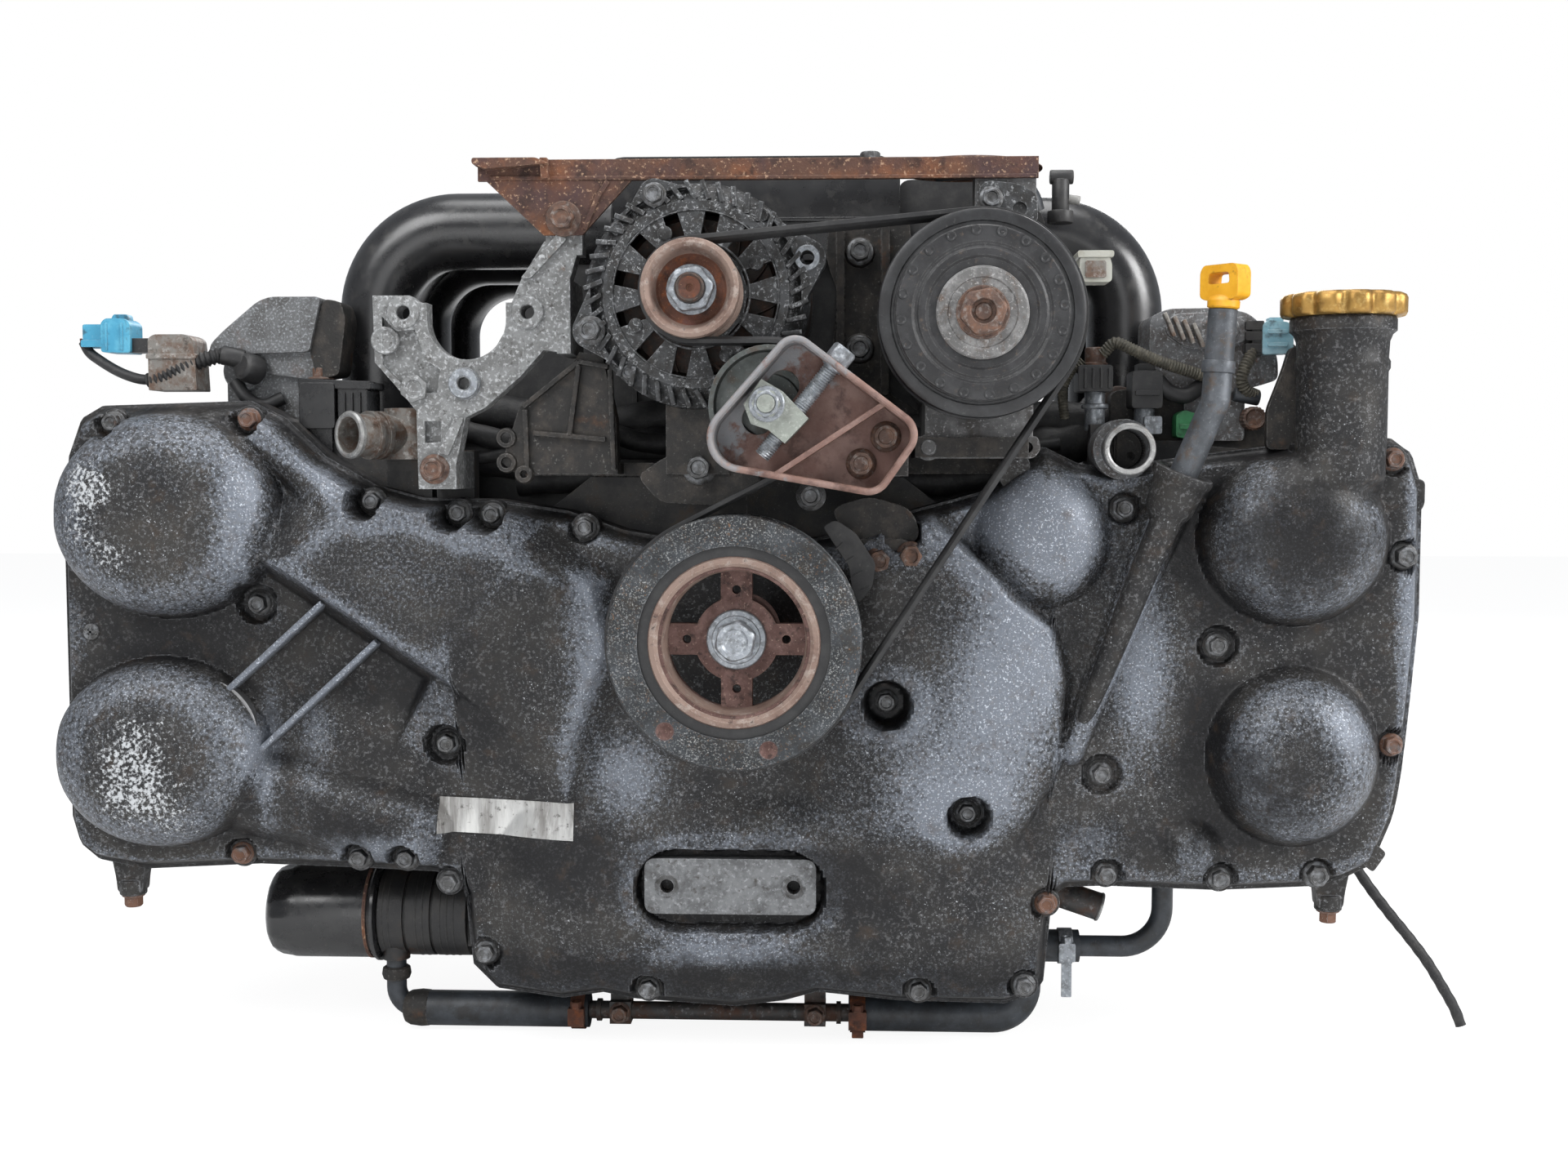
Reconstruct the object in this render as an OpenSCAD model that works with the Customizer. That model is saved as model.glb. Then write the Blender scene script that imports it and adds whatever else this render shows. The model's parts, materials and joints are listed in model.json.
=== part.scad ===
// Flat six-cylinder car engine with its front cover, accessories and belt drive.
// Millimetres. X runs across the engine, +Y runs to the rear, +Z is up.
// The origin is the crankshaft axis at the rear flange face.

/* [Crankcase] */
// Piston stroke
stroke = 80; // [66:1:84]
// Metal between neighbouring bores of one bank
bore_wall = 9; // [8:0.5:12]
// Metal between the rearmost bore and the rear face
rear_wall = 4.5; // [4:0.5:6]
// Metal between the foremost bore and the front face
front_wall = 9.5; // [9:0.5:12]
// How far the right bank sits behind the left one
bank_offset = 26; // [24:1:28]
// Distance from the crank axis to the head face
deck = 202; // [198:1:210]
// Rear face of the crankcase, in front of the flange face
rear_gap = 5; // [4:1:8]
// Length of the crankcase
case_len = 325; // [324:1:330]
// Half height of the crankcase round the crank
case_half_h = 95; // [92:1:98]
// Half height of the cylinder barrels
barrel_half_h = 70; // [60:1:76]
// Radius of the main bearings
main_r = 30; // [26:1:32]
// Radius of the crank pins
pin_r = 25; // [20:1:27]
// Radius of the counterweights
web_r = 66; // [60:1:70]
// Length of the pistons
piston_len = 46; // [40:1:52]
// Radius of the piston pins
gudgeon_r = 11; // [9:1:12]
// Running clearance of a turning shaft in its bore
run_fit = 0.05; // [0.03:0.01:0.08]
// Clearance between parts that only pass each other
air = 0.4; // [0.3:0.1:0.8]

/* [Heads and covers] */
// Distance from the crank axis to the camshaft axes, sideways
cam_x = 338; // [336:1:340]
// Distance from the crank axis to the camshaft axes, up and down
cam_z = 66; // [64:1:67]
// Half height of the cylinder heads
head_half_h = 115; // [110:1:120]
// Outer face of the camshaft covers
cam_cover_x = 416; // [410:1:420]
// Radius of the camshaft journals
cam_r = 13; // [11:1:15]
// Lift of the cams
cam_lift = 9; // [6:1:10]
// Radius of the camshaft sprockets
cam_sprocket_r = 42; // [38:2:42]
// Wall of the castings
wall = 5; // [4:0.5:6]

/* [Front cover] */
// Thickness of the rear chain housing
housing_t = 15; // [12:1:18]
// Thickness of the cover's flange
flange_t = 12; // [10:1:14]
// Height of the cover's field above its flange
field_h = 14; // [13:1:16]
// Height of the camshaft domes above the flange
dome_h = 52; // [46:1:54]
// Height of the raised plateau above the flange
plateau_h = 44; // [38:1:45]
// Height of the sump face above the flange
sump_face_h = 26; // [20:1:30]
// Radius of a bolt boss
boss_r = 9; // [8:0.5:10]
// Height of a bolt boss above the flange
boss_h = 9; // [8:1:10]
// Width across flats of the small bolts
bolt_af = 10; // [8:1:12]
// Radius of the small bolts' shanks
bolt_r = 3; // [2.5:0.5:3.5]
// Distance between the threaded holes of the front mount pad
pad_spacing = 79; // [76:1:82]
// Radius of those threaded holes
pad_hole_r = 4.25; // [4:0.25:5]
// Height of the oil filler's rim above the crank axis
filler_z = 190; // [180:1:196]

/* [Oil pan] */
// Depth of the pan's floor below the crank axis
pan_z = 270; // [270:1:280]
// Depth of the pan's shallow front below the crank axis
pan_front_z = 222; // [214:1:224]
// Left side of the pan
pan_left = 140; // [132:1:146]
// Right side of the pan
pan_right = 150; // [140:1:156]

/* [Belt drive] */
// How far the belt runs in front of the cover's flange
belt_gap = 60; // [59.5:0.5:61]
// Width of the belt
belt_w = 21.4; // [17:0.2:22]
// Thickness of the belt
belt_t = 4.3; // [3.8:0.1:4.8]
// Depth of the pulleys' grooves
track = 2.2; // [2:0.1:2.5]
// Outer radius of the crank damper
damper_r = 74; // [70:1:75]
// Outer radius of the compressor pulley
comp_r = 59; // [55:1:60]
// Outer radius of the alternator pulley
alt_pulley_r = 28.5; // [26:0.5:30]
// Radius of the idler pulley
idler_r = 35; // [33:1:36]
// Sideways position of the alternator axis
alt_x = -24.7; // [-27:0.1:-22]
// Height of the alternator axis
alt_z = 203; // [202:0.5:206]
// Sideways position of the compressor axis
comp_x = 141; // [139:0.5:143]
// Height of the compressor axis
comp_z = 188; // [187:0.5:190]
// Sideways position of the idler axis
idler_x = 20; // [18:0.5:21]
// Height of the idler axis
idler_z = 136.5; // [135:0.5:138]
// Radius of the alternator's body
alt_r = 67; // [64:1:68]
// Length of the alternator's body
alt_len = 112; // [100:1:114]
// Radius of the compressor's body
comp_body_r = 52; // [46:1:54]
// Length of the compressor's body
comp_len = 126; // [110:1:130]
// Pitch of the adjuster's thread
adjuster_pitch = 1.25; // [1:0.25:1.5]

/* [Intake] */
// Distance from the crank axis to the intake ports, sideways
port_x = 250; // [244:1:256]
// Radius of the intake runners
runner_r = 25; // [22:1:27]
// Bend radius of the intake runners
runner_bend = 55; // [50:1:58]
// Height of the runners' centre line above the crank axis
runner_z = 258; // [252:1:262]
// Top of the plenum above the crank axis
plenum_z = 303; // [298:1:308]
// Radius of the throttle bore
throttle_r = 32; // [28:1:34]
// Height of the throttle's axis above the crank axis
throttle_z = 268; // [264:1:270]
// Length of the throttle body
throttle_len = 68; // [60:1:72]
// Radius of the intake ports in the heads
intake_port_r = 18; // [16:1:19]
// Radius of the exhaust ports in the heads
exhaust_port_r = 17; // [15:1:17]
// How far the exhaust ports lie behind the middle of their cylinders
exhaust_back = 22; // [20:1:24]

/* [Hidden] */

$fn = 64;
eps = 0.01;

// Depth planes, all measured from the flange face
y_block = -(rear_gap + case_len);
y_cover = y_block - housing_t;
y_flange = y_cover - flange_t;
y_field = y_flange - field_h;
y_boss = y_flange - boss_h;
y_front = y_flange - 70;
y_head_rear = -(rear_gap + 3);
belt_back = belt_gap - y_flange;
belt_front = -(belt_back + belt_w);

// Crank geometry
rod_len = 125;
crank_r = stroke / 2;
main_w = 24;
bore_pitch = (case_len - bank_offset + bore_wall - rear_wall - front_wall) / 3;
bore_d = bore_pitch - bore_wall;
pair_y = rear_gap + rear_wall + bore_d / 2 + bank_offset / 2;
phases = [0, 120, 240];
top_gap = 1;
chamber_r = web_r + 8;
flange_len = 12;
flange_r = main_r + 16;
nose_r = 17.5;
hub_r = 24;
nose_end = -(belt_back - 7);
crank_flange_pcd = 75;
crank_flange_hole_r = 4.5;
crank_sprocket_r = cam_sprocket_r / 2;

// Chain drive
chain_w = 10;
chain_t = 6;
y_chain = y_cover - 4;
phaser_r = cam_sprocket_r - 5;

// Front cover outline: upper and lower edge over X, from left to right
edge_top = [
    [-432, 66], [-428, 108], [-419, 132], [-405, 140], [-310, 143], [-288, 132],
    [-263, 108], [-231, 90], [-201, 82], [-156, 81], [-110, 74], [-75, 62], [-40, 56],
    [40, 56], [60, 60], [96, 72], [147, 86], [166, 101], [186, 114], [206, 104],
    [224, 101], [290, 110], [347, 117], [396, 119], [410, 110], [417, 88]
];
edge_low = [
    [-432, -122], [-427, -140], [-415, -150], [-385, -156], [-310, -152], [-241, -154],
    [-196, -156], [-178, -168], [-174, -215], [-158, -231], [-116, -237], [-90, -233],
    [-69, -237], [-6, -241], [25, -237], [46, -231], [98, -236], [165, -237],
    [184, -230], [189, -222], [194, -168], [202, -162], [226, -161], [296, -163],
    [355, -160], [372, -156], [392, -146], [404, -116], [408, -95], [412, -54], [417, 10]
];

// Raised forms of the cover: pots are [x, z, radius, height], ridges are
// [x1, z1, x2, z2, radius 1, radius 2, height]
pots = [
    [-350, 71, 65, dome_h], [-354, -73, 64, dome_h],
    [333, 61, 57, dome_h], [334, -74, 53, dome_h - 4],
    [184, 66, 46, 30], [278, -135, 17, 27]
];
ridges = [
    [-258, 44, -66, -6, 44, 64, plateau_h], [-303, 127, -237, 74, 18, 20, 27],
    [-330, -98, -206, -126, 30, 26, 29], [56, -8, 112, -26, 74, 64, plateau_h],
    [-104, -166, 122, -168, 66, 68, sump_face_h], [263, 84, 203, -68, 24, 9, 33],
    [360, 104, 346, 62, 27, 40, 38]
];
fade = 10;
blend = 12;

// Cover bolts: [x, z] in bosses along the rim
rim_bolts = [
    [-394, 129], [-308, 131], [-231, 80], [-177, 73], [-156, 72],
    [-318, -143], [-243, -145], [-213, -145], [-186, -160], [-98, 64], [396, 106],
    [404, 47], [399, -69], [355, -150], [296, -153], [226, -151], [189, -170],
    [-163, -205], [176, -222], [-60, -227], [110, -226], [98, 62], [234, 76]
];
// Bolts standing inside the rim, each in a spot-faced pocket with a post behind it
field_bolts = [[-304, 16], [292, -8], [222, -88], [139.5, -113], [-186, -71.5]];
pocket_r = boss_r + 2;
blind_pocket = [89, -43];
all_bolts = concat(rim_bolts, field_bolts);
// Thin ribs on the field: [x1, z1, x2, z2]
ribs = [[-256, 19, -322, -39], [-223, -5, -305, -79]];
rib_half = 2;
rib_h = 3.5;
// Bosses the chains are led round, left and right, upper and lower
guides_left = [[-231, 80], [-186, -71.5]];
guides_right = [[234, 76], [222, -88]];
guide_r = boss_r + 1;
down_lugs = [[-396, -150], [367, -152]];

// Mount pad at the front of the cover
pad_x = -7.5;
pad_z = -159;
pad_len = pad_spacing + 28;
pad_h = 35;
pad_y = y_flange - 21;
recess_y = y_flange - 11;

// Oil filler neck
neck_x = 360.5;
neck_y = y_flange - 24;
neck_r = 26.5;
neck_bore_r = 20;
cap_r = 37;
cap_h = 14;

// Dipstick tube: top, bend, collar mouth and the end of the cast collar
tube_r = 8.5;
tube_a = [286.5, y_flange - 38, 194];
tube_b = [283, y_flange - 38, 140];
tube_c = [268, y_flange - 34, 104];
tube_end = [260, y_flange - 30, 82];
tube_dir = (tube_end - tube_c) / norm(tube_end - tube_c);
tube_foot = tube_c + 14 * tube_dir;

// Feet on the chain housing: [left, right, top]
outlet_foot = [-228, -199, 106];
inlet_foot = [216, 250, 128];
inlet_x = 233;
inlet_z = 112;
inlet_collar_r = 18.5;
pump_foot = [-196, -172, 112];

// Accessory planes and the rail
rail_y = y_block - 65;
rail_top = 284;
rail_drop = 12.5;
rail_seat = comp_z - 69;
pump_y = rail_y;
pump_t = 14;
pump_holes = [[-202.8, 194.2], [-127.4, 194.2]];
gusset_bolt = [-104.7, 249];

// Pipes under the engine
hose_y = y_block + 13;
hose_z = -257;
hose_r = 11.5;
pipe_r = 5.8;
cooler_y = y_block + 25;
cooler_z = -194.7;
cooler_r = 29;
elbow_x = -234;

function clamp(v) = min(max(v, 0), 1);
function smooth(v) = let (t = clamp(v)) t * t * (3 - 2 * t);
function soft_max(a, b) = let (d = max(blend - abs(a - b), 0)) max(a, b) + d * d / (4 * blend);
function pot_height(p, x, z) =
    let (q = min(norm([x - p[0], z - p[1]]) / p[2], 1)) p[3] * pow(1 - pow(q, 4), 1 / 3);
function along(r, x, z) =
    clamp(((x - r[0]) * (r[2] - r[0]) + (z - r[1]) * (r[3] - r[1]))
          / (pow(r[2] - r[0], 2) + pow(r[3] - r[1], 2)));
function ridge_height(r, x, z) =
    let (t = along(r, x, z))
    let (w = r[4] + (r[5] - r[4]) * t)
    let (d = norm([x - r[0] - (r[2] - r[0]) * t, z - r[1] - (r[3] - r[1]) * t]))
    r[6] * pow(1 - pow(min(d / w, 1), 3), 0.6);
function fold(list, x, z, i, sum) =
    i == len(list) ? sum
    : fold(list, x, z, i + 1, soft_max(sum, len(list[i]) == 4 ? pot_height(list[i], x, z)
                                                             : ridge_height(list[i], x, z)));
function rim(x, z) =
    smooth(min(min(z - lookup(x, edge_low), lookup(x, edge_top) - z),
               min(x - edge_low[0][0], edge_low[len(edge_low) - 1][0] - x)) / fade);
function cover_height(x, z) = rim(x, z) * fold(concat(pots, ridges), x, z, 0, field_h);

// Outline of a closed loop round circles [x, z, signed radius], taken anticlockwise;
// a negative radius is passed on its other side
function line_dir(a, b) =
    let (d = [b[0] - a[0], b[1] - a[1]])
    atan2(d[1], d[0]) + asin((a[2] - b[2]) / norm(d));
function turn(from, to, side) =
    side > 0 ? (to - from) - 360 * floor((to - from) / 360)
             : -((from - to) - 360 * floor((from - to) / 360));
function loop_points(c, steps = 16) = [
    for (i = [0 : len(c) - 1])
        let (here = c[i])
        let (into = line_dir(c[(i + len(c) - 1) % len(c)], here))
        let (out = line_dir(here, c[(i + 1) % len(c)]))
        let (t = turn(into, out, here[2]))
        for (k = [0 : steps])
            let (a = into + t * k / steps - 90)
            [here[0] + here[2] * cos(a), here[1] + here[2] * sin(a)]
];

// Helpers: shapes along the three axes
module along_y(y0, y1) {
    translate([0, y1, 0]) rotate([90, 0, 0]) linear_extrude(y1 - y0) children();
}
module cyl_y(x, z, r, y0, y1) {
    along_y(y0, y1) translate([x, z]) circle(r);
}
module cyl_x(y, z, r, x0, x1) {
    translate([min(x0, x1), y, z]) rotate([0, 90, 0]) cylinder(r = r, h = abs(x1 - x0));
}
module cyl_z(x, y, r, z0, z1) {
    translate([x, y, z0]) cylinder(r = r, h = z1 - z0);
}
module block(x0, x1, y0, y1, z0, z1) {
    translate([min(x0, x1), y0, z0]) cube([abs(x1 - x0), y1 - y0, z1 - z0]);
}
module turned(x, z, profile) {
    translate([x, 0, z]) rotate([-90, 0, 0]) rotate_extrude() polygon(profile);
}
module rod_between(a, b, r) {
    d = b - a;
    translate(a) rotate([0, acos(d[2] / norm(d)), atan2(d[1], d[0])]) cylinder(r = r, h = norm(d));
}
module hex_y(x, z, flats, y0, y1) {
    along_y(y0, y1) translate([x, z]) circle(flats / sqrt(3), $fn = 6);
}
module bolt_y(x, z, flats, shank_r, y_face, depth) {
    head_h = 0.65 * flats;
    hex_y(x, z, flats, y_face - head_h - 1.5, y_face - 1.5);
    cyl_y(x, z, 0.72 * flats, y_face - 1.5, y_face);
    cyl_y(x, z, shank_r, y_face - eps, y_face + depth);
}

// Crank train
module journals() {
    for (k = [0 : 3])
        cyl_y(0, 0, main_r, max(y_block, main_y(k) - main_w / 2), main_y(k) + main_w / 2);
}
function main_y(k) = -(pair_y - bore_pitch / 2 + k * bore_pitch);
function right_y(k) = -(pair_y - bank_offset / 2 + k * bore_pitch);
function left_y(k) = right_y(k) - bank_offset;
function crown_x(k) =
    crank_r * cos(phases[k]) + sqrt(pow(rod_len, 2) - pow(crank_r * sin(phases[k]), 2))
    + deck - top_gap - crank_r - rod_len;

module web(angle, y0, y1) {
    along_y(y0, y1) rotate(angle) union() {
        circle(main_r + 4);
        translate([crank_r, 0]) circle(pin_r + 3);
        translate([0, -pin_r]) square([crank_r, 2 * pin_r]);
        intersection() {
            circle(web_r);
            translate([-web_r, -web_r * 0.75]) square([web_r, web_r * 1.5]);
        }
    }
}
module pin(angle, y0, y1) {
    rotate([0, -angle, 0]) cyl_y(crank_r, 0, pin_r, y0, y1);
}

module crankshaft() {
    color("silver") difference() {
        union() {
            journals();
            for (k = [0 : 2]) {
                rear = main_y(k) - main_w / 2;
                front = main_y(k + 1) + main_w / 2;
                mid = -(pair_y + k * bore_pitch);
                web(phases[k], rear - 12, rear - 1);
                cyl_y(0, 0, main_r, rear - 1.5, rear + eps);
                pin(phases[k], mid + 2, rear - 11);
                web(phases[k] + 180, mid - 3, mid + 3);
                pin(phases[k] + 180, front + 11, mid - 2);
                web(phases[k] + 180, front + 1, front + 12);
                cyl_y(0, 0, main_r, front - eps, front + 1.5);
                web(phases[k], mid - 3, mid + 3);
            }
            cyl_y(0, 0, main_r, y_block, main_y(3));
            cyl_y(0, 0, flange_r, -flange_len, 0);
            cyl_y(0, 0, main_r, -flange_len - 10, -flange_len + eps);
            cyl_y(0, 0, nose_r, nose_end, y_block + eps);
            cyl_y(0, 0, crank_sprocket_r, y_chain - chain_w, y_chain);
        }
        for (a = [0 : 45 : 359])
            rotate([0, -a, 0]) cyl_y(crank_flange_pcd / 2, 0, crank_flange_hole_r, -flange_len - eps, eps);
        cyl_y(0, 0, 16, -10, eps);
        cyl_y(0, 0, 7, nose_end - eps, nose_end + 45);
    }
}

module crankcase(side, first) {
    rail = (side < 0 ? pan_left : pan_right) + 4;
    difference() {
        along_y(y_block, -rear_gap) scale([side, 1]) polygon([
            [0, case_half_h], [100, case_half_h], [132, barrel_half_h], [deck, barrel_half_h],
            [deck, -barrel_half_h], [152, -barrel_half_h], [rail, -barrel_half_h - 12],
            [rail, -case_half_h - wall], [0, -case_half_h - wall]
        ]);
        cyl_y(0, 0, main_r + run_fit, y_block - eps, 0);
        cyl_y(0, 0, flange_r + 2, -flange_len - 0.6, 0);
        for (k = [0 : 2]) {
            y0 = main_y(k + 1) + main_w / 2;
            y1 = main_y(k) - main_w / 2;
            cyl_y(0, 0, chamber_r, y0, y1);
            block(-eps * side, side * 60, y0, y1, -case_half_h - wall - eps, -50);
            cyl_x(first - k * bore_pitch, 0, bore_d / 2, side * (web_r - 10), side * (deck + eps));
        }
    }
}
module crankcase_left() { color("dimgray") crankcase(-1, left_y(0)); }
module crankcase_right() { color("dimgray") crankcase(1, right_y(0)); }

module piston(side, y, k) {
    crown = crown_x(k);
    color("lightgray") difference() {
        cyl_x(y, 0, bore_d / 2 - run_fit, side * (crown - piston_len), side * crown);
        difference() {
            cyl_x(y, 0, bore_d / 2 - 6, side * (crown - piston_len - eps), side * (crown - 10));
            for (e = [-1, 1])
                block(side * (crown - piston_len - 1), side * crown, y + e * 22 - 7, y + e * 22 + 7,
                    -17, 17);
        }
        translate([side * (crown - 27), y - bore_d / 2 - 1, 0])
            rotate([-90, 0, 0]) cylinder(r = gudgeon_r, h = bore_d + 2);
        for (g = [4, 9, 14]) difference() {
            cyl_x(y, 0, bore_d / 2 + 1, side * (crown - g), side * (crown - g - 1.5));
            cyl_x(y, 0, bore_d / 2 - 3, side * (crown - g + 1), side * (crown - g - 3));
        }
    }
}
module piston_left_1() { piston(-1, left_y(0), 0); }
module piston_left_2() { piston(-1, left_y(1), 1); }
module piston_left_3() { piston(-1, left_y(2), 2); }
module piston_right_1() { piston(1, right_y(0), 0); }
module piston_right_2() { piston(1, right_y(1), 1); }
module piston_right_3() { piston(1, right_y(2), 2); }

// Heads, camshafts and their covers
port_z = head_half_h + 3;
port_turn = 30;
cam_pocket_r = cam_r + cam_lift + 3;
module head(side, first) {
    difference() {
        along_y(y_block, y_head_rear) scale([side, 1]) polygon([
            [deck, -78], [deck, 78], [port_x - 30, head_half_h - 6], [port_x - 26, port_z],
            [port_x + 30, port_z], [port_x + 36, head_half_h], [cam_x, head_half_h - 4],
            [cam_x, -head_half_h + 4], [port_x + 36, -head_half_h], [port_x + 30, -port_z],
            [port_x - 26, -port_z], [port_x - 30, -head_half_h + 6]
        ]);
        for (u = [-1, 1])
            cyl_y(side * cam_x, u * cam_z, cam_r + run_fit, y_block - eps, 0);
        for (k = [0 : 2]) {
            y = first - k * bore_pitch;
            cyl_x(y, 0, bore_d / 2 - 4, side * (deck - eps), side * (deck + 9));
            cyl_x(y, 0, 9, side * deck, side * (cam_x + eps));
            for (u = [-1, 1]) {
                cyl_y(side * cam_x, u * cam_z, cam_pocket_r, y - 30, y + 30);
                r = u > 0 ? intake_port_r : exhaust_port_r;
                back = u > 0 ? 0 : exhaust_back;
                mouth = u * (port_z + eps);
                turn = u * port_turn;
                across = port_x - deck - 8;
                cyl_z(side * port_x, y + back, r, min(turn, mouth), max(turn, mouth));
                translate([side * port_x, y + back, turn]) {
                    sphere(r = r + 0.5);
                    rotate([0, 0, 90 + side * (90 + atan2(back, across))])
                        rotate([0, 90, 0]) cylinder(h = norm([across, back]), r = r - 3);
                }
            }
        }
    }
}
module head_left() { color("darkgray") head(-1, left_y(0)); }
module head_right() { color("darkgray") head(1, right_y(0)); }

module cam_cover_shape(inset) {
    h = head_half_h - 3 - inset;
    x = cam_cover_x - inset;
    polygon([[cam_x, -h], [cam_x, h], [x - 32, h], [x - 7, h - 22], [x, h - 52],
             [x, -h + 52], [x - 7, -h + 22], [x - 32, -h]]);
}
module cam_cover(side, first) {
    difference() {
        along_y(y_block, y_head_rear) scale([side, 1]) cam_cover_shape(0);
        for (u = [-1, 1])
            cyl_y(side * cam_x, u * cam_z, cam_r + run_fit, y_block - eps, 0);
        for (k = [0 : 2]) {
            y = first - k * bore_pitch;
            difference() {
                along_y(y - 30, y + 30) scale([side, 1]) cam_cover_shape(wall);
                cyl_x(y, 0, 20, side * cam_x, side * cam_cover_x);
            }
            cyl_x(y, 0, 15, side * (cam_x - eps), side * (cam_cover_x + eps));
        }
    }
}
module cam_cover_left() { color("gray") cam_cover(-1, left_y(0)); }
module cam_cover_right() { color("gray") cam_cover(1, right_y(0)); }

module camshaft(side, upper, first) {
    x = side * cam_x;
    z = upper * cam_z;
    base = cam_r + 2;
    color("silver") union() {
        cyl_y(x, z, cam_r, y_chain - chain_w, y_head_rear - 4);
        for (k = [0 : 2], e = [-1, 1]) {
            y = first - k * bore_pitch + e * 17;
            translate([x, 0, z]) rotate([0, k * 120 + upper * 40, 0]) union() {
                cyl_y(0, 0, base, y - 7, y + 7);
                cyl_y(base + cam_lift - 10, 0, 9, y - 7, y + 7);
                along_y(y - 7, y + 7) polygon([[0, base], [base + cam_lift - 8, 8.5],
                                               [base + cam_lift - 8, -8.5], [0, -base]]);
            }
        }
        cyl_y(x, z, cam_sprocket_r - chain_t / 2, y_chain - chain_w, y_chain);
        cyl_y(x, z, phaser_r, y_flange - 27, y_chain - chain_w + eps);
        cyl_y(x, z, 12, y_flange - 29.5, y_flange - 26);
    }
}
module camshaft_left_upper() { camshaft(-1, 1, left_y(0)); }
module camshaft_left_lower() { camshaft(-1, -1, left_y(0)); }
module camshaft_right_upper() { camshaft(1, 1, right_y(0)); }
module camshaft_right_lower() { camshaft(1, -1, right_y(0)); }

// One chain's outline, moved out from its inner side by the given distance
module chain_run(side, out) {
    r_crank = crank_sprocket_r + air + out;
    r_cam = cam_sprocket_r + air - chain_t / 2 + out;
    r_guide = -(guide_r + chain_t - out);
    g = side < 0 ? guides_left : [guides_right[1], guides_right[0]];
    polygon(loop_points([
        [0, 0, r_crank], [g[0][0], g[0][1], r_guide], [side * cam_x, -side * cam_z, r_cam],
        [side * cam_x, side * cam_z, r_cam], [g[1][0], g[1][1], r_guide]
    ]));
}
module timing_chains() {
    color("dimgray") for (side = [-1, 1]) {
        w = chain_w / 2 - 1;
        y0 = side < 0 ? y_chain - chain_w : y_chain - w;
        along_y(y0, y0 + w) difference() {
            chain_run(side, chain_t);
            chain_run(side, 0);
        }
    }
}

// Front cover and rear chain housing
function span(a, b, n) = [for (i = [0 : n - 1]) a + (b - a) * i / n];
cover_x = concat(span(-432, -400, 4), span(-400, -184, 18), span(-184, -172, 4),
                 span(-172, 184, 30), span(184, 196, 4), span(196, 400, 17), span(400, 417, 3), [417]);
cover_rows = 32;
function cover_z(x, j) =
    lookup(x, edge_low) + (lookup(x, edge_top) - lookup(x, edge_low)) * j / (cover_rows - 1);
module cover_body() {
    n = len(cover_x);
    m = cover_rows;
    front = [for (i = [0 : n - 1], j = [0 : m - 1])
        let (x = cover_x[i], z = cover_z(x, j)) [x, y_flange - cover_height(x, z), z]];
    back = [for (i = [0 : n - 1], e = [0, m - 1]) [cover_x[i], y_cover, cover_z(cover_x[i], e)]];
    b = n * m;
    faces = concat(
        [for (i = [0 : n - 2], j = [0 : m - 2]) each [
            [i * m + j, (i + 1) * m + j + 1, (i + 1) * m + j],
            [i * m + j, i * m + j + 1, (i + 1) * m + j + 1]]],
        [for (i = [0 : n - 2]) [b + 2 * i, b + 2 * i + 2, b + 2 * i + 3, b + 2 * i + 1]],
        [for (i = [0 : n - 2]) [i * m, (i + 1) * m, b + 2 * i + 2, b + 2 * i]],
        [for (i = [0 : n - 2]) [i * m + m - 1, b + 2 * i + 1, b + 2 * i + 3, (i + 1) * m + m - 1]],
        [concat([b, b + 1], [for (j = [m - 1 : -1 : 0]) j])],
        [concat([b + 2 * n - 1, b + 2 * n - 2], [for (j = [0 : m - 1]) (n - 1) * m + j])]
    );
    polyhedron(concat(front, back), faces);
}
module edge_shape() {
    polygon(concat(edge_low, [for (i = [len(edge_top) - 1 : -1 : 0]) edge_top[i]]));
}
module posts() {
    for (b = all_bolts) translate([b[0], b[1]]) circle(boss_r - 0.5);
}
module chain_space() {
    difference() {
        for (side = [-1, 1]) chain_run(side, chain_t + 1);
        posts();
    }
}
module boss_list(list, r, y0, y1) {
    for (b = list) cyl_y(b[0], b[1], r, y0, y1);
}
module pad_holes(r, y0, y1) {
    for (e = [-1, 1]) cyl_y(pad_x + e * pad_spacing / 2, pad_z, r, y0, y1);
}
module slot_shape(x, z, len, high) {
    polygon(loop_points([[x - (len - high) / 2, z, high / 2], [x + (len - high) / 2, z, high / 2]], 24));
}
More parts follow.
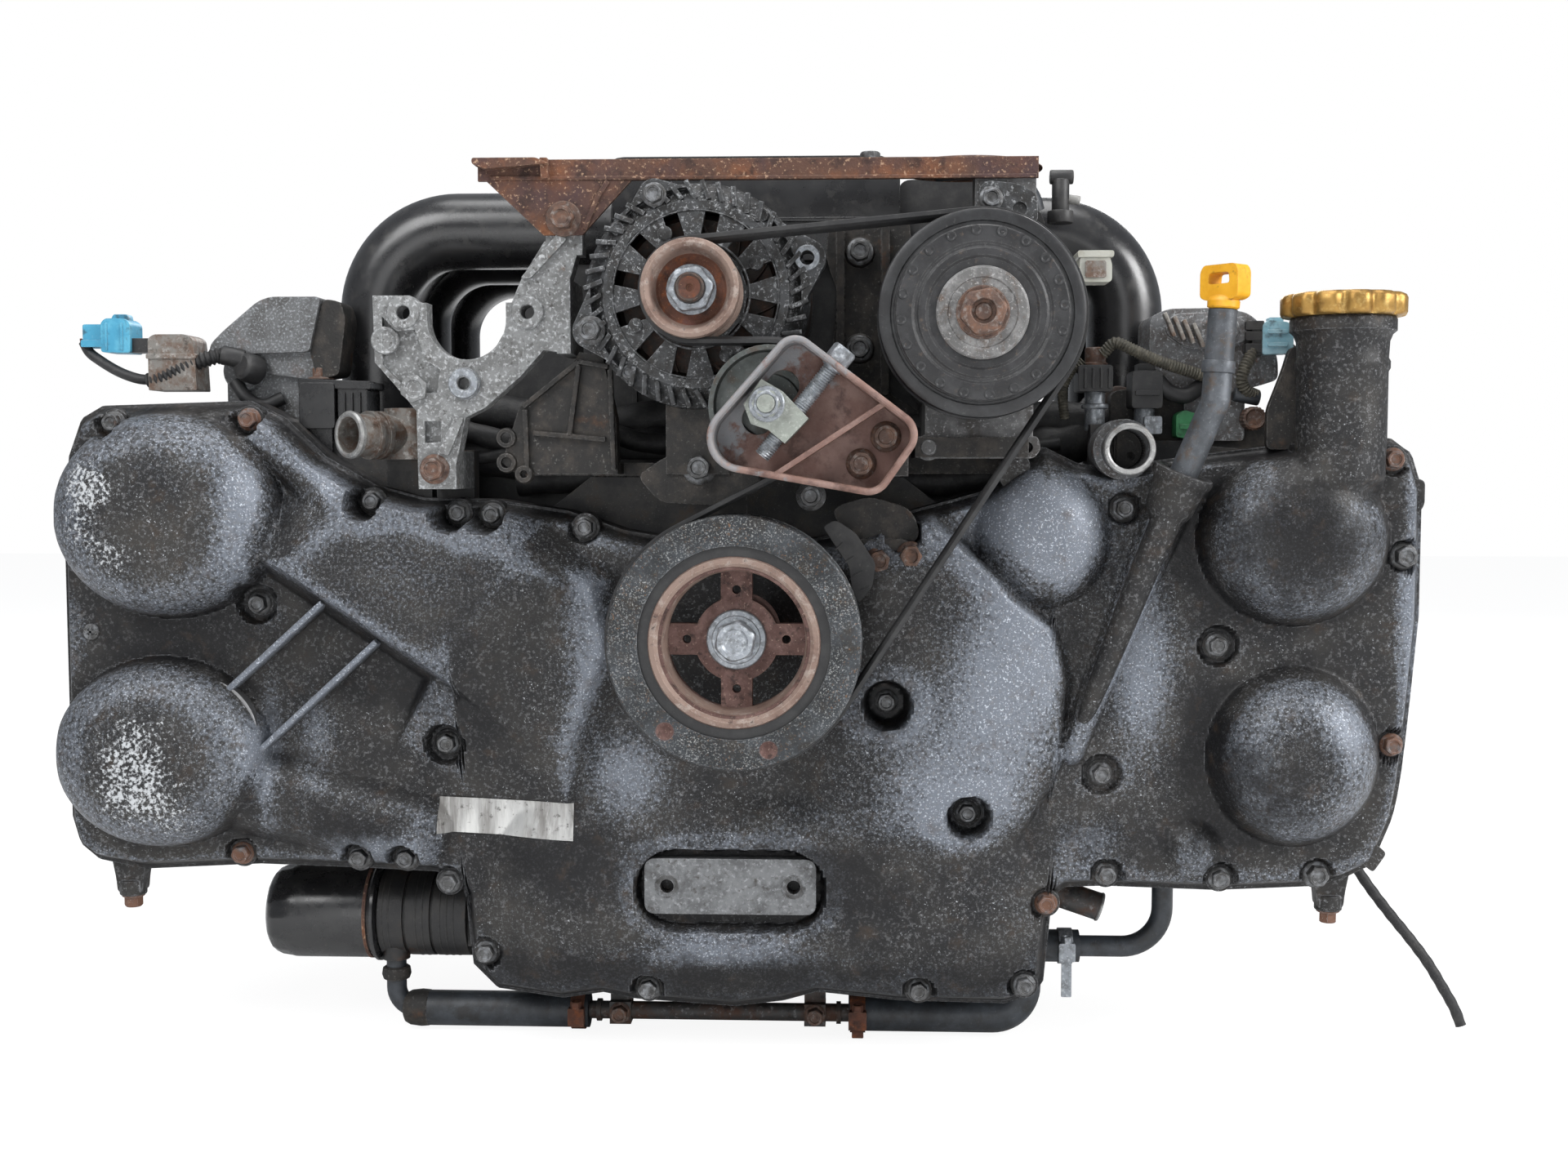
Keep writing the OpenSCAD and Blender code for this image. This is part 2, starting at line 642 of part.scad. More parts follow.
module front_cover() {
    color("dimgray") difference() {
        union() {
            difference() {
                cover_body();
                along_y(y_flange - 60, recess_y) slot_shape(pad_x, pad_z - 2, pad_len + 20, 46);
            }
            boss_list(all_bolts, boss_r, y_boss, y_flange + 2);
            for (r = ribs) along_y(y_field - rib_h, y_field + 1)
                polygon(loop_points([[r[0], r[1], rib_half], [r[2], r[3], rib_half]], 8));
            along_y(pad_y, recess_y + eps) translate([pad_x - pad_len / 2, pad_z - pad_h / 2])
                square([pad_len, pad_h]);
            for (l = down_lugs) block(l[0] - 9, l[0] + 9, y_flange, y_cover, l[1] - 24, l[1] + 8);
            cyl_z(neck_x, neck_y, neck_r, 70, filler_z);
            cyl_z(neck_x, neck_y, neck_r + 4.5, filler_z - 8, filler_z);
            rod_between(tube_c, tube_end, tube_r + 6);
        }
        boss_list(all_bolts, bolt_r + 0.3, y_boss - eps, y_cover + eps);
        boss_list(rim_bolts, boss_r, y_front, y_boss);
        boss_list(field_bolts, pocket_r, y_front, y_boss);
        cyl_y(blind_pocket[0], blind_pocket[1], pocket_r, y_front, y_field + 2);
        for (l = down_lugs) cyl_z(l[0], y_cover - 6, bolt_r + 0.3, l[1] - 25, l[1] - 4);
        along_y(y_chain - chain_w - 1, y_cover + eps) chain_space();
        along_y(y_chain - chain_w - 1, y_cover + eps) difference() {
            polygon([[-150, -60], [-150, -212], [160, -212], [160, -60], [20, -28], [-20, -28]]);
            posts();
        }
        for (side = [-1, 1], u = [-1, 1])
            cyl_y(side * cam_x, u * cam_z, phaser_r + 1.5, y_flange - 30.5, y_cover);
        cyl_y(0, 0, hub_r + air, y_flange - plateau_h - 20, y_cover);
        pad_holes(pad_hole_r, pad_y - eps, pad_y + 15);
        cyl_z(neck_x, neck_y, neck_bore_r, 80, filler_z + eps);
        rod_between(tube_b, tube_foot + tube_dir, tube_r + 0.15);
        cyl_y(inlet_x, inlet_z, inlet_collar_r + 0.5, y_front, y_cover + eps);
    }
}
module cover_bolts() {
    color("darkgray") {
        for (b = all_bolts) bolt_y(b[0], b[1], bolt_af, bolt_r, y_boss, boss_h + flange_t + housing_t - 4);
        for (l = down_lugs) {
            z = l[1] - 24;
            cyl_z(l[0], y_cover - 6, 0.72 * bolt_af, z - 1.5, z);
            translate([l[0], y_cover - 6, z - 8]) cylinder(r = bolt_af / sqrt(3), h = 6.5, $fn = 6);
            cyl_z(l[0], y_cover - 6, bolt_r, z - eps, z + 18);
        }
    }
}
module chain_housing() {
    color("gray") difference() {
        union() {
            along_y(y_cover, y_block) edge_shape();
            for (f = [outlet_foot, inlet_foot, pump_foot])
                block(f[0], f[1], y_cover, y_block, 50, f[2]);
        }
        for (side = [-1, 1], u = [-1, 1])
            cyl_y(side * cam_x, u * cam_z, cam_r + 6, y_cover - eps, y_block + eps);
        cyl_y(0, 0, main_r + 4, y_cover - eps, y_block + eps);
        along_y(y_cover - eps, y_cover + 6) chain_space();
        boss_list(all_bolts, bolt_r + 0.3, y_cover - eps, y_block - 3);
        along_y(y_cover - eps, y_block + eps) polygon([
            [-40, -110], [-40, -190], [40, -190], [40, -110]]);
    }
}

// Oil pan
pan_front_y = -(belt_back - 177);
module pan_side(inset) {
    polygon([
        [y_block + inset, -case_half_h - wall + (inset > 0 ? 1 : 0)],
        [y_block + inset, -pan_front_z + inset],
        [pan_front_y + inset, -pan_front_z + inset], [pan_front_y + 16 + inset, -pan_z + inset],
        [-22 - inset, -pan_z + inset], [-12 - inset, -pan_z + 12 + inset],
        [-12 - inset, -case_half_h - wall + (inset > 0 ? 1 : 0)]
    ]);
}
module oil_pan() {
    color("darkslategray") difference() {
        union() {
            translate([-pan_left, 0, 0]) rotate([90, 0,
                90]) linear_extrude(pan_left + pan_right) pan_side(0);
            block(-pan_left - 4, pan_right + 4, y_block, -rear_gap, -case_half_h - wall - 8,
                -case_half_h - wall);
            for (x = [-110 : 44 : 110]) block(x - 2, x + 2, pan_front_y + 14, -30, -pan_z, -pan_z + 12);
        }
        translate([wall - pan_left, 0, 0]) rotate([90, 0, 90])
            linear_extrude(pan_left + pan_right - 2 * wall) pan_side(wall);
        cyl_z(pan_right - 40, -60, 7, -pan_z - eps, -pan_z + 20);
    }
}

// Crank damper
damper_front = belt_front - 9.6;
damper_back = -(belt_back - 3);
rubber_r = 56;
rim_r = 50;
module damper_ring() {
    b0 = belt_front;
    b1 = -belt_back;
    color("slategray") difference() {
        turned(0, 0, [[rubber_r, damper_front], [damper_r - 1, damper_front], [damper_r, damper_front + 1],
            [damper_r, b0 - 1], [damper_r - track, b0], [damper_r - track, b1], [damper_r, b1 + 1],
            [damper_r, damper_back], [rubber_r, damper_back]]);
        for (a = [-128, -72]) rotate([0, -a, 0])
            cyl_y(damper_r - 9, 0, 5.2, damper_front - eps, damper_front + 6);
    }
}
module damper_rubber() {
    color("black") turned(0, 0, [[rim_r, damper_front + 2], [rubber_r, damper_front + 2],
        [rubber_r, damper_back - 2], [rim_r, damper_back - 2]]);
}
module damper_hub() {
    plate = damper_front + 25;
    color("saddlebrown") difference() {
        turned(0, 0, [[nose_r, plate + 11], [nose_r, y_chain - chain_w], [hub_r, y_chain - chain_w],
            [hub_r, damper_back - 1], [rim_r - 8, damper_back - 1], [rim_r, damper_back - 2],
            [rim_r, damper_front + 2], [rim_r - 8, damper_front + 2], [rim_r - 8, plate],
            [7.2, plate], [7.2, plate + 11]]);
        for (a = [0 : 90 : 359]) rotate([0, -a - 45, 0]) intersection() {
            turned(0, 0, [[hub_r + 1, plate - 1], [rim_r - 9, plate - 1], [rim_r - 9, damper_back],
                [hub_r + 1, damper_back]]);
            rotate([0, 45, 0]) block(9.25, 60, plate - 2, damper_back + 1, 9.25, 60);
        }
        for (a = [45 : 90 : 359]) rotate([0, -a - 45, 0])
            cyl_y(29.4, 0, 2.6, plate - eps, damper_back);
    }
}
module crank_bolt() {
    plate = damper_front + 25;
    color("silver") union() {
        cyl_y(0, 0, 17.7, plate - 3.5, plate);
        cyl_y(0, 0, 14, plate - 5, plate - 3.4);
        hex_y(0, 0, 22, plate - 17, plate - 4.9);
        cyl_y(0, 0, 7 - run_fit, plate - eps, nose_end + 40);
    }
}

// Grooved belt pulleys and the belt
module drive_belt() {
    stops = [
        [0, 0, damper_r - track + air], [comp_x, comp_z, comp_r - track + air],
        [alt_x, alt_z, alt_pulley_r - track + air], [idler_x, idler_z, -idler_r - air - belt_t]
    ];
    outer = [for (s = stops) [s[0], s[1], s[2] + belt_t]];
    color("black") along_y(belt_front + 0.2, -belt_back - 0.2) difference() {
        polygon(loop_points(outer, 20));
        polygon(loop_points(stops, 20));
    }
}
module idler_pulley() {
    b0 = belt_front - 0.6;
    b1 = -belt_back + 0.6;
    color("dimgray") turned(idler_x, idler_z, [[stud_r + run_fit, b0 + 3], [18, b0 + 3], [19, b0 + 6],
        [idler_r - 4, b0 + 6], [idler_r - 3, b0], [idler_r, b0], [idler_r, b1], [idler_r - 3, b1],
        [idler_r - 4, b1 - 6], [19, b1 - 6], [18, b1 - 1], [stud_r + run_fit, b1 - 1]]);
}

// Alternator
alt_front = -(belt_back - 5);
alt_back = alt_front + alt_len;
shaft_r = 8.5;
stator_front = alt_front + 36;
stator_back = stator_front + 32;
alt_ears = [[-49, 261, 9.5], [-87, 182, 11], [41, 224, 11]];
module ear(e, y0, y1) {
    difference() {
        along_y(y0, y1) polygon(loop_points([[e[0], e[1], e[2]], [alt_x, alt_z, alt_r - 8]]));
        cyl_y(alt_x, alt_z, alt_r - 4.5, y0 - 1, y1 + 1);
    }
}
module alternator_front() {
    f = alt_front;
    color("darkgray") difference() {
        union() {
            turned(alt_x, alt_z, [[shaft_r + run_fit, f], [20, f], [22, f + 2], [alt_r - 12, f + 2],
                [alt_r - 4, f + 8],
                [alt_r, f + 14], [alt_r, stator_front], [alt_r - 4, stator_front], [alt_r - 4, f + 18],
                [alt_r - 14, f + 7], [24, f + 7], [22, f + 16], [shaft_r + run_fit, f + 16]]);
            for (e = alt_ears) ear(e, f + 2, f + 18);
        }
        for (e = alt_ears) cyl_y(e[0], e[1], 4.2, f, f + 20);
        for (a = [0 : 30 : 359]) translate([alt_x, 0, alt_z]) rotate([0, a + 12, 0])
            block(30, 50, f - 1, f + 9, -4.5, 4.5);
        for (a = [0 : 15 : 359]) translate([alt_x, 0, alt_z]) rotate([0, a + 5, 0])
            block(alt_r - 9, alt_r + 4, f + 19, f + 31, -3.4, 3.4);
    }
}
module alternator_stator() {
    color("chocolate") turned(alt_x, alt_z, [[52, stator_front + 2], [54, stator_front - 8],
        [alt_r - 6, stator_front - 8], [alt_r - 5, stator_front], [alt_r, stator_front],
        [alt_r, stator_back],
        [alt_r - 5, stator_back], [alt_r - 6, stator_back + 8], [54, stator_back + 8],
        [52, stator_back - 2]]);
}
module alternator_rear() {
    b = alt_back;
    color("darkgray") difference() {
        turned(alt_x, alt_z, [[shaft_r + run_fit, b - 18], [20, b - 18], [22, b - 8], [alt_r - 16, b - 6],
            [alt_r - 4, b - 18], [alt_r - 4, stator_back], [alt_r, stator_back], [alt_r, b - 14],
            [alt_r - 10, b - 2], [alt_r - 20, b], [0, b], [0, b - 4], [shaft_r + run_fit, b - 4]]);
        for (a = [0 : 15 : 359]) translate([alt_x, 0, alt_z]) rotate([0, a + 5, 0])
            block(alt_r - 9, alt_r + 4, b - 27, b - 19, -3.4, 3.4);
    }
}
module alternator_rotor() {
    color("silver") turned(alt_x, alt_z, [[0, belt_front - 8], [2, belt_front - 8],
        [shaft_r - 1, belt_front - 13],
        [shaft_r, belt_front - 12], [shaft_r, alt_front + 17], [46, alt_front + 20],
        [49.5, alt_front + 25], [49.5, alt_back - 29], [46, alt_back - 24],
        [shaft_r, alt_back - 20], [shaft_r, alt_back - 5], [0, alt_back - 5]]);
}
module alternator_pulley() {
    b0 = belt_front;
    b1 = -belt_back;
    color("wheat") turned(alt_x, alt_z, [[shaft_r, b0 + 2], [20, b0 + 2], [alt_pulley_r - 4, b0 - 8],
        [alt_pulley_r, b0 - 9], [alt_pulley_r, b0 - 1], [alt_pulley_r - track, b0],
        [alt_pulley_r - track, b1],
        [alt_pulley_r, b1 + 1], [alt_pulley_r, b1 + 3.5], [shaft_r + 4, b1 + 3.5], [shaft_r + 4, b1 + 4.5],
        [shaft_r, b1 + 4.5]]);
}
module alternator_nut() {
    color("silver") difference() {
        union() {
            hex_y(alt_x, alt_z, 24, belt_front - 8, belt_front + 1);
            cyl_y(alt_x, alt_z, 14.5, belt_front + 0.9, belt_front + 2);
        }
        cyl_y(alt_x, alt_z, shaft_r, belt_front - 9, belt_front + 3);
    }
}

// Compressor with its clutch
comp_front = -(belt_back - 4);
comp_back = comp_front + comp_len;
comp_nose_r = 19;
module compressor_body() {
    color("gray") difference() {
        union() {
            turned(comp_x, comp_z, [[0, comp_back], [0, comp_front], [comp_body_r - 8, comp_front],
                [comp_body_r, comp_front + 8], [comp_body_r, comp_front + 48],
                [comp_body_r + 3, comp_front + 49],
                [comp_body_r + 3, comp_front + 60], [comp_body_r, comp_front + 61],
                [comp_body_r, comp_back - 10], [comp_body_r - 8, comp_back]]);
            cyl_y(comp_x, comp_z, comp_nose_r, belt_front, comp_front + 1);
            block(comp_x - 1, comp_x + 35, rail_y, rail_y + 24, comp_z + 30, rail_top - 3);
            block(comp_x - 30, comp_x + 34, rail_y - 4, comp_back - 8, rail_seat, comp_z - 20);
            for (a = [60 : 60 : 359]) translate([comp_x, 0, comp_z]) rotate([0, a, 0])
                cyl_y(comp_body_r - 2, 0, 7, comp_front + 12, comp_back - 12);
            block(comp_x - 22, comp_x + 14, comp_back - 46, comp_back - 14, comp_z + 44, comp_z + 60);
        }
        cyl_y(comp_x, comp_z, shaft_r - 1.5 + run_fit, belt_front - 1, comp_front + 40);
        for (e = [-12, 6]) cyl_z(comp_x + e, comp_back - 30, 6, comp_z + 50, comp_z + 61);
    }
}
module compressor_pulley() {
    b0 = belt_front;
    b1 = -belt_back;
    f = b0 - 11;
    color("dimgray") turned(comp_x, comp_z, [[comp_nose_r + run_fit, f + 4], [26, f + 4], [27, f],
        [comp_r - 2, f],
        [comp_r, f + 2], [comp_r, b0 - 1], [comp_r - track, b0], [comp_r - track, b1], [comp_r, b1 + 1],
        [comp_r, b1 + 3], [comp_r - 6, b1 + 3], [comp_r - 7, f + 12], [28, f + 12], [27, b1 + 2],
        [comp_nose_r + run_fit, b1 + 2]]);
}
module clutch_plate() {
    f = belt_front - 11.5;
    color("silver") difference() {
        union() {
            turned(comp_x, comp_z, [[0, f - 2], [29, f - 2], [31, f - 3], [comp_r - 11, f - 3],
                [comp_r - 10, f - 2],
                [comp_r - 10, f], [0, f]]);
            cyl_y(comp_x, comp_z, 26, f - 4.5, f - 1);
            cyl_y(comp_x, comp_z, 15, f - 1, f + 8);
            cyl_y(comp_x, comp_z, shaft_r - 1.5, f - 6, comp_front + 36);
        }
        for (a = [0 : 18 : 359]) translate([comp_x, 0, comp_z]) rotate([0, a, 0])
            cyl_y(comp_r - 15, 0, 2.2, f - 4, f - 1.8);
        for (a = [30 : 120 : 359]) translate([comp_x, 0, comp_z]) rotate([0, a, 0])
            cyl_y(20, 0, 3, f - 5, f - 2.5);
    }
}
module clutch_nut() {
    f = belt_front - 16;
    color("saddlebrown") difference() {
        union() {
            hex_y(comp_x, comp_z, 17, f - 8, f - 1);
            cyl_y(comp_x, comp_z, 13, f - 1.1, f);
        }
        cyl_y(comp_x, comp_z, shaft_r - 1.5, f - 4, f + 1);
    }
}

// Belt tensioner: a stamped tray with a sliding block on an adjuster screw
tray_plate = -(belt_back + belt_w + 6.6);
tray_back = tray_plate + 3;
tray_rim = tray_plate - 24;
tray_corners = [[36, 162, 12], [6, 117.5, 19], [77, 99, 13], [90.5, 119, 13.5]];
tray_bolts = [[87, 118.5], [73, 103.2]];
screw_dir = [0.62, 0, 0.785] / norm([0.62, 0, 0.785]);
stud_r = 8;
screw_r = 4.9;
screw_side = 15.5;
screw_y = tray_plate - 11;
screw_mid = [idler_x + screw_side * screw_dir[2], screw_y, idler_z - screw_side * screw_dir[0]];
slide_out = 10;
slide_in = 12;
function grow(list, by) = [for (c = list) [c[0], c[1], c[2] + by]];
module tensioner_bracket() {
    u = screw_dir;
    color("saddlebrown") difference() {
        union() {
            along_y(tray_plate, tray_back) polygon(loop_points(tray_corners));
            along_y(tray_rim, tray_plate + eps) difference() {
                polygon(loop_points(tray_corners));
                polygon(loop_points(grow(tray_corners, -3.5)));
            }
            intersection() {
                translate([26, tray_rim + 3, 96]) rotate([0, -33, 0]) cube([75, 21 + eps, 3]);
                along_y(tray_rim, tray_back) polygon(loop_points(grow(tray_corners, -1)));
            }
        }
        for (b = tray_bolts) cyl_y(b[0], b[1], 4.2, tray_plate - 1, tray_back + 1);
        along_y(tray_plate - 1, tray_back + 1) polygon(loop_points([
            [idler_x - slide_out * u[0], idler_z - slide_out * u[2], stud_r + 1],
            [idler_x + (slide_in + 2) * u[0], idler_z + (slide_in + 2) * u[2], stud_r + 1]]));
        rod_between(screw_mid - 60 * u, screw_mid + 60 * u, screw_r + 0.3);
    }
}
module tensioner_slider() {
    y0 = tray_plate - 20;
    y1 = tray_plate - 0.4;
    color("silver") difference() {
        union() {
            along_y(y0, y1) polygon([[idler_x - 3, idler_z + 14], [idler_x - 13, idler_z],
                [idler_x - 9, idler_z - 11],
                [idler_x + 1, idler_z - 14.5], [idler_x + 10, idler_z - 22], [idler_x + 23.5, idler_z - 8],
                [idler_x + 9, idler_z + 7]]);
            cyl_y(idler_x, idler_z, stud_r, y1 - 1, -belt_back + 0.2);
            cyl_y(idler_x, idler_z, 5, y0 - 11, y0 + 1);
            cyl_y(idler_x, idler_z, 10, y0 - 1.5, y0 + eps);
            hex_y(idler_x, idler_z, 14, y0 - 8, y0 - 1.4);
            cyl_y(idler_x, idler_z, 13, -belt_back + 0.2, -belt_back + 3);
        }
        rod_between(screw_mid - 60 * screw_dir, screw_mid + 60 * screw_dir, screw_r + run_fit);
    }
}
module adjuster_screw() {
    top = 43;
    color("silver") union() {
        rod_between(screw_mid - 25 * screw_dir, screw_mid + top * screw_dir, screw_r);
        translate(screw_mid + (top - eps) * screw_dir) rotate([0, acos(screw_dir[2]), 0])
            cylinder(r = 13 / sqrt(3), h = 9, $fn = 6);
    }
}

// Brackets
module pump_bracket() {
    f = pump_y;
    color("silver") difference() {
        union() {
            along_y(f, f + pump_t) difference() {
                polygon([[-221.5, 204.4], [-199, 204.4], [-193, 200], [-166, 200], [-137, 200], [-131, 214],
                    [-117, 236], [-94, 240], [-101.6, 214], [-101.6, 169.5], [-118, 171.5], [-132, 156],
                    [-154, 137], [-166, 131], [-169.5, 114], [-172, 103], [-172, 88], [-195, 88],
                    [-195.7, 135], [-204.5, 146], [-220.7, 164.5]]);
                translate([-164.6, 190]) circle(24);
                translate([-188.6, 190]) square([48, 30]);
            }
            cyl_y(gusset_bolt[0], gusset_bolt[1], 11, f, f + pump_t);
            along_y(f, f + pump_t) translate([-116, 228]) square([22, 20]);
            block(-110, -101.6, f, y_cover, 169.5, 214);
            block(-195, -172, f, y_cover, 88, 111);
            for (h = pump_holes) cyl_y(h[0], h[1], 10, f - 1.5, f + pump_t);
            cyl_y(-166, 151.5, 9.5, f - 4, f + 1);
        }
        for (h = pump_holes) cyl_y(h[0], h[1], 4.2, f - 3, f + pump_t + 1);
        along_y(f - 1, f + 5) polygon([[-216, 192], [-207, 183], [-196, 184], [-190, 166], [-181, 160],
            [-183, 146], [-199, 146], [-216, 163]]);
        along_y(f - 1, f + 6) translate([-191, 116]) square([10, 13]);
        cyl_y(-166, 151.5, 3.8, f - 5, f + 4);
        cyl_y(-185, 100, 4.4, f - 1, f + 30);
        cyl_y(gusset_bolt[0], gusset_bolt[1], 4.2, f - 1, f + pump_t + 1);
    }
}
module bracket_bolts() {
    bolt_y(-185, 100, 13, 4.2, pump_y, 26);
    bolt_y(gusset_bolt[0], gusset_bolt[1], 13, 4, rail_y - 3, 16);
    for (b = tray_bolts) bolt_y(b[0], b[1], 13, 4, tray_plate, 20);
}
module top_rail() {
    f = rail_y;
    color("saddlebrown") difference() {
        union() {
            block(-156, comp_x + 36, f - 3, f, rail_top - rail_drop, rail_top);
            block(-148, comp_x + 36, f - eps, f + 34, rail_top - 3, rail_top);
            along_y(f - 3, f) polygon([[-151, rail_top - rail_drop], [-117, 239.5], [-93.5, 239.5],
                [-64, rail_top - rail_drop], [-64, rail_top - 4], [-151, rail_top - 4]]);
        }
        cyl_y(gusset_bolt[0], gusset_bolt[1], 4.2, f - 5, f + 1);
        for (x = [comp_x + 8, comp_x + 28]) cyl_z(x, f + 12, 4.2, rail_top - 4, rail_top + 1);
    }
}
module accessory_bracket() {
    base = case_half_h;
    color("dimgray") difference() {
        union() {
            block(-98, 98, y_block + 1, y_block + 80, base, base + 9);
            block(-137, 98, y_cover - 12, y_block + 20, base + 1, base + 9);
            along_y(rail_y + 10, rail_y + 24) polygon([[-135, 138], [-106, 156], [-98, 171], [-84, 169],
                [-76, 131], [-75, 97], [-137, 97], [-146, 104]]);
            block(-137, -75, rail_y + 20, y_cover - 10, base + 2, base + 9);
            block(-108, -100, rail_y + 20, y_block + 10, base + 8, 140);
            block(-44, -6, alt_front + 14, y_block + 18, base + 2, 150);
            block(comp_x - 36, comp_x + 31, rail_y - 10, y_block + 40, rail_seat - 12, rail_seat);
            block(90, comp_x + 31, y_block + 1, y_block + 40, base + 2, rail_seat - 1);
            block(68, 100, tray_back, y_block + 10, base + 1, 126);
            for (b = tray_bolts) cyl_y(b[0], b[1], 8.5, tray_back, tray_back + 10);
        }
        cyl_y(alt_x, alt_z, alt_r + 0.3, alt_front - 1, alt_back + 60);
        for (b = tray_bolts) cyl_y(b[0], b[1], 4.2, tray_back - 1, tray_back + 26);
        cyl_y(comp_x, comp_z, comp_r + 3, belt_front - 12, -belt_back + 5);
    }
}

// Intake
runner_front = right_y(2);
plenum_front = y_block + 34;
plenum_back = y_head_rear - 22;
plenum_w = 98;
module runner(side, y, r) {
    union() {
        cyl_x(y, runner_z, r, side * (plenum_w - 8), side * (port_x - runner_bend));
        translate([side * (port_x - runner_bend), y, runner_z - runner_bend]) rotate([90, 0, 0])
            rotate([0, 0, side > 0 ? 0 : 90]) rotate_extrude(angle = 90)
                translate([runner_bend, 0]) circle(r);
        cyl_z(side * port_x, y, r, port_z, runner_z - runner_bend);
    }
}
module plenum(inset) {
    a = plenum_w - inset;
    z0 = runner_z - runner_r + 3 + inset;
    z1 = plenum_z - inset;
    polygon(loop_points([[-a + 14, z0 + 14, 14], [a - 14, z0 + 14, 14], [a - 16, z1 - 16, 16],
        [-a + 16, z1 - 16, 16]], 6));
}
module intake_manifold() {
    color("black") difference() {
        union() {
            along_y(plenum_front, plenum_back) plenum(0);
            for (k = [0 : 2]) {
                runner(-1, left_y(k), runner_r);
                runner(1, right_y(k), runner_r);
            }
            for (side = [-1, 1]) {
                mid = side < 0 ? left_y(1) : right_y(1);
                block(side * (port_x - 26), side * (port_x + 30), mid - bore_pitch - 26,
                      mid + bore_pitch + 26, port_z, port_z + 10);
            }
            cyl_y(0, throttle_z, throttle_r + 5, plenum_back - 1, plenum_back + 3);
        }
        along_y(plenum_front + wall, plenum_back - wall) plenum(wall);
        for (k = [0 : 2]) {
            runner(-1, left_y(k), runner_r - 5);
            runner(1, right_y(k), runner_r - 5);
            cyl_z(-port_x, left_y(k), runner_r - 5, port_z - 1, port_z + 9);
            cyl_z(port_x, right_y(k), runner_r - 5, port_z - 1, port_z + 9);
        }
        cyl_y(0, throttle_z, throttle_r, plenum_back - 10, plenum_back + 4);
    }
}
throttle_back = plenum_back + throttle_len;
throttle_stub = 22;
throttle_mid = plenum_back + 26.5;
module throttle_body() {
    y = plenum_back + 3;
    mid = throttle_mid;
    color("silver") difference() {
        union() {
            cyl_y(0, throttle_z, throttle_r + 5, y, throttle_back - throttle_stub);
            cyl_y(0, throttle_z, throttle_r + 3.5, y, throttle_back);
            along_y(y, y + 7) translate([-throttle_r - 6, throttle_z - throttle_r - 2])
                square([2 * throttle_r + 12, 2 * throttle_r + 8]);
            cyl_x(mid, throttle_z, 9, throttle_r + 1, throttle_r + 14);
            block(-throttle_r - 26, -throttle_r - 2, mid - 18, mid + 18, throttle_z - 18, throttle_z + 26);
        }
        cyl_y(0, throttle_z, throttle_r, y - 1, throttle_back + 1);
        cyl_x(mid, throttle_z, 4 + run_fit, -throttle_r - 6, throttle_r + 9);
    }
}
module throttle_plate() {
    mid = throttle_mid;
    color("goldenrod") union() {
        cyl_y(0, throttle_z, throttle_r - 0.4, mid - 1.2, mid + 1.2);
        cyl_x(mid, throttle_z, 4, -throttle_r - 5, throttle_r + 8);
    }
}

// Coolant stubs on the chain housing
outlet_mouth = [-241, y_flange - 26, 121];
module stub(mouth, back, r) {
    rod_between(mouth, back, r);
    rod_between(mouth, mouth + 4 * (back - mouth) / norm(back - mouth), r + 1.2);
}
module coolant_outlet() {
    back = [-212, y_cover - 2, 121];
    d = (back - outlet_mouth) / norm(back - outlet_mouth);
    color("dimgray") difference() {
        union() {
            stub(outlet_mouth, back, 13);
            rod_between(outlet_mouth + 14 * d, outlet_mouth + 17 * d, 15);
            rod_between(outlet_mouth + 21 * d, outlet_mouth + 24 * d, 15);
            cyl_z(back[0], back[1] - 2, 15.5, outlet_foot[2] + 0.1, back[2] + 17);
            block(outlet_foot[0], outlet_foot[1], y_cover - 5, y_block, outlet_foot[2],
                outlet_foot[2] + 12);
        }
        rod_between(outlet_mouth - 2 * d, back - 4 * d, 11);
    }
}
module coolant_inlet() {
    color("gray") difference() {
        union() {
            cyl_y(inlet_x, inlet_z, 14, y_flange - 38, y_cover - 1);
            cyl_y(inlet_x, inlet_z, 15.2, y_flange - 38, y_flange - 35);
            cyl_y(inlet_x, inlet_z, inlet_collar_r, y_flange - 14, y_cover);
        }
        cyl_y(inlet_x, inlet_z, 12, y_flange - 39, y_cover - 3);
    }
}

// Oil cap and dipstick
module oil_cap() {
    color("goldenrod") translate([neck_x, neck_y, filler_z]) union() {
        translate([0, 0, 0.3]) difference() {
            cylinder(r = cap_r, h = cap_h);
            for (a = [0 : 30 : 359]) rotate(a + 15) translate([cap_r + 4, 0, -1]) cylinder(r = 7.5,
                h = cap_h + 2);
            translate([0, 0, cap_h - 3]) cylinder(r = cap_r - 13, h = 4);
        }
        translate([-cap_r + 13, -4, cap_h - 4]) cube([2 * cap_r - 26, 8, 5]);
        translate([0, 0, -9]) cylinder(r = neck_bore_r - 0.5, h = 10);
    }
}
module dipstick_tube() {
    bore = tube_r - 2;
    ball = 0.25;
    run = (tube_b - tube_a) / norm(tube_b - tube_a);
    color("dimgray") difference() {
        union() {
            rod_between(tube_a, tube_b, tube_r);
            translate(tube_b) sphere(r = tube_r + ball);
            rod_between(tube_b, tube_foot, tube_r);
        }
        rod_between(tube_a - run, tube_b, bore);
        translate(tube_b) sphere(r = bore + ball);
        rod_between(tube_b, tube_foot + tube_dir, bore);
    }
}
stick_len = 50;
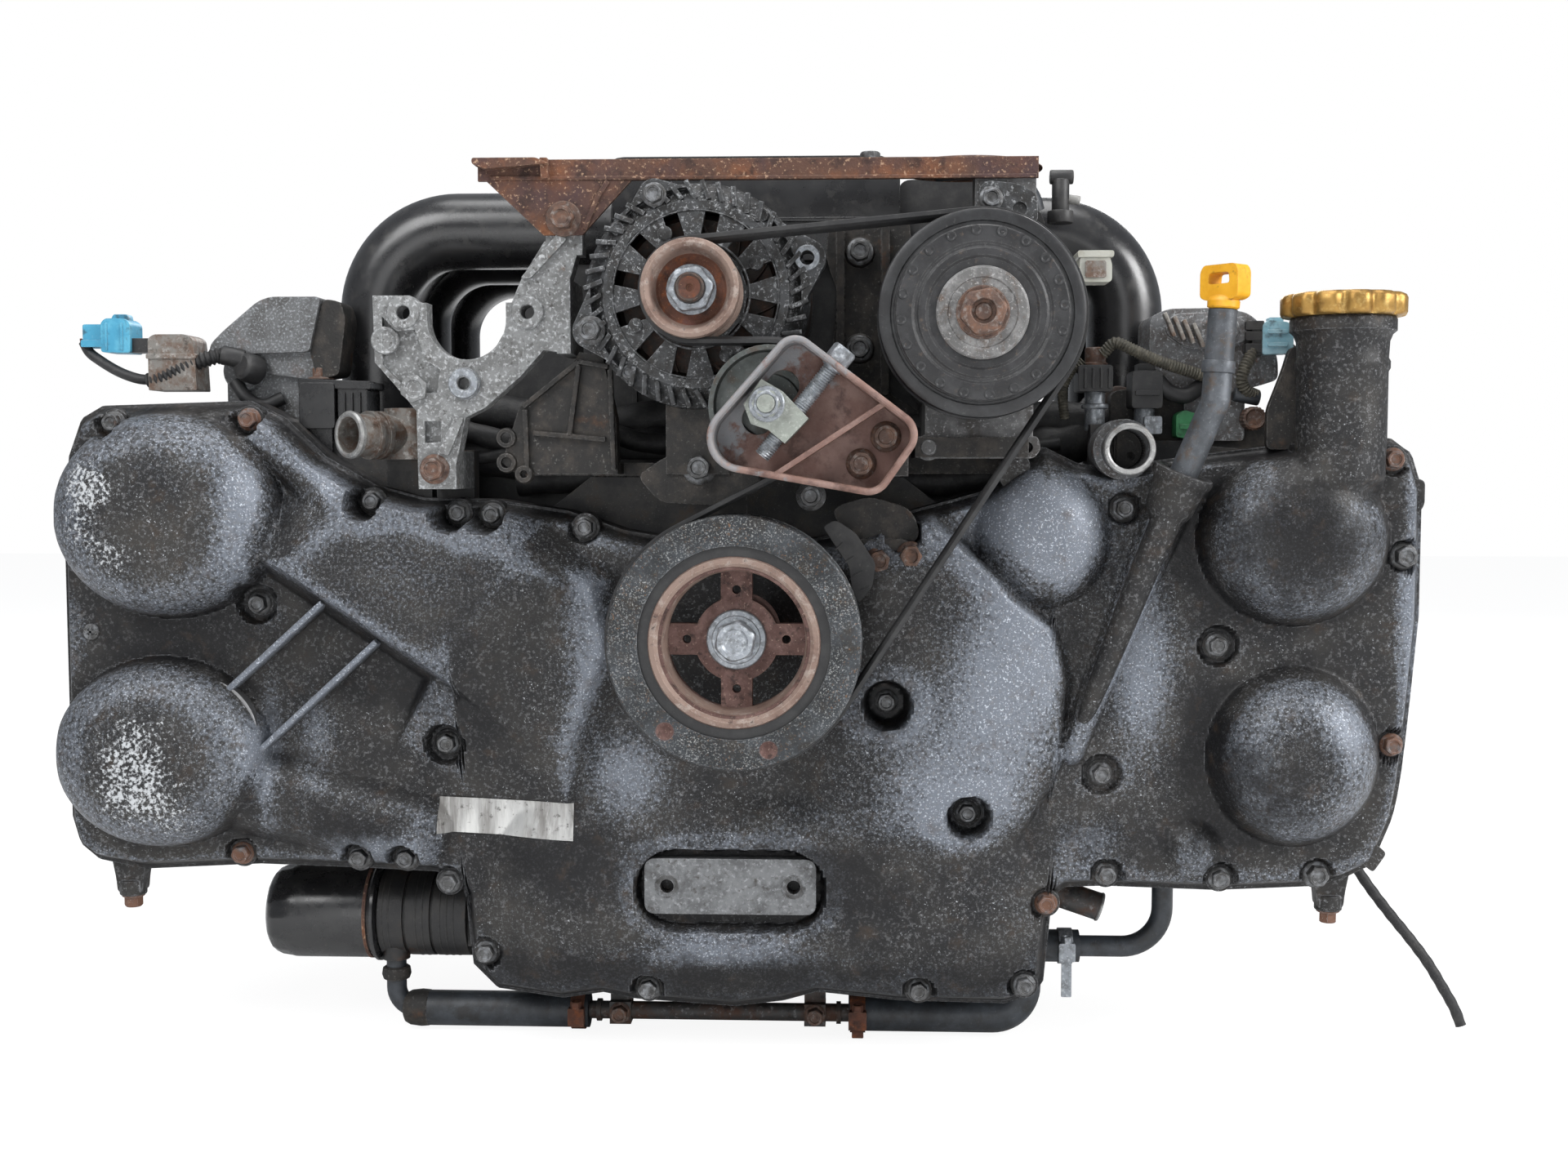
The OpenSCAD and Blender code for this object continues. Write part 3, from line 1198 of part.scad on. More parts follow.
module dipstick() {
    u = (tube_a - tube_b) / norm(tube_a - tube_b);
    color("gold") union() {
        rod_between(tube_a - stick_len * u, tube_a + 4 * u, 1.6);
        rod_between(tube_a - 10 * u, tube_a - 4 * u, tube_r - 2.4);
        rod_between(tube_a - 5 * u, tube_a + 0.3 * u, 3);
        rod_between(tube_a + 0.3 * u, tube_a + 8 * u, tube_r + 1);
        translate(tube_a + 15 * u) rotate([90, 0, 0]) difference() {
            translate([-13.5, -9, -5]) cube([27, 20, 10]);
            translate([-8, -1, -6]) cube([16, 7, 12]);
        }
    }
}

// Oil filter, cooler and the pipes below the engine
module oil_cooler() {
    color("black") union() {
        difference() {
            cyl_x(cooler_y, cooler_z, cooler_r, elbow_x - 8.6, -184);
            for (x = [elbow_x + 8, elbow_x + 26]) difference() {
                cyl_x(cooler_y, cooler_z, cooler_r + 1, x, x + 2);
                cyl_x(cooler_y, cooler_z, cooler_r - 2, x - 1, x + 3);
            }
        }
        cyl_z(elbow_x, hose_y, 9, cooler_z - cooler_r, cooler_z - 18);
        block(-186, -pan_left - 0.3, cooler_y - 22, cooler_y + 18, cooler_z - 18, cooler_z + 24);
    }
}
module oil_filter() {
    right = elbow_x - 9;
    color("black") translate([right, cooler_y, cooler_z]) rotate([0, -90, 0]) rotate_extrude() polygon([
        [0, 0], [29, 0], [33, 1], [33, 4], [30.5, 5.5], [31, 8], [31, 62], [30, 68], [26, 74],
        [16, 77.5], [0, 78.5]]);
}
module bend(at, from, to, r, radius) {
    translate(at) rotate([90, 0, 0]) rotate([0, 0, from])
        rotate_extrude(angle = to - from) translate([radius, 0]) circle(r);
}
module coolant_pipe() {
    stub_end = [228, hose_y - 3, -183.5];
    stub_start = [pan_right + 3.4, hose_y, -159];
    stub_run = stub_end - stub_start;
    sleeve = pipe_r + 1.5;
    color("silver") difference() {
        union() {
            cyl_x(hose_y, hose_z, pipe_r, -122, 82);
            for (x = [-100, 58]) cyl_x(hose_y, hose_z, sleeve, x, x + 3);
            for (x = [-84, 44]) {
                block(x - 7, x + 7, hose_y - sleeve, hose_y + sleeve, hose_z - sleeve, hose_z + sleeve);
                block(x - 7, x + 7, hose_y - 1.5, hose_y + 1.5, hose_z, -pan_front_z - 0.3);
            }
            rod_between(stub_start, stub_end, 9);
        }
        rod_between(stub_end - 0.2 * stub_run, stub_end + 0.02 * stub_run, 7.2);
    }
}
module coolant_hoses() {
    r = hose_r;
    color("black") difference() {
        union() {
            cyl_x(hose_y, hose_z, r, elbow_x + 22, -105);
            cyl_x(hose_y, hose_z, r, 66, 160);
            bend([160, hose_y, hose_z + 20], 270, 360, r, 20);
            cyl_z(180, hose_y, r, hose_z + 20, -208);
            cyl_x(hose_y, -204, r, pan_right + 0.3, 186);
            cyl_x(hose_y + 2, -211, r - 1, 190, 216);
            cyl_x(hose_y + 2, -211, 6.8, 210, 244);
            bend([244, hose_y + 2, -185], 270, 360, 6.8, 26);
            cyl_z(270, hose_y + 2, 6.8, -185, -port_z - 0.3);
            bend([elbow_x + 14, hose_y, hose_z + 14], 180, 270, 6.5, 14);
            cyl_z(elbow_x, hose_y, 6.5, hose_z + 14, cooler_z - cooler_r - 0.3);
            cyl_x(hose_y, hose_z, 6.5, elbow_x + 14, elbow_x + 24);
        }
        cyl_x(hose_y, hose_z, pipe_r + 0.1, -123, -104);
        cyl_x(hose_y, hose_z, pipe_r + 0.1, 65, 83);
    }
}

// Cast boxes above the two heads, placed by a point on each head
box_left = [-324, head_half_h + 47];
box_left_len = 30;
box_left_shape = [[-20, 0], [-20, 16], [15, 47.5], [51, 47.5], [61, 43], [37, 15], [48, 0]];
box_right = [306, head_half_h + 35];
box_right_len = min(46, runner_front - runner_r - y_block - 4);
box_right_shape = [[-38, 36, 13], [-34, 12, 14], [12, 10, 13], [12, 37, 14]];
module valve_box_left() {
    y0 = y_block - 2;
    y1 = y0 + box_left_len;
    color("darkgray") union() {
        along_y(y0, y1) translate(box_left) polygon(box_left_shape);
        block(box_left[0] - 11, box_left[0] + 33, y0 + 3, y1, head_half_h + 0.2, box_left[1] + 1);
        cyl_y(box_left[0], box_left[1], 14, y0 - 10, y0 + eps);
    }
}
module valve_box_right() {
    y0 = y_block + 2;
    y1 = y0 + box_right_len;
    color("darkgray") union() {
        along_y(y0, y1) translate(box_right) polygon(loop_points(box_right_shape, 8));
        block(box_right[0] - 16, box_right[0] + 16, y0 + 10, y1 - 6, head_half_h + 0.2, box_right[1]);
    }
}

// Cut cable at the lower right: a round lead swept along its route
cable_r = 3.5;
cable_y = y_block + 12;
cable_route = [
    [378, cable_y, -112], [378, cable_y, -119], [380, cable_y, -128], [385, cable_y - 1, -141],
    [392, cable_y - 3, -155], [401, cable_y - 7, -169], [412, cable_y - 12, -184],
    [423, cable_y - 17, -198], [433, cable_y - 22, -212], [441, cable_y - 26, -226],
    [448, cable_y - 29, -239], [452, cable_y - 31, -250]
];
function route_dir(p, i) =
    let (d = p[min(i + 1, len(p) - 1)] - p[max(i - 1, 0)]) d / norm(d);
module tube_along(p, r, sides) {
    rings = [for (i = [0 : len(p) - 1])
        let (t = route_dir(p, i))
        let (u = cross(t, [0, 1, 0]) / norm(cross(t, [0, 1, 0])))
        let (v = cross(t, u))
        for (k = [0 : sides - 1]) p[i] + r * (cos(360 * k / sides) * u + sin(360 * k / sides) * v)];
    n = len(p);
    polyhedron(rings, concat(
        [[for (k = [0 : sides - 1]) k]],
        [for (i = [0 : n - 2], k = [0 : sides - 1]) each [
            [i * sides + k, (i + 1) * sides + k, i * sides + (k + 1) % sides],
            [i * sides + (k + 1) % sides, (i + 1) * sides + k, (i + 1) * sides + (k + 1) % sides]]],
        [[for (k = [sides - 1 : -1 : 0]) (n - 1) * sides + k]]));
}
module cut_cable() { color("black") tube_along(cable_route, cable_r, 8); }

front_cover();
cover_bolts();
chain_housing();
crankcase_left();
crankcase_right();
head_left();
head_right();
cam_cover_left();
cam_cover_right();
oil_pan();
crankshaft();
damper_hub();
damper_rubber();
damper_ring();
crank_bolt();
piston_left_1();
piston_left_2();
piston_left_3();
piston_right_1();
piston_right_2();
piston_right_3();
camshaft_left_upper();
camshaft_left_lower();
camshaft_right_upper();
camshaft_right_lower();
timing_chains();
alternator_front();
alternator_rear();
alternator_stator();
alternator_rotor();
alternator_pulley();
alternator_nut();
compressor_body();
compressor_pulley();
clutch_plate();
clutch_nut();
tensioner_bracket();
tensioner_slider();
adjuster_screw();
idler_pulley();
drive_belt();
pump_bracket();
top_rail();
bracket_bolts();
accessory_bracket();
intake_manifold();
throttle_body();
throttle_plate();
coolant_outlet();
coolant_inlet();
oil_cap();
dipstick();
dipstick_tube();
oil_filter();
oil_cooler();
coolant_pipe();
coolant_hoses();
cut_cable();
valve_box_left();
valve_box_right();
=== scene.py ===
"""Dressed model of a horizontally opposed car engine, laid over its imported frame.

Shapes are worked out in millimetres, in the engine's own frame: X to its right, Y to its
rear, Z up, from the crankshaft's axis at the rear flange. They become metres when a Shape
turns into a Blender object.
"""

import json
import logging
import math
from dataclasses import dataclass, field
from enum import Enum

import bmesh
import bpy
import numpy as np
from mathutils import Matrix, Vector
from mathutils.geometry import tessellate_polygon

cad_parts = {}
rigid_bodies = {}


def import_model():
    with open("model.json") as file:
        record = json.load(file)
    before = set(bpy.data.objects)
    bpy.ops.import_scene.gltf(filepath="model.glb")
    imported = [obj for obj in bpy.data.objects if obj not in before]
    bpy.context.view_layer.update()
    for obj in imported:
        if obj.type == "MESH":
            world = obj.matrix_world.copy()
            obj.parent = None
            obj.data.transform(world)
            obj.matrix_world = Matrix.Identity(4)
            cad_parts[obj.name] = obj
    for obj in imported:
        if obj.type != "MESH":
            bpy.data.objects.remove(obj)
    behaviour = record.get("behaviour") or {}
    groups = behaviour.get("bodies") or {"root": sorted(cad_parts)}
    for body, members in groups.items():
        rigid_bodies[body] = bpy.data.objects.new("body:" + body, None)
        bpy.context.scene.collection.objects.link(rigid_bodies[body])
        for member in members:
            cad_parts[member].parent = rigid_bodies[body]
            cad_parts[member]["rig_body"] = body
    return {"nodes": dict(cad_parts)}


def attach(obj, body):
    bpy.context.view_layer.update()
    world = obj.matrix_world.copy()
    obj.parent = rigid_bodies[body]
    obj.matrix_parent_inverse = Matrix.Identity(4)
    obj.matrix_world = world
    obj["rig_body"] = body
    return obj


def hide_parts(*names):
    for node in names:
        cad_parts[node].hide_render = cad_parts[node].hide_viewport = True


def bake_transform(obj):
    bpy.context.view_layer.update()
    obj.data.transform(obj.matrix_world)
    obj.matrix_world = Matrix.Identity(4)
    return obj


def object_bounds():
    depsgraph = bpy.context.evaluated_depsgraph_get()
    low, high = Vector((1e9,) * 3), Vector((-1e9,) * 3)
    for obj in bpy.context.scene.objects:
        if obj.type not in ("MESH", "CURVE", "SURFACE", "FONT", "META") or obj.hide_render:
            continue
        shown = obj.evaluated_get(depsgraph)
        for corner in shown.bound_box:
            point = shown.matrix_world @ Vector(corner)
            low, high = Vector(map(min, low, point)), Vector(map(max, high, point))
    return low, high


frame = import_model()
CAD_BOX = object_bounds()
MM = 0.001
Rgb = tuple[float, float, float]
Point = tuple[float, float, float]
Outline = tuple[tuple[float, float], ...]
Profile = list[tuple[float, float]]
Table = tuple[tuple[float, ...], ...]
Array = np.ndarray
Socket = bpy.types.NodeSocket
log = logging.getLogger("engine")


# ---------------------------------------------------------------- finishes

WORN_COSINES = (0.995, 0.9)
WEAR_BREAKS = (420.0, 0.38, 0.56)
PATCHES = (22.0, 0.36, 0.62)
STREAK_STRETCH = (1.0, 1.0, 0.12)
BREAK_DEPTH = 1.6
NOISE_SPREAD = 0.3
COAT_ROUGHNESS = 0.25


class Pattern(Enum):
    """How a layer of colour is spread over a surface."""

    CLOUD = "cloud"
    SPECKLE = "speckle"
    STREAK = "streak"
    ATTRIBUTE = "attribute"


@dataclass(frozen=True)
class Layer:
    """One layer of colour, laid over what lies under it where its pattern is strong.

    Scale is in features per metre, cover is the share that it hides, soft the width of its
    rims, and reach is how far it may hide what is under it. It may have its own roughness
    and metal, and it may be held to the places that a named attribute marks.
    """

    colour: Rgb
    scale: float = 60.0
    cover: float = 0.5
    soft: float = 0.12
    reach: float = 1.0
    pattern: Pattern = Pattern.CLOUD
    rough: float | None = None
    metal: float | None = None
    held_to: str = ""


class Nodes:
    """Writes one material's nodes on Object coordinates."""

    def __init__(self, name: str) -> None:
        """Starts an empty material.

        Args:
            name: name of the material.
        """
        self.material = bpy.data.materials.new(name)
        self.material.use_nodes = True
        self.tree = self.material.node_tree
        self.tree.nodes.clear()
        self.out = self.add("ShaderNodeOutputMaterial")
        self.where = self.add("ShaderNodeTexCoord").outputs["Object"]

    def add(self, kind: str, **values: object) -> bpy.types.Node:
        """Adds a node, with its properties and inputs set by name.

        Args:
            kind: Blender's name of the node type.
            values: properties, or inputs as numbers or sockets to link from.

        Returns:
            The new node.
        """
        node = self.tree.nodes.new(kind)
        for key, value in values.items():
            if hasattr(node, key):
                setattr(node, key, value)
                continue
            socket = node.inputs[key.replace("_", " ")]
            self.feed(socket, value)
        return node

    def feed(self, socket: Socket, value: object) -> None:
        """Links a socket, or sets its value.

        Args:
            socket: the input.
            value: an output socket or a plain value.
        """
        if isinstance(value, Socket):
            self.tree.links.new(value, socket)
        else:
            socket.default_value = value

    def noise(self, scale: float, detail: float = 5.0, roughness: float = 0.6,
              stretch: Point | None = None) -> Socket:
        """Fractal noise over the object.

        Args:
            scale: features per metre.
            detail: octaves.
            roughness: share of the finer octaves.
            stretch: scale of the place along X, Y and Z.

        Returns:
            A socket with the noise, about 0.5 on average.
        """
        where = self.where
        if stretch:
            where = self.add("ShaderNodeMapping", Vector=where, Scale=stretch).outputs[0]
        node = self.add("ShaderNodeTexNoise", Vector=where, Scale=scale, Detail=detail,
                        Roughness=roughness)
        return node.outputs["Fac"]

    def ramp(self, value: Socket, low: float, high: float,
             top: float = 1.0) -> Socket:
        """Maps low…high smoothly to 0…top.

        Args:
            value: the socket to map.
            low: where it gives 0.
            high: where it gives top.
            top: the largest result.

        Returns:
            A socket with the result.
        """
        node = self.add("ShaderNodeMapRange", Value=value, interpolation_type="SMOOTHSTEP")
        node.inputs["From Min"].default_value = low
        node.inputs["From Max"].default_value = high
        node.inputs["To Max"].default_value = top
        return node.outputs[0]

    def maths(self, operation: str, a: object, b: object) -> Socket:
        """One sum of two values.

        Args:
            operation: Blender's name of the sum.
            a: first socket or number.
            b: second socket or number.

        Returns:
            A socket with the result.
        """
        node = self.add("ShaderNodeMath", operation=operation)
        self.feed(node.inputs[0], a)
        self.feed(node.inputs[1], b)
        return node.outputs[0]

    def attribute(self, name: str) -> Socket:
        """The value of a vertex attribute."""
        return self.add("ShaderNodeAttribute", attribute_name=name).outputs["Fac"]

    def mix(self, factor: object, a: object, b: object) -> Socket:
        """Mixes two colours.

        Args:
            factor: share of the second.
            a: first socket or Rgb.
            b: second socket or Rgb.

        Returns:
            A socket with the mixed colour.
        """
        node = self.add("ShaderNodeMix", data_type="RGBA")
        self.feed(node.inputs[0], factor)
        for socket, value in ((node.inputs[6], a), (node.inputs[7], b)):
            self.feed(socket, (*value, 1.0) if isinstance(value, tuple) else value)
        return node.outputs[2]

    def blend(self, factor: object, a: object, b: object) -> Socket:
        """Mixes two numbers.

        Args:
            factor: share of the second.
            a: first socket or number.
            b: second socket or number.

        Returns:
            A socket with the mixed number.
        """
        node = self.add("ShaderNodeMix", data_type="FLOAT")
        for index, value in ((0, factor), (2, a), (3, b)):
            self.feed(node.inputs[index], value)
        return node.outputs[0]


@dataclass(frozen=True)
class Finish:
    """A weathered surface: a ground colour, layers over it, worn edges and a fine grain.

    The height of the grain is grain millimetres at grain_scale features per metre, with
    coarser dents of dent millimetres. Edges are rounded in the shading over round_mm, and
    an edge is worn where the rounded normal leaves the flat one, in broken patches.
    """

    name: str
    ground: Rgb
    layers: tuple[Layer, ...] = ()
    rough: float = 0.5
    metal: float = 0.0
    grain: float = 0.05
    grain_scale: float = 1400.0
    dent: float = 0.0
    dent_scale: float = 160.0
    edge: Rgb | None = None
    edge_reach: float = 0.6
    round_mm: float = 0.8
    coat: float = 0.0
    clear: float = 0.0
    gloss: float = 0.5
    made: dict[str, bpy.types.Material] = field(default_factory=dict, compare=False, repr=False)

    def mask(self, nodes: Nodes, layer: Layer) -> Socket:
        """Where a layer lies, from 0 to its reach.

        Args:
            nodes: the material being written.
            layer: the layer.

        Returns:
            A socket with the mask.
        """
        if layer.pattern is Pattern.ATTRIBUTE:
            value = nodes.attribute(layer.held_to)
            broken = nodes.noise(layer.scale)
            value = nodes.maths("ADD", value, nodes.maths("MULTIPLY", nodes.maths(
                "SUBTRACT", broken, 0.5), BREAK_DEPTH))
            edge = 1.0 - layer.cover
            return nodes.ramp(value, edge - layer.soft, edge + layer.soft, layer.reach)
        stretch = STREAK_STRETCH if layer.pattern is Pattern.STREAK else None
        value = nodes.noise(layer.scale, roughness=0.65, stretch=stretch)
        edge = 0.5 + NOISE_SPREAD * (1.0 - 2.0 * layer.cover)
        value = nodes.ramp(value, edge - layer.soft, edge + layer.soft, layer.reach)
        if layer.pattern is Pattern.SPECKLE:
            coarser, low, high = PATCHES
            patch = nodes.ramp(nodes.noise(layer.scale / coarser, 4.0), low, high)
            value = nodes.maths("MULTIPLY", value, patch)
        if layer.held_to:
            value = nodes.maths("MULTIPLY", value, nodes.attribute(layer.held_to))
        return value

    def worn(self, nodes: Nodes, rounded: Socket, colour: object) -> Socket:
        """Lays the edges' colour over a colour, in broken patches.

        Args:
            nodes: the material being written.
            rounded: the normal with its edges rounded.
            colour: the colour under it, a socket or Rgb.

        Returns:
            A socket with the colour.
        """
        flat = nodes.add("ShaderNodeNewGeometry").outputs["Normal"]
        dot = nodes.add("ShaderNodeVectorMath", operation="DOT_PRODUCT")
        nodes.feed(dot.inputs[0], flat)
        nodes.feed(dot.inputs[1], rounded)
        bare = nodes.ramp(dot.outputs["Value"], *WORN_COSINES, self.edge_reach)
        scale, low, high = WEAR_BREAKS
        broken = nodes.ramp(nodes.noise(scale, 4.0), low, high)
        return nodes.mix(nodes.maths("MULTIPLY", bare, broken), colour, self.edge)

    def height(self, nodes: Nodes) -> Socket:
        """The height of the grain, and of the dents if it has them.

        Args:
            nodes: the material being written.

        Returns:
            A socket with the height in millimetres.
        """
        height = nodes.maths("MULTIPLY", nodes.noise(self.grain_scale, 3.0), self.grain)
        if self.dent:
            dents = nodes.maths("MULTIPLY", nodes.noise(self.dent_scale, 3.0), self.dent)
            height = nodes.maths("ADD", height, dents)
        return height

    def material(self) -> bpy.types.Material:
        """Makes the material once and returns it each time."""
        if self.name in self.made:
            return self.made[self.name]
        nodes = Nodes(self.name)
        shader = nodes.add("ShaderNodeBsdfPrincipled")
        colour: object = self.ground
        rough: object = self.rough
        metal: object = self.metal
        for layer in self.layers:
            mask = self.mask(nodes, layer)
            colour = nodes.mix(mask, colour, layer.colour)
            if layer.rough is not None:
                rough = nodes.blend(mask, rough, layer.rough)
            if layer.metal is not None:
                metal = nodes.blend(mask, metal, layer.metal)
        rounded = nodes.add("ShaderNodeBevel", samples=3)
        rounded.inputs["Radius"].default_value = self.round_mm * MM
        if self.edge:
            colour = self.worn(nodes, rounded.outputs[0], colour)
        if isinstance(colour, tuple):
            colour = (*colour, 1.0)
        for name, value in (("Base Color", colour), ("Roughness", rough), ("Metallic", metal)):
            nodes.feed(shader.inputs[name], value)
        bump = nodes.add("ShaderNodeBump", Height=self.height(nodes),
                         Normal=rounded.outputs[0])
        bump.inputs["Distance"].default_value = MM
        bump.inputs["Strength"].default_value = 1.0
        nodes.feed(shader.inputs["Normal"], bump.outputs[0])
        for name, value in (("Specular IOR Level", self.gloss), ("Coat Weight", self.coat),
                            ("Coat Roughness", COAT_ROUGHNESS),
                            ("Transmission Weight", self.clear)):
            shader.inputs[name].default_value = value
        nodes.tree.links.new(shader.outputs[0], nodes.out.inputs["Surface"])
        self.made[self.name] = nodes.material
        return nodes.material


RUST_ORANGE: Rgb = (0.26, 0.075, 0.022)
RUST_BROWN: Rgb = (0.085, 0.032, 0.018)
RUST_DARK: Rgb = (0.028, 0.014, 0.011)
RUST_PALE: Rgb = (0.42, 0.25, 0.15)
OXIDE: Rgb = (0.62, 0.64, 0.66)
SOOT: Rgb = (0.008, 0.008, 0.009)

CAST_COVER = Finish(
    "cover_cast", (0.017, 0.017, 0.018), (
        Layer((0.046, 0.043, 0.039), 24, 0.45, 0.18, 0.75),
        # Painted sheen: this bluish layer and the bluish-white speckle three rows down lie where
        # the wear mark is, which holds real wear and painted highlights.
        Layer((0.18, 0.2, 0.235), 380, 0.45, 0.36, 0.85, Pattern.ATTRIBUTE, held_to="wear_and_sheen"),
        Layer((0.17, 0.17, 0.175), 430, 0.36, 0.07, 0.5),
        Layer((0.55, 0.57, 0.6), 620, 0.25, 0.04, 0.8, Pattern.SPECKLE),
        Layer((0.6, 0.64, 0.7), 760, 0.32, 0.05, 0.85, held_to="wear_and_sheen"),
        # Painted shade: soot where the grime mark is, which holds painted shade in hollows and on
        # shaded sides as well as grease.
        Layer(SOOT, 60, 0.42, 0.5, 0.85, Pattern.ATTRIBUTE, 0.4, held_to="grime_and_shade"),
        Layer((0.06, 0.04, 0.026), 70, 0.24, 0.12, 0.5),
        Layer(OXIDE, 420, 0.36, 0.12, 0.8, Pattern.ATTRIBUTE, 0.8, held_to="oxide"),
    ), rough=0.5, metal=0.3, grain=0.22, grain_scale=800, dent=0.45, dent_scale=140,
    edge=(0.36, 0.37, 0.39), edge_reach=0.45, round_mm=1.0, gloss=0.32)
CAST_DARK = Finish(
    "case_cast", (0.03, 0.03, 0.031), (
        Layer((0.075, 0.07, 0.064), 30, 0.45, 0.14, 0.8),
        Layer((0.055, 0.034, 0.02), 60, 0.3, 0.1, 0.7),
        Layer((0.3, 0.3, 0.3), 800, 0.26, 0.06, 0.7, Pattern.SPECKLE),
        Layer(SOOT, 22, 0.32, 0.12, 0.8, rough=0.35),
    ), rough=0.6, metal=0.3, grain=0.12, grain_scale=900, dent=0.3, dent_scale=120,
    edge=(0.25, 0.25, 0.25), edge_reach=0.5, round_mm=1.0)
CAST_CAM = Finish(
    "cam_cover_cast", (0.05, 0.05, 0.052), (
        Layer((0.11, 0.105, 0.1), 34, 0.45, 0.14, 0.8),
        Layer((0.06, 0.04, 0.025), 50, 0.3, 0.1, 0.7),
        Layer((0.4, 0.41, 0.42), 900, 0.26, 0.06, 0.7, Pattern.SPECKLE),
        Layer(SOOT, 20, 0.25, 0.12, 0.8),
    ), rough=0.6, metal=0.3, grain=0.12, grain_scale=900, dent=0.3, dent_scale=120,
    edge=(0.3, 0.3, 0.3), edge_reach=0.5, round_mm=1.0)
CAST_BRIGHT = Finish(
    "bracket_cast", (0.22, 0.225, 0.225), (
        Layer((0.13, 0.13, 0.128), 120, 0.52, 0.12, 0.8),
        Layer((0.5, 0.51, 0.52), 420, 0.36, 0.08, 0.8),
        Layer((0.05, 0.045, 0.04), 260, 0.27, 0.07, 0.8),
        Layer((0.2, 0.1, 0.05), 60, 0.16, 0.07, 0.6),
    ), rough=0.6, metal=0.45, grain=0.28, grain_scale=700, dent=0.5, dent_scale=190,
    edge=(0.62, 0.63, 0.64), edge_reach=0.6, round_mm=1.0)
CAST_GREY = Finish(
    "alternator_cast", (0.06, 0.062, 0.065), (
        Layer((0.024, 0.023, 0.022), 90, 0.5, 0.12, 0.9),
        Layer((0.34, 0.35, 0.36), 420, 0.32, 0.06, 0.75),
        Layer((0.62, 0.63, 0.64), 640, 0.26, 0.04, 0.85, Pattern.SPECKLE),
        Layer((0.03, 0.026, 0.022), 150, 0.26, 0.09, 0.85),
        Layer((0.16, 0.075, 0.04), 48, 0.14, 0.06, 0.6),
    ), rough=0.55, metal=0.4, grain=0.18, grain_scale=800, dent=0.35, dent_scale=170,
    edge=(0.34, 0.35, 0.36), edge_reach=0.6, round_mm=0.9)
CAST_SOOTY = Finish(
    "dark_cast", (0.02, 0.019, 0.018), (
        Layer((0.06, 0.05, 0.042), 70, 0.4, 0.12, 0.75),
        Layer((0.2, 0.19, 0.18), 500, 0.26, 0.07, 0.7, Pattern.SPECKLE),
        Layer((0.1, 0.045, 0.02), 40, 0.2, 0.08, 0.7),
    ), rough=0.62, metal=0.3, grain=0.3, grain_scale=600, dent=0.5, dent_scale=130,
    edge=(0.28, 0.27, 0.26), edge_reach=0.55, round_mm=1.0)
RUSTY = Finish(
    "rust_iron", RUST_BROWN, (
        Layer((0.13, 0.05, 0.03), 60, 0.5, 0.16, 0.8),
        Layer(RUST_ORANGE, 140, 0.32, 0.1, 0.75, rough=0.9),
        Layer(RUST_DARK, 85, 0.34, 0.09, 0.85),
        Layer((0.1, 0.05, 0.055), 30, 0.3, 0.12, 0.6),
        Layer(RUST_PALE, 700, 0.2, 0.06, 0.7),
    ), rough=0.78, metal=0.1, grain=0.3, grain_scale=900, dent=0.4, dent_scale=260,
    edge=(0.3, 0.17, 0.1), edge_reach=0.5, round_mm=0.9)
RUST_RAIL = Finish(
    "rail_rust", (0.09, 0.043, 0.028), (
        Layer((0.22, 0.085, 0.036), 34, 0.38, 0.12, 0.85, rough=0.9),
        Layer((0.05, 0.027, 0.03), 24, 0.42, 0.14, 0.8),
        Layer(RUST_DARK, 90, 0.36, 0.1, 0.85),
        Layer((0.4, 0.26, 0.17), 420, 0.3, 0.05, 0.8),
    ), rough=0.8, metal=0.1, grain=0.35, grain_scale=800, dent=0.6, dent_scale=210,
    edge=(0.4, 0.27, 0.19), edge_reach=0.5, round_mm=0.9)
RUST_TRAY = Finish(
    "tray_steel", (0.175, 0.1, 0.083), (
        Layer((0.28, 0.19, 0.165), 46, 0.46, 0.13, 0.8),
        Layer((0.075, 0.042, 0.036), 80, 0.34, 0.1, 0.8),
        Layer((0.23, 0.25, 0.265), 120, 0.4, 0.12, 0.8, Pattern.ATTRIBUTE, 0.5, 0.5, "zinc"),
        Layer((0.38, 0.22, 0.14), 620, 0.2, 0.06, 0.6),
    ), rough=0.72, metal=0.15, grain=0.2, grain_scale=900, dent=0.25, dent_scale=240,
    edge=(0.36, 0.2, 0.12), edge_reach=0.5, round_mm=0.9)
CREAM_RUST = Finish(
    "pulley_cream", (0.235, 0.165, 0.135), (
        Layer((0.12, 0.066, 0.05), 75, 0.46, 0.12, 0.85),
        Layer((0.4, 0.34, 0.3), 150, 0.36, 0.09, 0.75),
        Layer(RUST_ORANGE, 210, 0.16, 0.06, 0.6),
        Layer(RUST_DARK, 300, 0.26, 0.06, 0.85),
    ), rough=0.65, metal=0.25, grain=0.12, grain_scale=900, dent=0.2, dent_scale=250,
    edge=(0.6, 0.5, 0.42), edge_reach=0.5, round_mm=0.8)
ZINC = Finish(
    "zinc_bright", (0.27, 0.29, 0.315), (
        Layer((0.13, 0.135, 0.14), 190, 0.42, 0.12, 0.8),
        Layer((0.52, 0.55, 0.58), 420, 0.34, 0.1, 0.75),
        Layer((0.16, 0.075, 0.04), 150, 0.16, 0.06, 0.8, rough=0.8),
    ), rough=0.45, metal=0.65, grain=0.06, grain_scale=1200, dent=0.12, dent_scale=320,
    edge=(0.6, 0.62, 0.65), edge_reach=0.5, round_mm=0.6)
ZINC_GREEN = Finish(
    "slider_zinc", (0.27, 0.29, 0.26), (
        Layer((0.17, 0.175, 0.16), 130, 0.42, 0.13, 0.8),
        Layer((0.45, 0.47, 0.43), 400, 0.34, 0.1, 0.7),
        Layer((0.1, 0.08, 0.06), 200, 0.18, 0.07, 0.8),
    ), rough=0.5, metal=0.5, grain=0.08, grain_scale=1100, dent=0.12, dent_scale=300,
    edge=(0.55, 0.57, 0.53), edge_reach=0.5, round_mm=0.7)
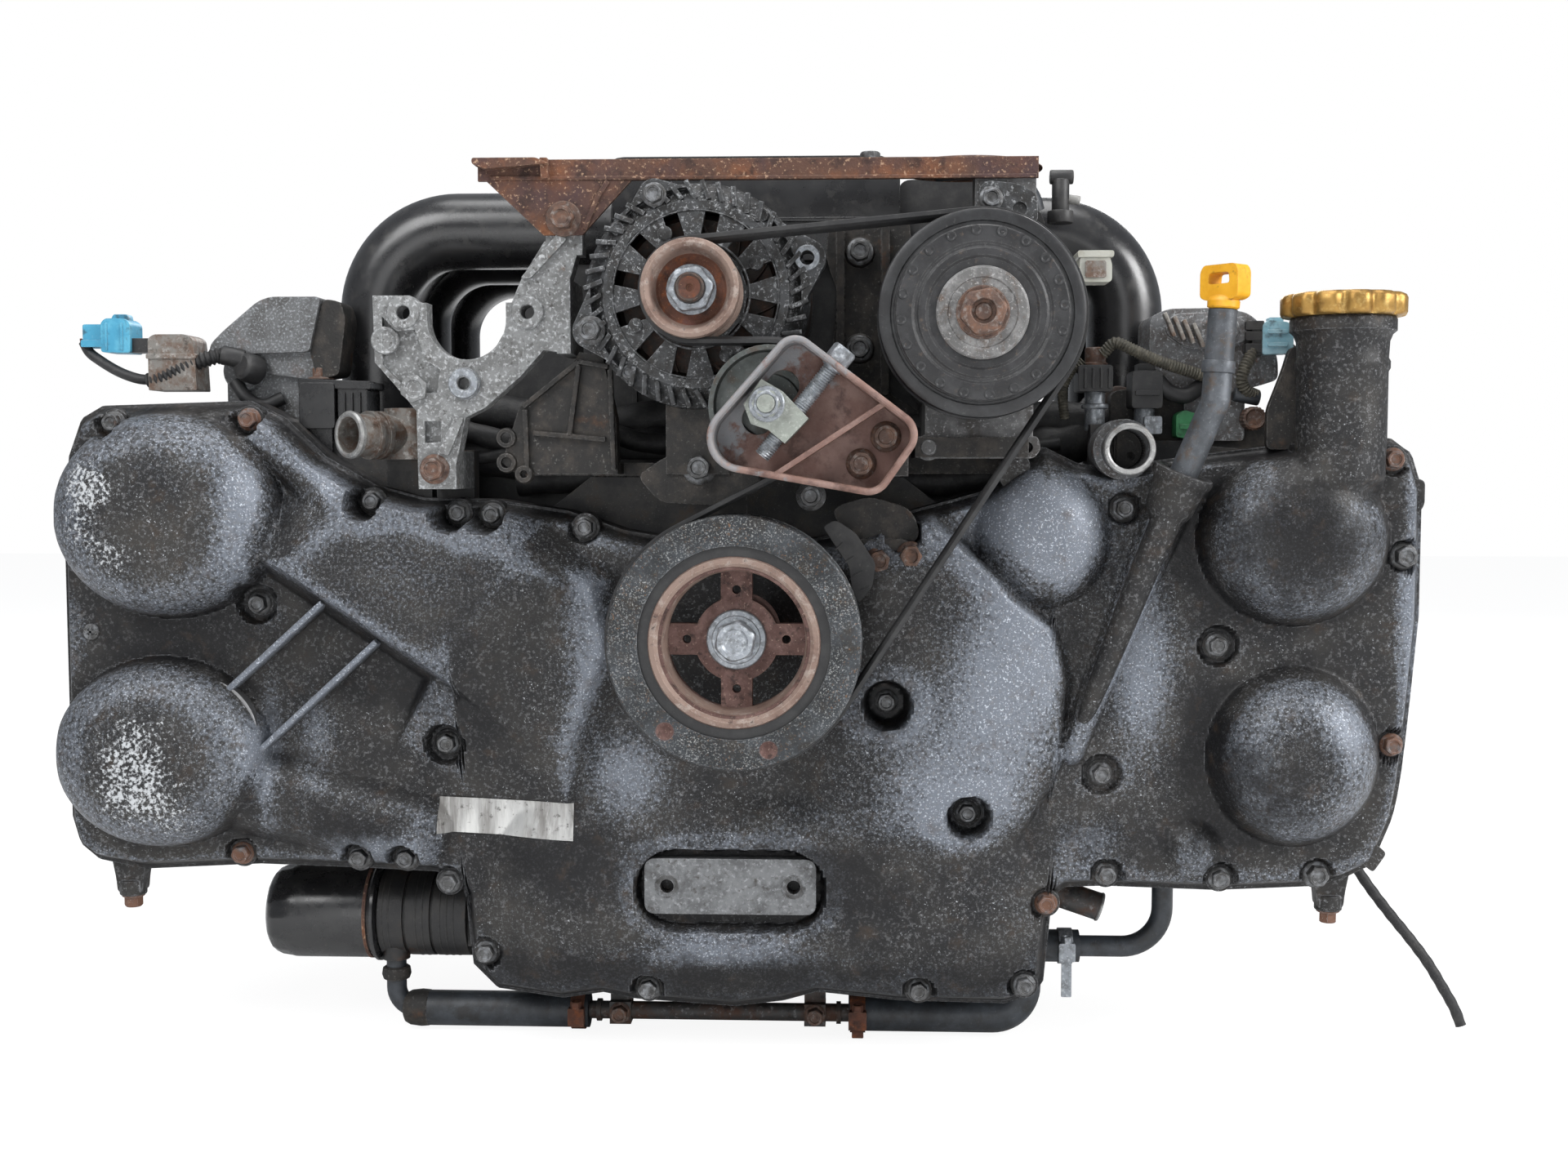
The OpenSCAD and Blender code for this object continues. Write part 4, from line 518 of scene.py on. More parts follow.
BOLT = Finish(
    "bolt_zinc", (0.08, 0.08, 0.08), (
        Layer((0.24, 0.25, 0.265), 190, 0.4, 0.12, 0.8),
        Layer((0.03, 0.028, 0.026), 150, 0.4, 0.1, 0.85),
        Layer((0.14, 0.062, 0.034), 150, 0.36, 0.25, 0.85, Pattern.ATTRIBUTE, 0.85, 0.0, "rust"),
        Layer((0.62, 0.6, 0.58), 900, 0.2, 0.05, 0.6),
    ), rough=0.5, metal=0.5, grain=0.1, grain_scale=1200, dent=0.15, dent_scale=350,
    edge=(0.45, 0.45, 0.46), edge_reach=0.6, round_mm=0.5)
BOLT_RUST = Finish(
    "bolt_rust", (0.085, 0.05, 0.038), (
        Layer((0.17, 0.085, 0.052), 150, 0.42, 0.12, 0.8),
        Layer((0.24, 0.22, 0.205), 260, 0.34, 0.09, 0.75, metal=0.5),
        Layer(RUST_DARK, 190, 0.32, 0.08, 0.8),
    ), rough=0.65, metal=0.2, grain=0.14, grain_scale=1100, dent=0.2, dent_scale=350,
    edge=(0.4, 0.33, 0.28), edge_reach=0.55, round_mm=0.5)
DAMPER_IRON = Finish(
    "damper_iron", (0.018, 0.02, 0.022), (
        Layer((0.055, 0.062, 0.07), 36, 0.42, 0.16, 0.85),
        Layer((0.03, 0.024, 0.018), 90, 0.34, 0.12, 0.8),
        Layer((0.2, 0.21, 0.22), 620, 0.3, 0.07, 0.75),
        Layer((0.4, 0.4, 0.39), 900, 0.34, 0.06, 0.8, Pattern.SPECKLE),
        Layer((0.24, 0.12, 0.05), 640, 0.26, 0.06, 0.8, Pattern.SPECKLE),
    ), rough=0.5, metal=0.45, grain=0.1, grain_scale=1000, dent=0.12, dent_scale=260,
    edge=(0.32, 0.33, 0.34), edge_reach=0.5, round_mm=0.8)
HUB_RUST = Finish(
    "rust_iron_hub", (0.105, 0.055, 0.047), (
        Layer((0.19, 0.115, 0.1), 90, 0.45, 0.12, 0.8),
        Layer(RUST_ORANGE, 260, 0.14, 0.07, 0.6),
        Layer((0.035, 0.02, 0.017), 190, 0.36, 0.08, 0.85),
        Layer((0.42, 0.3, 0.24), 620, 0.26, 0.06, 0.75),
    ), rough=0.75, metal=0.15, grain=0.26, grain_scale=900, dent=0.3, dent_scale=300,
    edge=(0.36, 0.22, 0.15), edge_reach=0.5, round_mm=0.7)
RUBBER = Finish(
    "black_rubber", (0.012, 0.012, 0.013), (
        Layer((0.03, 0.03, 0.03), 70, 0.45, 0.14, 0.7),
        Layer((0.09, 0.085, 0.08), 500, 0.22, 0.08, 0.5),
    ), rough=0.55, metal=0.0, grain=0.05, grain_scale=1200, dent=0.08, dent_scale=260,
    edge=None, edge_reach=0.0, round_mm=0.5)
HOSE = Finish(
    "hose_rubber", (0.018, 0.021, 0.025), (
        Layer((0.045, 0.052, 0.062), 55, 0.45, 0.15, 0.8, rough=0.42),
        Layer((0.012, 0.011, 0.01), 80, 0.35, 0.1, 0.8),
        Layer((0.12, 0.12, 0.12), 420, 0.22, 0.07, 0.5),
    ), rough=0.5, metal=0.0, grain=0.1, grain_scale=900, dent=0.25, dent_scale=160, edge=None,
    edge_reach=0.0, round_mm=0.5)
CLUTCH_BLACK = Finish(
    "clutch_black", (0.012, 0.012, 0.013), (
        Layer((0.03, 0.031, 0.033), 60, 0.45, 0.14, 0.8),
        Layer((0.16, 0.155, 0.15), 620, 0.22, 0.06, 0.6, Pattern.SPECKLE),
    ), rough=0.42, metal=0.1, grain=0.06, grain_scale=1100, dent=0.1, dent_scale=240,
    edge=(0.12, 0.12, 0.12), edge_reach=0.5, round_mm=0.8)
CLUTCH_FACE = Finish(
    "clutch_face", (0.014, 0.014, 0.015), (
        Layer((0.036, 0.036, 0.038), 80, 0.45, 0.14, 0.8),
        Layer((0.1, 0.07, 0.05), 210, 0.24, 0.08, 0.6),
        Layer((0.22, 0.215, 0.21), 560, 0.2, 0.06, 0.6, Pattern.SPECKLE),
    ), rough=0.45, metal=0.15, grain=0.12, grain_scale=900, dent=0.2, dent_scale=240,
    edge=(0.18, 0.175, 0.17), edge_reach=0.6, round_mm=0.8)
HUB_ZINC = Finish(
    "hub_zinc", (0.13, 0.128, 0.126), (
        Layer((0.26, 0.258, 0.255), 90, 0.42, 0.1, 0.8),
        Layer((0.5, 0.5, 0.5), 500, 0.24, 0.05, 0.7, Pattern.SPECKLE),
        Layer((0.1, 0.065, 0.045), 130, 0.34, 0.1, 0.8),
        Layer((0.5, 0.49, 0.48), 620, 0.28, 0.08, 0.7),
    ), rough=0.55, metal=0.4, grain=0.18, grain_scale=900, dent=0.25, dent_scale=260,
    edge=(0.5, 0.5, 0.5), edge_reach=0.5, round_mm=0.6)
COMPRESSOR = Finish(
    "compressor_cast", (0.085, 0.085, 0.086), (
        Layer((0.17, 0.17, 0.172), 80, 0.42, 0.13, 0.8),
        Layer((0.04, 0.033, 0.028), 60, 0.4, 0.12, 0.8),
        Layer((0.42, 0.42, 0.43), 620, 0.28, 0.08, 0.7),
    ), rough=0.55, metal=0.4, grain=0.2, grain_scale=800, dent=0.3, dent_scale=180,
    edge=(0.42, 0.42, 0.42), edge_reach=0.6, round_mm=0.9)
PLASTIC = Finish(
    "manifold_black", (0.011, 0.011, 0.012), (
        Layer((0.02, 0.02, 0.021), 30, 0.45, 0.15, 0.8, rough=0.36),
        Layer((0.05, 0.047, 0.043), 90, 0.28, 0.12, 0.5, rough=0.55),
    ), rough=0.24, metal=0.0, grain=0.03, grain_scale=900, dent=0.1, dent_scale=70, edge=None,
    edge_reach=0.0, round_mm=1.0, coat=0.25)
PLASTIC_DULL = Finish(
    "black_plastic", (0.013, 0.013, 0.014), (
        Layer((0.035, 0.034, 0.033), 70, 0.42, 0.14, 0.8),
        Layer((0.09, 0.085, 0.08), 420, 0.22, 0.07, 0.6, Pattern.SPECKLE),
    ), rough=0.5, metal=0.0, grain=0.08, grain_scale=900, dent=0.15, dent_scale=180,
    edge=(0.1, 0.1, 0.1), edge_reach=0.4, round_mm=0.7)
FILTER_PAINT = Finish(
    "filter_black", (0.008, 0.008, 0.009), (
        Layer((0.02, 0.02, 0.02), 60, 0.42, 0.14, 0.7, rough=0.45),
        Layer((0.07, 0.062, 0.055), 300, 0.2, 0.07, 0.6),
    ), rough=0.22, metal=0.0, grain=0.02, grain_scale=1100, dent=0.08, dent_scale=200,
    edge=None, edge_reach=0.0, round_mm=0.8, coat=0.3)
GOLD = Finish(
    "cap_gold", (0.36, 0.21, 0.055), (
        Layer((0.2, 0.105, 0.028), 110, 0.42, 0.14, 0.8),
        Layer((0.52, 0.36, 0.13), 260, 0.34, 0.1, 0.7),
        Layer((0.07, 0.035, 0.015), 190, 0.2, 0.07, 0.75),
    ), rough=0.42, metal=0.7, grain=0.06, grain_scale=1000, dent=0.12, dent_scale=260,
    edge=(0.6, 0.43, 0.18), edge_reach=0.6, round_mm=0.8)
YELLOW = Finish(
    "dipstick_yellow", (0.68, 0.32, 0.012), (
        Layer((0.8, 0.42, 0.03), 60, 0.45, 0.14, 0.7),
        Layer((0.2, 0.09, 0.015), 110, 0.24, 0.08, 0.8),
        Layer((0.06, 0.03, 0.01), 330, 0.18, 0.06, 0.7),
    ), rough=0.42, metal=0.0, grain=0.05, grain_scale=1000, dent=0.1, dent_scale=240,
    edge=(0.85, 0.5, 0.08), edge_reach=0.4, round_mm=0.9)
TUBE_STEEL = Finish(
    "tube_steel", (0.06, 0.065, 0.072), (
        Layer((0.12, 0.13, 0.145), 60, 0.45, 0.14, 0.8),
        Layer((0.09, 0.055, 0.03), 95, 0.3, 0.1, 0.7),
        Layer((0.25, 0.26, 0.27), 620, 0.24, 0.07, 0.6),
    ), rough=0.5, metal=0.4, grain=0.1, grain_scale=1000, dent=0.15, dent_scale=220,
    edge=(0.22, 0.23, 0.24), edge_reach=0.5, round_mm=0.6)
PIPE_STEEL = Finish(
    "pipe_steel", (0.055, 0.054, 0.053), (
        Layer((0.1, 0.045, 0.026), 70, 0.4, 0.15, 0.8, rough=0.85),
        Layer((0.26, 0.26, 0.26), 300, 0.26, 0.09, 0.7),
        Layer(SOOT, 90, 0.3, 0.1, 0.8),
    ), rough=0.55, metal=0.4, grain=0.14, grain_scale=1000, dent=0.2, dent_scale=240,
    edge=(0.3, 0.25, 0.2), edge_reach=0.5, round_mm=0.6)
SILVER = Finish(
    "stub_cast", (0.32, 0.32, 0.315), (
        Layer((0.13, 0.125, 0.12), 110, 0.44, 0.13, 0.8),
        Layer((0.55, 0.55, 0.54), 360, 0.32, 0.1, 0.7),
        Layer((0.13, 0.07, 0.04), 90, 0.24, 0.09, 0.7),
    ), rough=0.42, metal=0.6, grain=0.08, grain_scale=1000, dent=0.15, dent_scale=240,
    edge=(0.68, 0.68, 0.67), edge_reach=0.6, round_mm=0.6)
PAN_BLACK = Finish(
    "pan_black", (0.012, 0.012, 0.013), (
        Layer((0.03, 0.028, 0.026), 40, 0.42, 0.14, 0.8),
        Layer((0.06, 0.03, 0.015), 60, 0.24, 0.09, 0.7),
        Layer((0.12, 0.115, 0.11), 520, 0.2, 0.06, 0.6, Pattern.SPECKLE),
    ), rough=0.45, metal=0.1, grain=0.1, grain_scale=900, dent=0.25, dent_scale=160,
    edge=(0.12, 0.11, 0.1), edge_reach=0.5, round_mm=0.8)
GROUND_STEEL = Finish(
    "ground_steel", (0.34, 0.34, 0.345), (
        Layer((0.22, 0.22, 0.225), 60, 0.45, 0.15, 0.7),
        Layer((0.2, 0.12, 0.07), 90, 0.16, 0.08, 0.6),
    ), rough=0.32, metal=0.9, grain=0.02, grain_scale=1500, dent=0.04, dent_scale=300,
    edge=(0.6, 0.6, 0.6), edge_reach=0.4, round_mm=0.6)
PISTON_ALLOY = Finish(
    "piston_alloy", (0.42, 0.42, 0.42), (
        Layer((0.12, 0.11, 0.1), 50, 0.35, 0.12, 0.7),
        Layer((0.5, 0.5, 0.5), 300, 0.3, 0.1, 0.5),
    ), rough=0.35, metal=0.8, grain=0.02, grain_scale=1500, dent=0.04, dent_scale=300,
    edge=(0.6, 0.6, 0.6), edge_reach=0.4, round_mm=0.6)
CHAIN_STEEL = Finish(
    "chain_steel", (0.12, 0.115, 0.11), (
        Layer((0.22, 0.21, 0.2), 160, 0.42, 0.12, 0.7),
        Layer(SOOT, 90, 0.3, 0.1, 0.7),
    ), rough=0.4, metal=0.8, grain=0.05, grain_scale=1300, dent=0.08, dent_scale=300,
    edge=(0.4, 0.4, 0.4), edge_reach=0.5, round_mm=0.5)
COPPER = Finish(
    "copper_core", (0.1, 0.028, 0.016), (
        Layer((0.32, 0.1, 0.045), 260, 0.4, 0.12, 0.8),
        Layer((0.03, 0.012, 0.01), 140, 0.36, 0.1, 0.8),
    ), rough=0.45, metal=0.5, grain=0.12, grain_scale=900, dent=0.3, dent_scale=420,
    edge=(0.4, 0.16, 0.08), edge_reach=0.5, round_mm=0.5)
ROTOR = Finish(
    "rotor_steel", (0.045, 0.038, 0.034), (
        Layer((0.09, 0.045, 0.03), 150, 0.42, 0.12, 0.8),
        Layer((0.18, 0.17, 0.165), 300, 0.2, 0.07, 0.7),
        Layer(RUST_DARK, 200, 0.3, 0.09, 0.8),
    ), rough=0.6, metal=0.45, grain=0.14, grain_scale=1000, dent=0.2, dent_scale=300,
    edge=(0.4, 0.36, 0.32), edge_reach=0.5, round_mm=0.5)
IDLER_STEEL = Finish(
    "idler_steel", (0.07, 0.078, 0.074), (
        Layer((0.13, 0.14, 0.135), 70, 0.45, 0.14, 0.8),
        Layer((0.07, 0.045, 0.03), 110, 0.3, 0.1, 0.7),
        Layer((0.3, 0.31, 0.3), 620, 0.24, 0.07, 0.6),
    ), rough=0.5, metal=0.5, grain=0.1, grain_scale=1000, dent=0.14, dent_scale=240,
    edge=(0.26, 0.27, 0.27), edge_reach=0.5, round_mm=0.7)
THROTTLE_CAST = Finish(
    "throttle_cast", (0.3, 0.3, 0.305), (
        Layer((0.17, 0.17, 0.172), 80, 0.45, 0.14, 0.8),
        Layer((0.48, 0.48, 0.49), 420, 0.3, 0.09, 0.6),
        Layer((0.05, 0.045, 0.04), 60, 0.2, 0.08, 0.7),
    ), rough=0.45, metal=0.6, grain=0.1, grain_scale=900, dent=0.2, dent_scale=200,
    edge=(0.6, 0.6, 0.61), edge_reach=0.5, round_mm=0.7)
BRASS = Finish(
    "throttle_brass", (0.42, 0.28, 0.1), (
        Layer((0.2, 0.12, 0.05), 120, 0.42, 0.13, 0.7),
        Layer((0.55, 0.42, 0.2), 300, 0.3, 0.1, 0.6),
    ), rough=0.35, metal=0.9, grain=0.03, grain_scale=1300, dent=0.06, dent_scale=300,
    edge=(0.65, 0.5, 0.25), edge_reach=0.4, round_mm=0.5)
CABLE = Finish(
    "cable_black", (0.009, 0.009, 0.01), (
        Layer((0.028, 0.027, 0.026), 140, 0.42, 0.13, 0.8),
        Layer((0.11, 0.1, 0.09), 700, 0.2, 0.06, 0.6),
    ), rough=0.6, metal=0.0, grain=0.12, grain_scale=1300, dent=0.3, dent_scale=420, edge=None,
    edge_reach=0.0, round_mm=0.4)
VALVE_CAST = Finish(
    "valve_cast", (0.13, 0.133, 0.137), (
        Layer((0.06, 0.058, 0.055), 60, 0.42, 0.14, 0.85),
        Layer((0.36, 0.38, 0.4), 620, 0.36, 0.09, 0.75),
        Layer((0.1, 0.05, 0.03), 45, 0.22, 0.09, 0.7),
    ), rough=0.6, metal=0.35, grain=0.24, grain_scale=800, dent=0.35, dent_scale=170,
    edge=(0.42, 0.43, 0.44), edge_reach=0.6, round_mm=0.9)
CAST_OXIDE = Finish(
    "valve_cast_pale", (0.13, 0.133, 0.138), (
        Layer((0.06, 0.05, 0.044), 90, 0.44, 0.14, 0.85),
        Layer((0.42, 0.44, 0.46), 480, 0.32, 0.09, 0.8),
        Layer((0.2, 0.075, 0.03), 70, 0.22, 0.08, 0.8),
        Layer((0.02, 0.018, 0.016), 160, 0.24, 0.08, 0.8),
    ), rough=0.7, metal=0.25, grain=0.35, grain_scale=700, dent=0.6, dent_scale=220,
    edge=(0.6, 0.61, 0.62), edge_reach=0.6, round_mm=0.9)
FOIL = Finish(
    "foil_plate", (0.5, 0.5, 0.49), (
        Layer((0.13, 0.12, 0.11), 60, 0.42, 0.14, 0.85, Pattern.STREAK, 0.6, 0.3),
        Layer((0.66, 0.66, 0.64), 150, 0.36, 0.12, 0.7, Pattern.STREAK),
        Layer((0.04, 0.036, 0.03), 220, 0.26, 0.08, 0.9, rough=0.7, metal=0.2),
    ), rough=0.35, metal=0.75, grain=0.03, grain_scale=1200, dent=0.1, dent_scale=160,
    edge=(0.1, 0.1, 0.1), edge_reach=0.5, round_mm=0.3)
BLUE = Finish(
    "connector_blue", (0.045, 0.27, 0.42), (
        Layer((0.11, 0.4, 0.55), 90, 0.42, 0.14, 0.7),
        Layer((0.02, 0.05, 0.07), 130, 0.3, 0.1, 0.8),
        Layer((0.3, 0.42, 0.48), 500, 0.2, 0.07, 0.5),
    ), rough=0.45, metal=0.0, grain=0.05, grain_scale=1000, dent=0.12, dent_scale=240,
    edge=(0.25, 0.5, 0.6), edge_reach=0.5, round_mm=0.6)
BLUE_PALE = Finish(
    "connector_pale", (0.2, 0.38, 0.46), (
        Layer((0.36, 0.52, 0.58), 90, 0.42, 0.14, 0.7),
        Layer((0.06, 0.08, 0.09), 130, 0.3, 0.1, 0.8),
    ), rough=0.45, metal=0.0, grain=0.05, grain_scale=1000, dent=0.12, dent_scale=240,
    edge=(0.5, 0.62, 0.66), edge_reach=0.5, round_mm=0.6)
GREEN = Finish(
    "connector_green", (0.025, 0.16, 0.06), (
        Layer((0.05, 0.26, 0.1), 90, 0.42, 0.14, 0.7),
        Layer((0.01, 0.03, 0.015), 130, 0.34, 0.1, 0.8),
    ), rough=0.45, metal=0.0, grain=0.05, grain_scale=1000, dent=0.12, dent_scale=240,
    edge=(0.12, 0.35, 0.18), edge_reach=0.5, round_mm=0.6)
PLASTIC_GREY = Finish(
    "plastic_grey", (0.3, 0.3, 0.29), (
        Layer((0.17, 0.165, 0.155), 110, 0.42, 0.13, 0.8),
        Layer((0.45, 0.45, 0.44), 300, 0.3, 0.1, 0.6),
        Layer((0.07, 0.05, 0.035), 160, 0.24, 0.08, 0.7),
    ), rough=0.5, metal=0.0, grain=0.06, grain_scale=1000, dent=0.12, dent_scale=240,
    edge=(0.5, 0.5, 0.49), edge_reach=0.5, round_mm=0.6)
CLEAR = Finish(
    "connector_clear", (0.62, 0.62, 0.56), (
        Layer((0.4, 0.38, 0.3), 150, 0.4, 0.13, 0.7),
        Layer((0.8, 0.8, 0.76), 300, 0.3, 0.1, 0.5),
    ), rough=0.3, metal=0.0, grain=0.05, grain_scale=1000, dent=0.12, dent_scale=240, edge=None,
    edge_reach=0.0, round_mm=0.5, coat=0.1, clear=0.45)
BRAID = Finish(
    "conduit_olive", (0.05, 0.046, 0.034), (
        Layer((0.11, 0.1, 0.075), 300, 0.42, 0.12, 0.8),
        Layer((0.02, 0.018, 0.014), 90, 0.34, 0.1, 0.8),
    ), rough=0.65, metal=0.0, grain=0.3, grain_scale=1100, dent=0.4, dent_scale=520, edge=None,
    edge_reach=0.0, round_mm=0.4)
SENSOR_STEEL = Finish(
    "sensor_steel", (0.2, 0.19, 0.175), (
        Layer((0.12, 0.065, 0.04), 110, 0.46, 0.13, 0.85),
        Layer((0.42, 0.41, 0.39), 260, 0.3, 0.1, 0.7),
        Layer((0.03, 0.025, 0.02), 170, 0.26, 0.08, 0.8),
    ), rough=0.55, metal=0.5, grain=0.14, grain_scale=1000, dent=0.25, dent_scale=260,
    edge=(0.5, 0.48, 0.45), edge_reach=0.5, round_mm=0.6)
PAD_BRIGHT = Finish(
    "cover_cast_machined", (0.17, 0.175, 0.18), (
        Layer((0.075, 0.076, 0.078), 110, 0.45, 0.15, 0.8),
        Layer((0.36, 0.37, 0.385), 320, 0.32, 0.1, 0.7),
        Layer((0.05, 0.045, 0.04), 210, 0.26, 0.07, 0.85),
    ), rough=0.5, metal=0.55, grain=0.12, grain_scale=900, dent=0.25, dent_scale=220,
    edge=(0.6, 0.61, 0.62), edge_reach=0.5, round_mm=1.0)


# ---------------------------------------------------------------- shapes

X_AXIS, Y_AXIS, Z_AXIS = (1.0, 0.0, 0.0), (0.0, 1.0, 0.0), (0.0, 0.0, 1.0)
TO_FRONT, DOWN = (0.0, -1.0, 0.0), (0.0, 0.0, -1.0)
BEVEL_SEGMENTS = 2
MERGE_WITHIN = 2e-6


def unit(vector: Array) -> Array:
    """Vectors of length one, row by row."""
    vector = np.asarray(vector, float)
    return vector / np.maximum(np.linalg.norm(vector, axis=-1, keepdims=True), 1e-12)


def basis(axis: Array) -> tuple[Array, Array, Array]:
    """Three directions at right angles.

    The first is up, or X for an upright axis, less its share along the axis, the second is
    the axis crossed with the first, and the third is the axis.

    Args:
        axis: the main direction.

    Returns:
        The three unit vectors.
    """
    w = unit(np.asarray(axis, float))
    lean = np.array(Z_AXIS if abs(w[2]) < 0.9 else X_AXIS)
    u = unit(lean - w * (lean @ w))
    return u, np.cross(w, u), w


def grid_faces(rows: int, cols: int, wrap: bool = False, start: int = 0) -> Array:
    """Quads between the points of a grid, point (i, j) being number i * cols + j.

    Args:
        rows: number of rows.
        cols: number of points in a row.
        wrap: join each row's last point to its first.
        start: number of the first point.

    Returns:
        An array of four point numbers a face.
    """
    i = np.arange(rows - 1)[:, None]
    j = np.arange(cols if wrap else cols - 1)[None, :]
    k = (j + 1) % cols
    quads = np.stack(np.broadcast_arrays(i * cols + j, i * cols + k,
                                         (i + 1) * cols + k, (i + 1) * cols + j), -1)
    return quads.reshape(-1, 4) + start


def grid_rim(rows: int, cols: int) -> Array:
    """The numbers of a grid's outer points, once round it.

    Args:
        rows: number of rows.
        cols: number of points in a row.

    Returns:
        The point numbers in order.
    """
    last = (rows - 1) * cols
    return np.concatenate([np.arange(rows) * cols, last + np.arange(1, cols),
                           np.arange(rows - 2, -1, -1) * cols + cols - 1,
                           np.arange(cols - 2, 0, -1)])


class Shape:
    """Points in millimetres, and faces as arrays of point numbers."""

    def __init__(self, points: Array, faces: list[Array]) -> None:
        """Holds the points and the faces, one array for each number of corners."""
        self.points = np.asarray(points, float).reshape(-1, 3)
        self.faces = [np.asarray(f, int) for f in faces if len(f)]

    def __add__(self, other: "Shape") -> "Shape":
        """Both shapes as one."""
        shift = len(self.points)
        return Shape(np.vstack([self.points, other.points]),
                     self.faces + [f + shift for f in other.faces])

    def build(self, name: str, finish: Finish, body: str = "engine", smooth: float = 32.0,
              bevel: float = 0.0, instead_of: tuple[str, ...] = (),
              marks: dict[str, Array] | None = None, ride: bool = True,
              outwards: bool = True) -> bpy.types.Object:
        """Makes the Blender object, merged, with its faces outwards.

        Args:
            name: the piece's name.
            finish: its finish.
            body: the body it rides on.
            smooth: edges sharper than this many degrees stay sharp.
            bevel: width in millimetres of a bevel on sharp edges.
            instead_of: CAD nodes that it stands for.
            marks: vertex attributes by name, one value a point.
            ride: False leaves the riding to the caller.
            outwards: recalculates the normals.

        Returns:
            The object.
        """
        mesh = bpy.data.meshes.new(name)
        loops = np.concatenate([f.reshape(-1) for f in self.faces])
        sizes = np.concatenate([np.full(len(f), f.shape[1]) for f in self.faces])
        mesh.vertices.add(len(self.points))
        mesh.vertices.foreach_set("co", (self.points * MM).astype(np.float32).reshape(-1))
        mesh.loops.add(len(loops))
        mesh.loops.foreach_set("vertex_index", loops.astype(np.int32))
        mesh.polygons.add(len(sizes))
        starts = np.concatenate([[0], np.cumsum(sizes)[:-1]])
        mesh.polygons.foreach_set("loop_start", starts.astype(np.int32))
        mesh.update(calc_edges=True)
        mesh.validate()
        for key, values in (marks or {}).items():
            layer = mesh.attributes.new(key, "FLOAT", "POINT")
            layer.data.foreach_set("value", np.asarray(values, np.float32))
        work = bmesh.new()
        work.from_mesh(mesh)
        bmesh.ops.remove_doubles(work, verts=work.verts, dist=MERGE_WITHIN)
        if outwards:
            bmesh.ops.recalc_face_normals(work, faces=work.faces)
        work.to_mesh(mesh)
        work.free()
        mesh.shade_smooth()
        mesh.set_sharp_from_angle(angle=math.radians(smooth))
        piece = bpy.data.objects.new(name, mesh)
        bpy.context.scene.collection.objects.link(piece)
        mesh.materials.append(finish.material())
        if bevel:
            rounding = piece.modifiers.new("edges", "BEVEL")
            rounding.width = bevel * MM
            rounding.segments = BEVEL_SEGMENTS
            rounding.limit_method = "ANGLE"
            rounding.angle_limit = math.radians(smooth)
            rounding.harden_normals = True
        if ride:
            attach(piece, body)
        for node in instead_of:
            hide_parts(node)
        log.info("%s on %s, %d points", name, body, len(mesh.vertices))
        return piece


def total(shapes: list[Shape]) -> Shape:
    """All the shapes as one.

    Args:
        shapes: one shape or more.

    Returns:
        The joined shape.
    """
    whole = shapes[0]
    for shape in shapes[1:]:
        whole = whole + shape
    return whole


def turned_profile(profile: Profile, at: Array, axis: Array,
                   segments: int = 64, ring: bool = False) -> Shape:
    """A profile of (radius, height) carried round an axis: the centre, plus the height along
    the axis, plus the radius along the direction at each angle.

    Args:
        profile: radii and heights; a radius of 0 closes the shape on the axis.
        at: the point on the axis at height 0.
        axis: direction of the heights.
        segments: number of angles.
        ring: join the last point to the first, for a ring.

    Returns:
        The shape.
    """
    u, v, w = basis(axis)
    rows = np.array(profile + profile[:1] if ring else profile, float)
    a = np.linspace(0, 2 * np.pi, segments, endpoint=False)
    around = np.cos(a)[:, None] * u + np.sin(a)[:, None] * v
    points = (np.asarray(at, float) + rows[:, None, 1:2] * w
              + rows[:, None, 0:1] * around[None])
    return Shape(points, [grid_faces(len(rows), segments, True)])


def scalloped(rows: Array, cut: Array, at: Point, axes: tuple[Point, Point, Point]) -> Shape:
    """A turned shape whose radius, r − share · cut, falls in the scallops round it.

    Args:
        rows: (radius, height, share of the cut), row by row.
        cut: depth of the cut at each angle.
        at: the point on the axis at height 0.
        axes: the two directions across, and that of the heights.

    Returns:
        The shape.
    """
    u, v, w = (np.array(axis) for axis in axes)
    table = np.asarray(rows, float)
    a = np.linspace(0, 2 * np.pi, len(cut), endpoint=False)[None, :, None]
    r = np.maximum(table[:, :1] - table[:, 2:] * cut[None], 0)[..., None]
    points = np.asarray(at, float) + table[:, 1, None, None] * w + r * np.cos(a) * u
    return Shape(points + r * np.sin(a) * v, [grid_faces(len(table), len(cut), True)])


def rod(a: Array, b: Array, radius: float, soft: float = 0.5, segments: int = 32) -> Shape:
    """A round rod from a to b, its rims softened by a quarter round.

    Args:
        a: one end's middle.
        b: the other end's middle.
        radius: its radius.
        soft: reach of the softened rims.
        segments: points round it.

    Returns:
        The shape.
    """
    a, b = np.asarray(a, float), np.asarray(b, float)
    high = float(np.linalg.norm(b - a))
    k = soft * 0.3
    return turned_profile([(0, 0), (radius - soft, 0), (radius - k, k), (radius, soft),
                           (radius, high - soft), (radius - k, high - k),
                           (radius - soft, high), (0, high)], a, b - a, segments)


def run_along(path: Array) -> Array:
    """The length along a path up to each of its points."""
    steps = np.linalg.norm(np.diff(path, axis=0), axis=1)
    return np.concatenate([[0], np.cumsum(steps)])


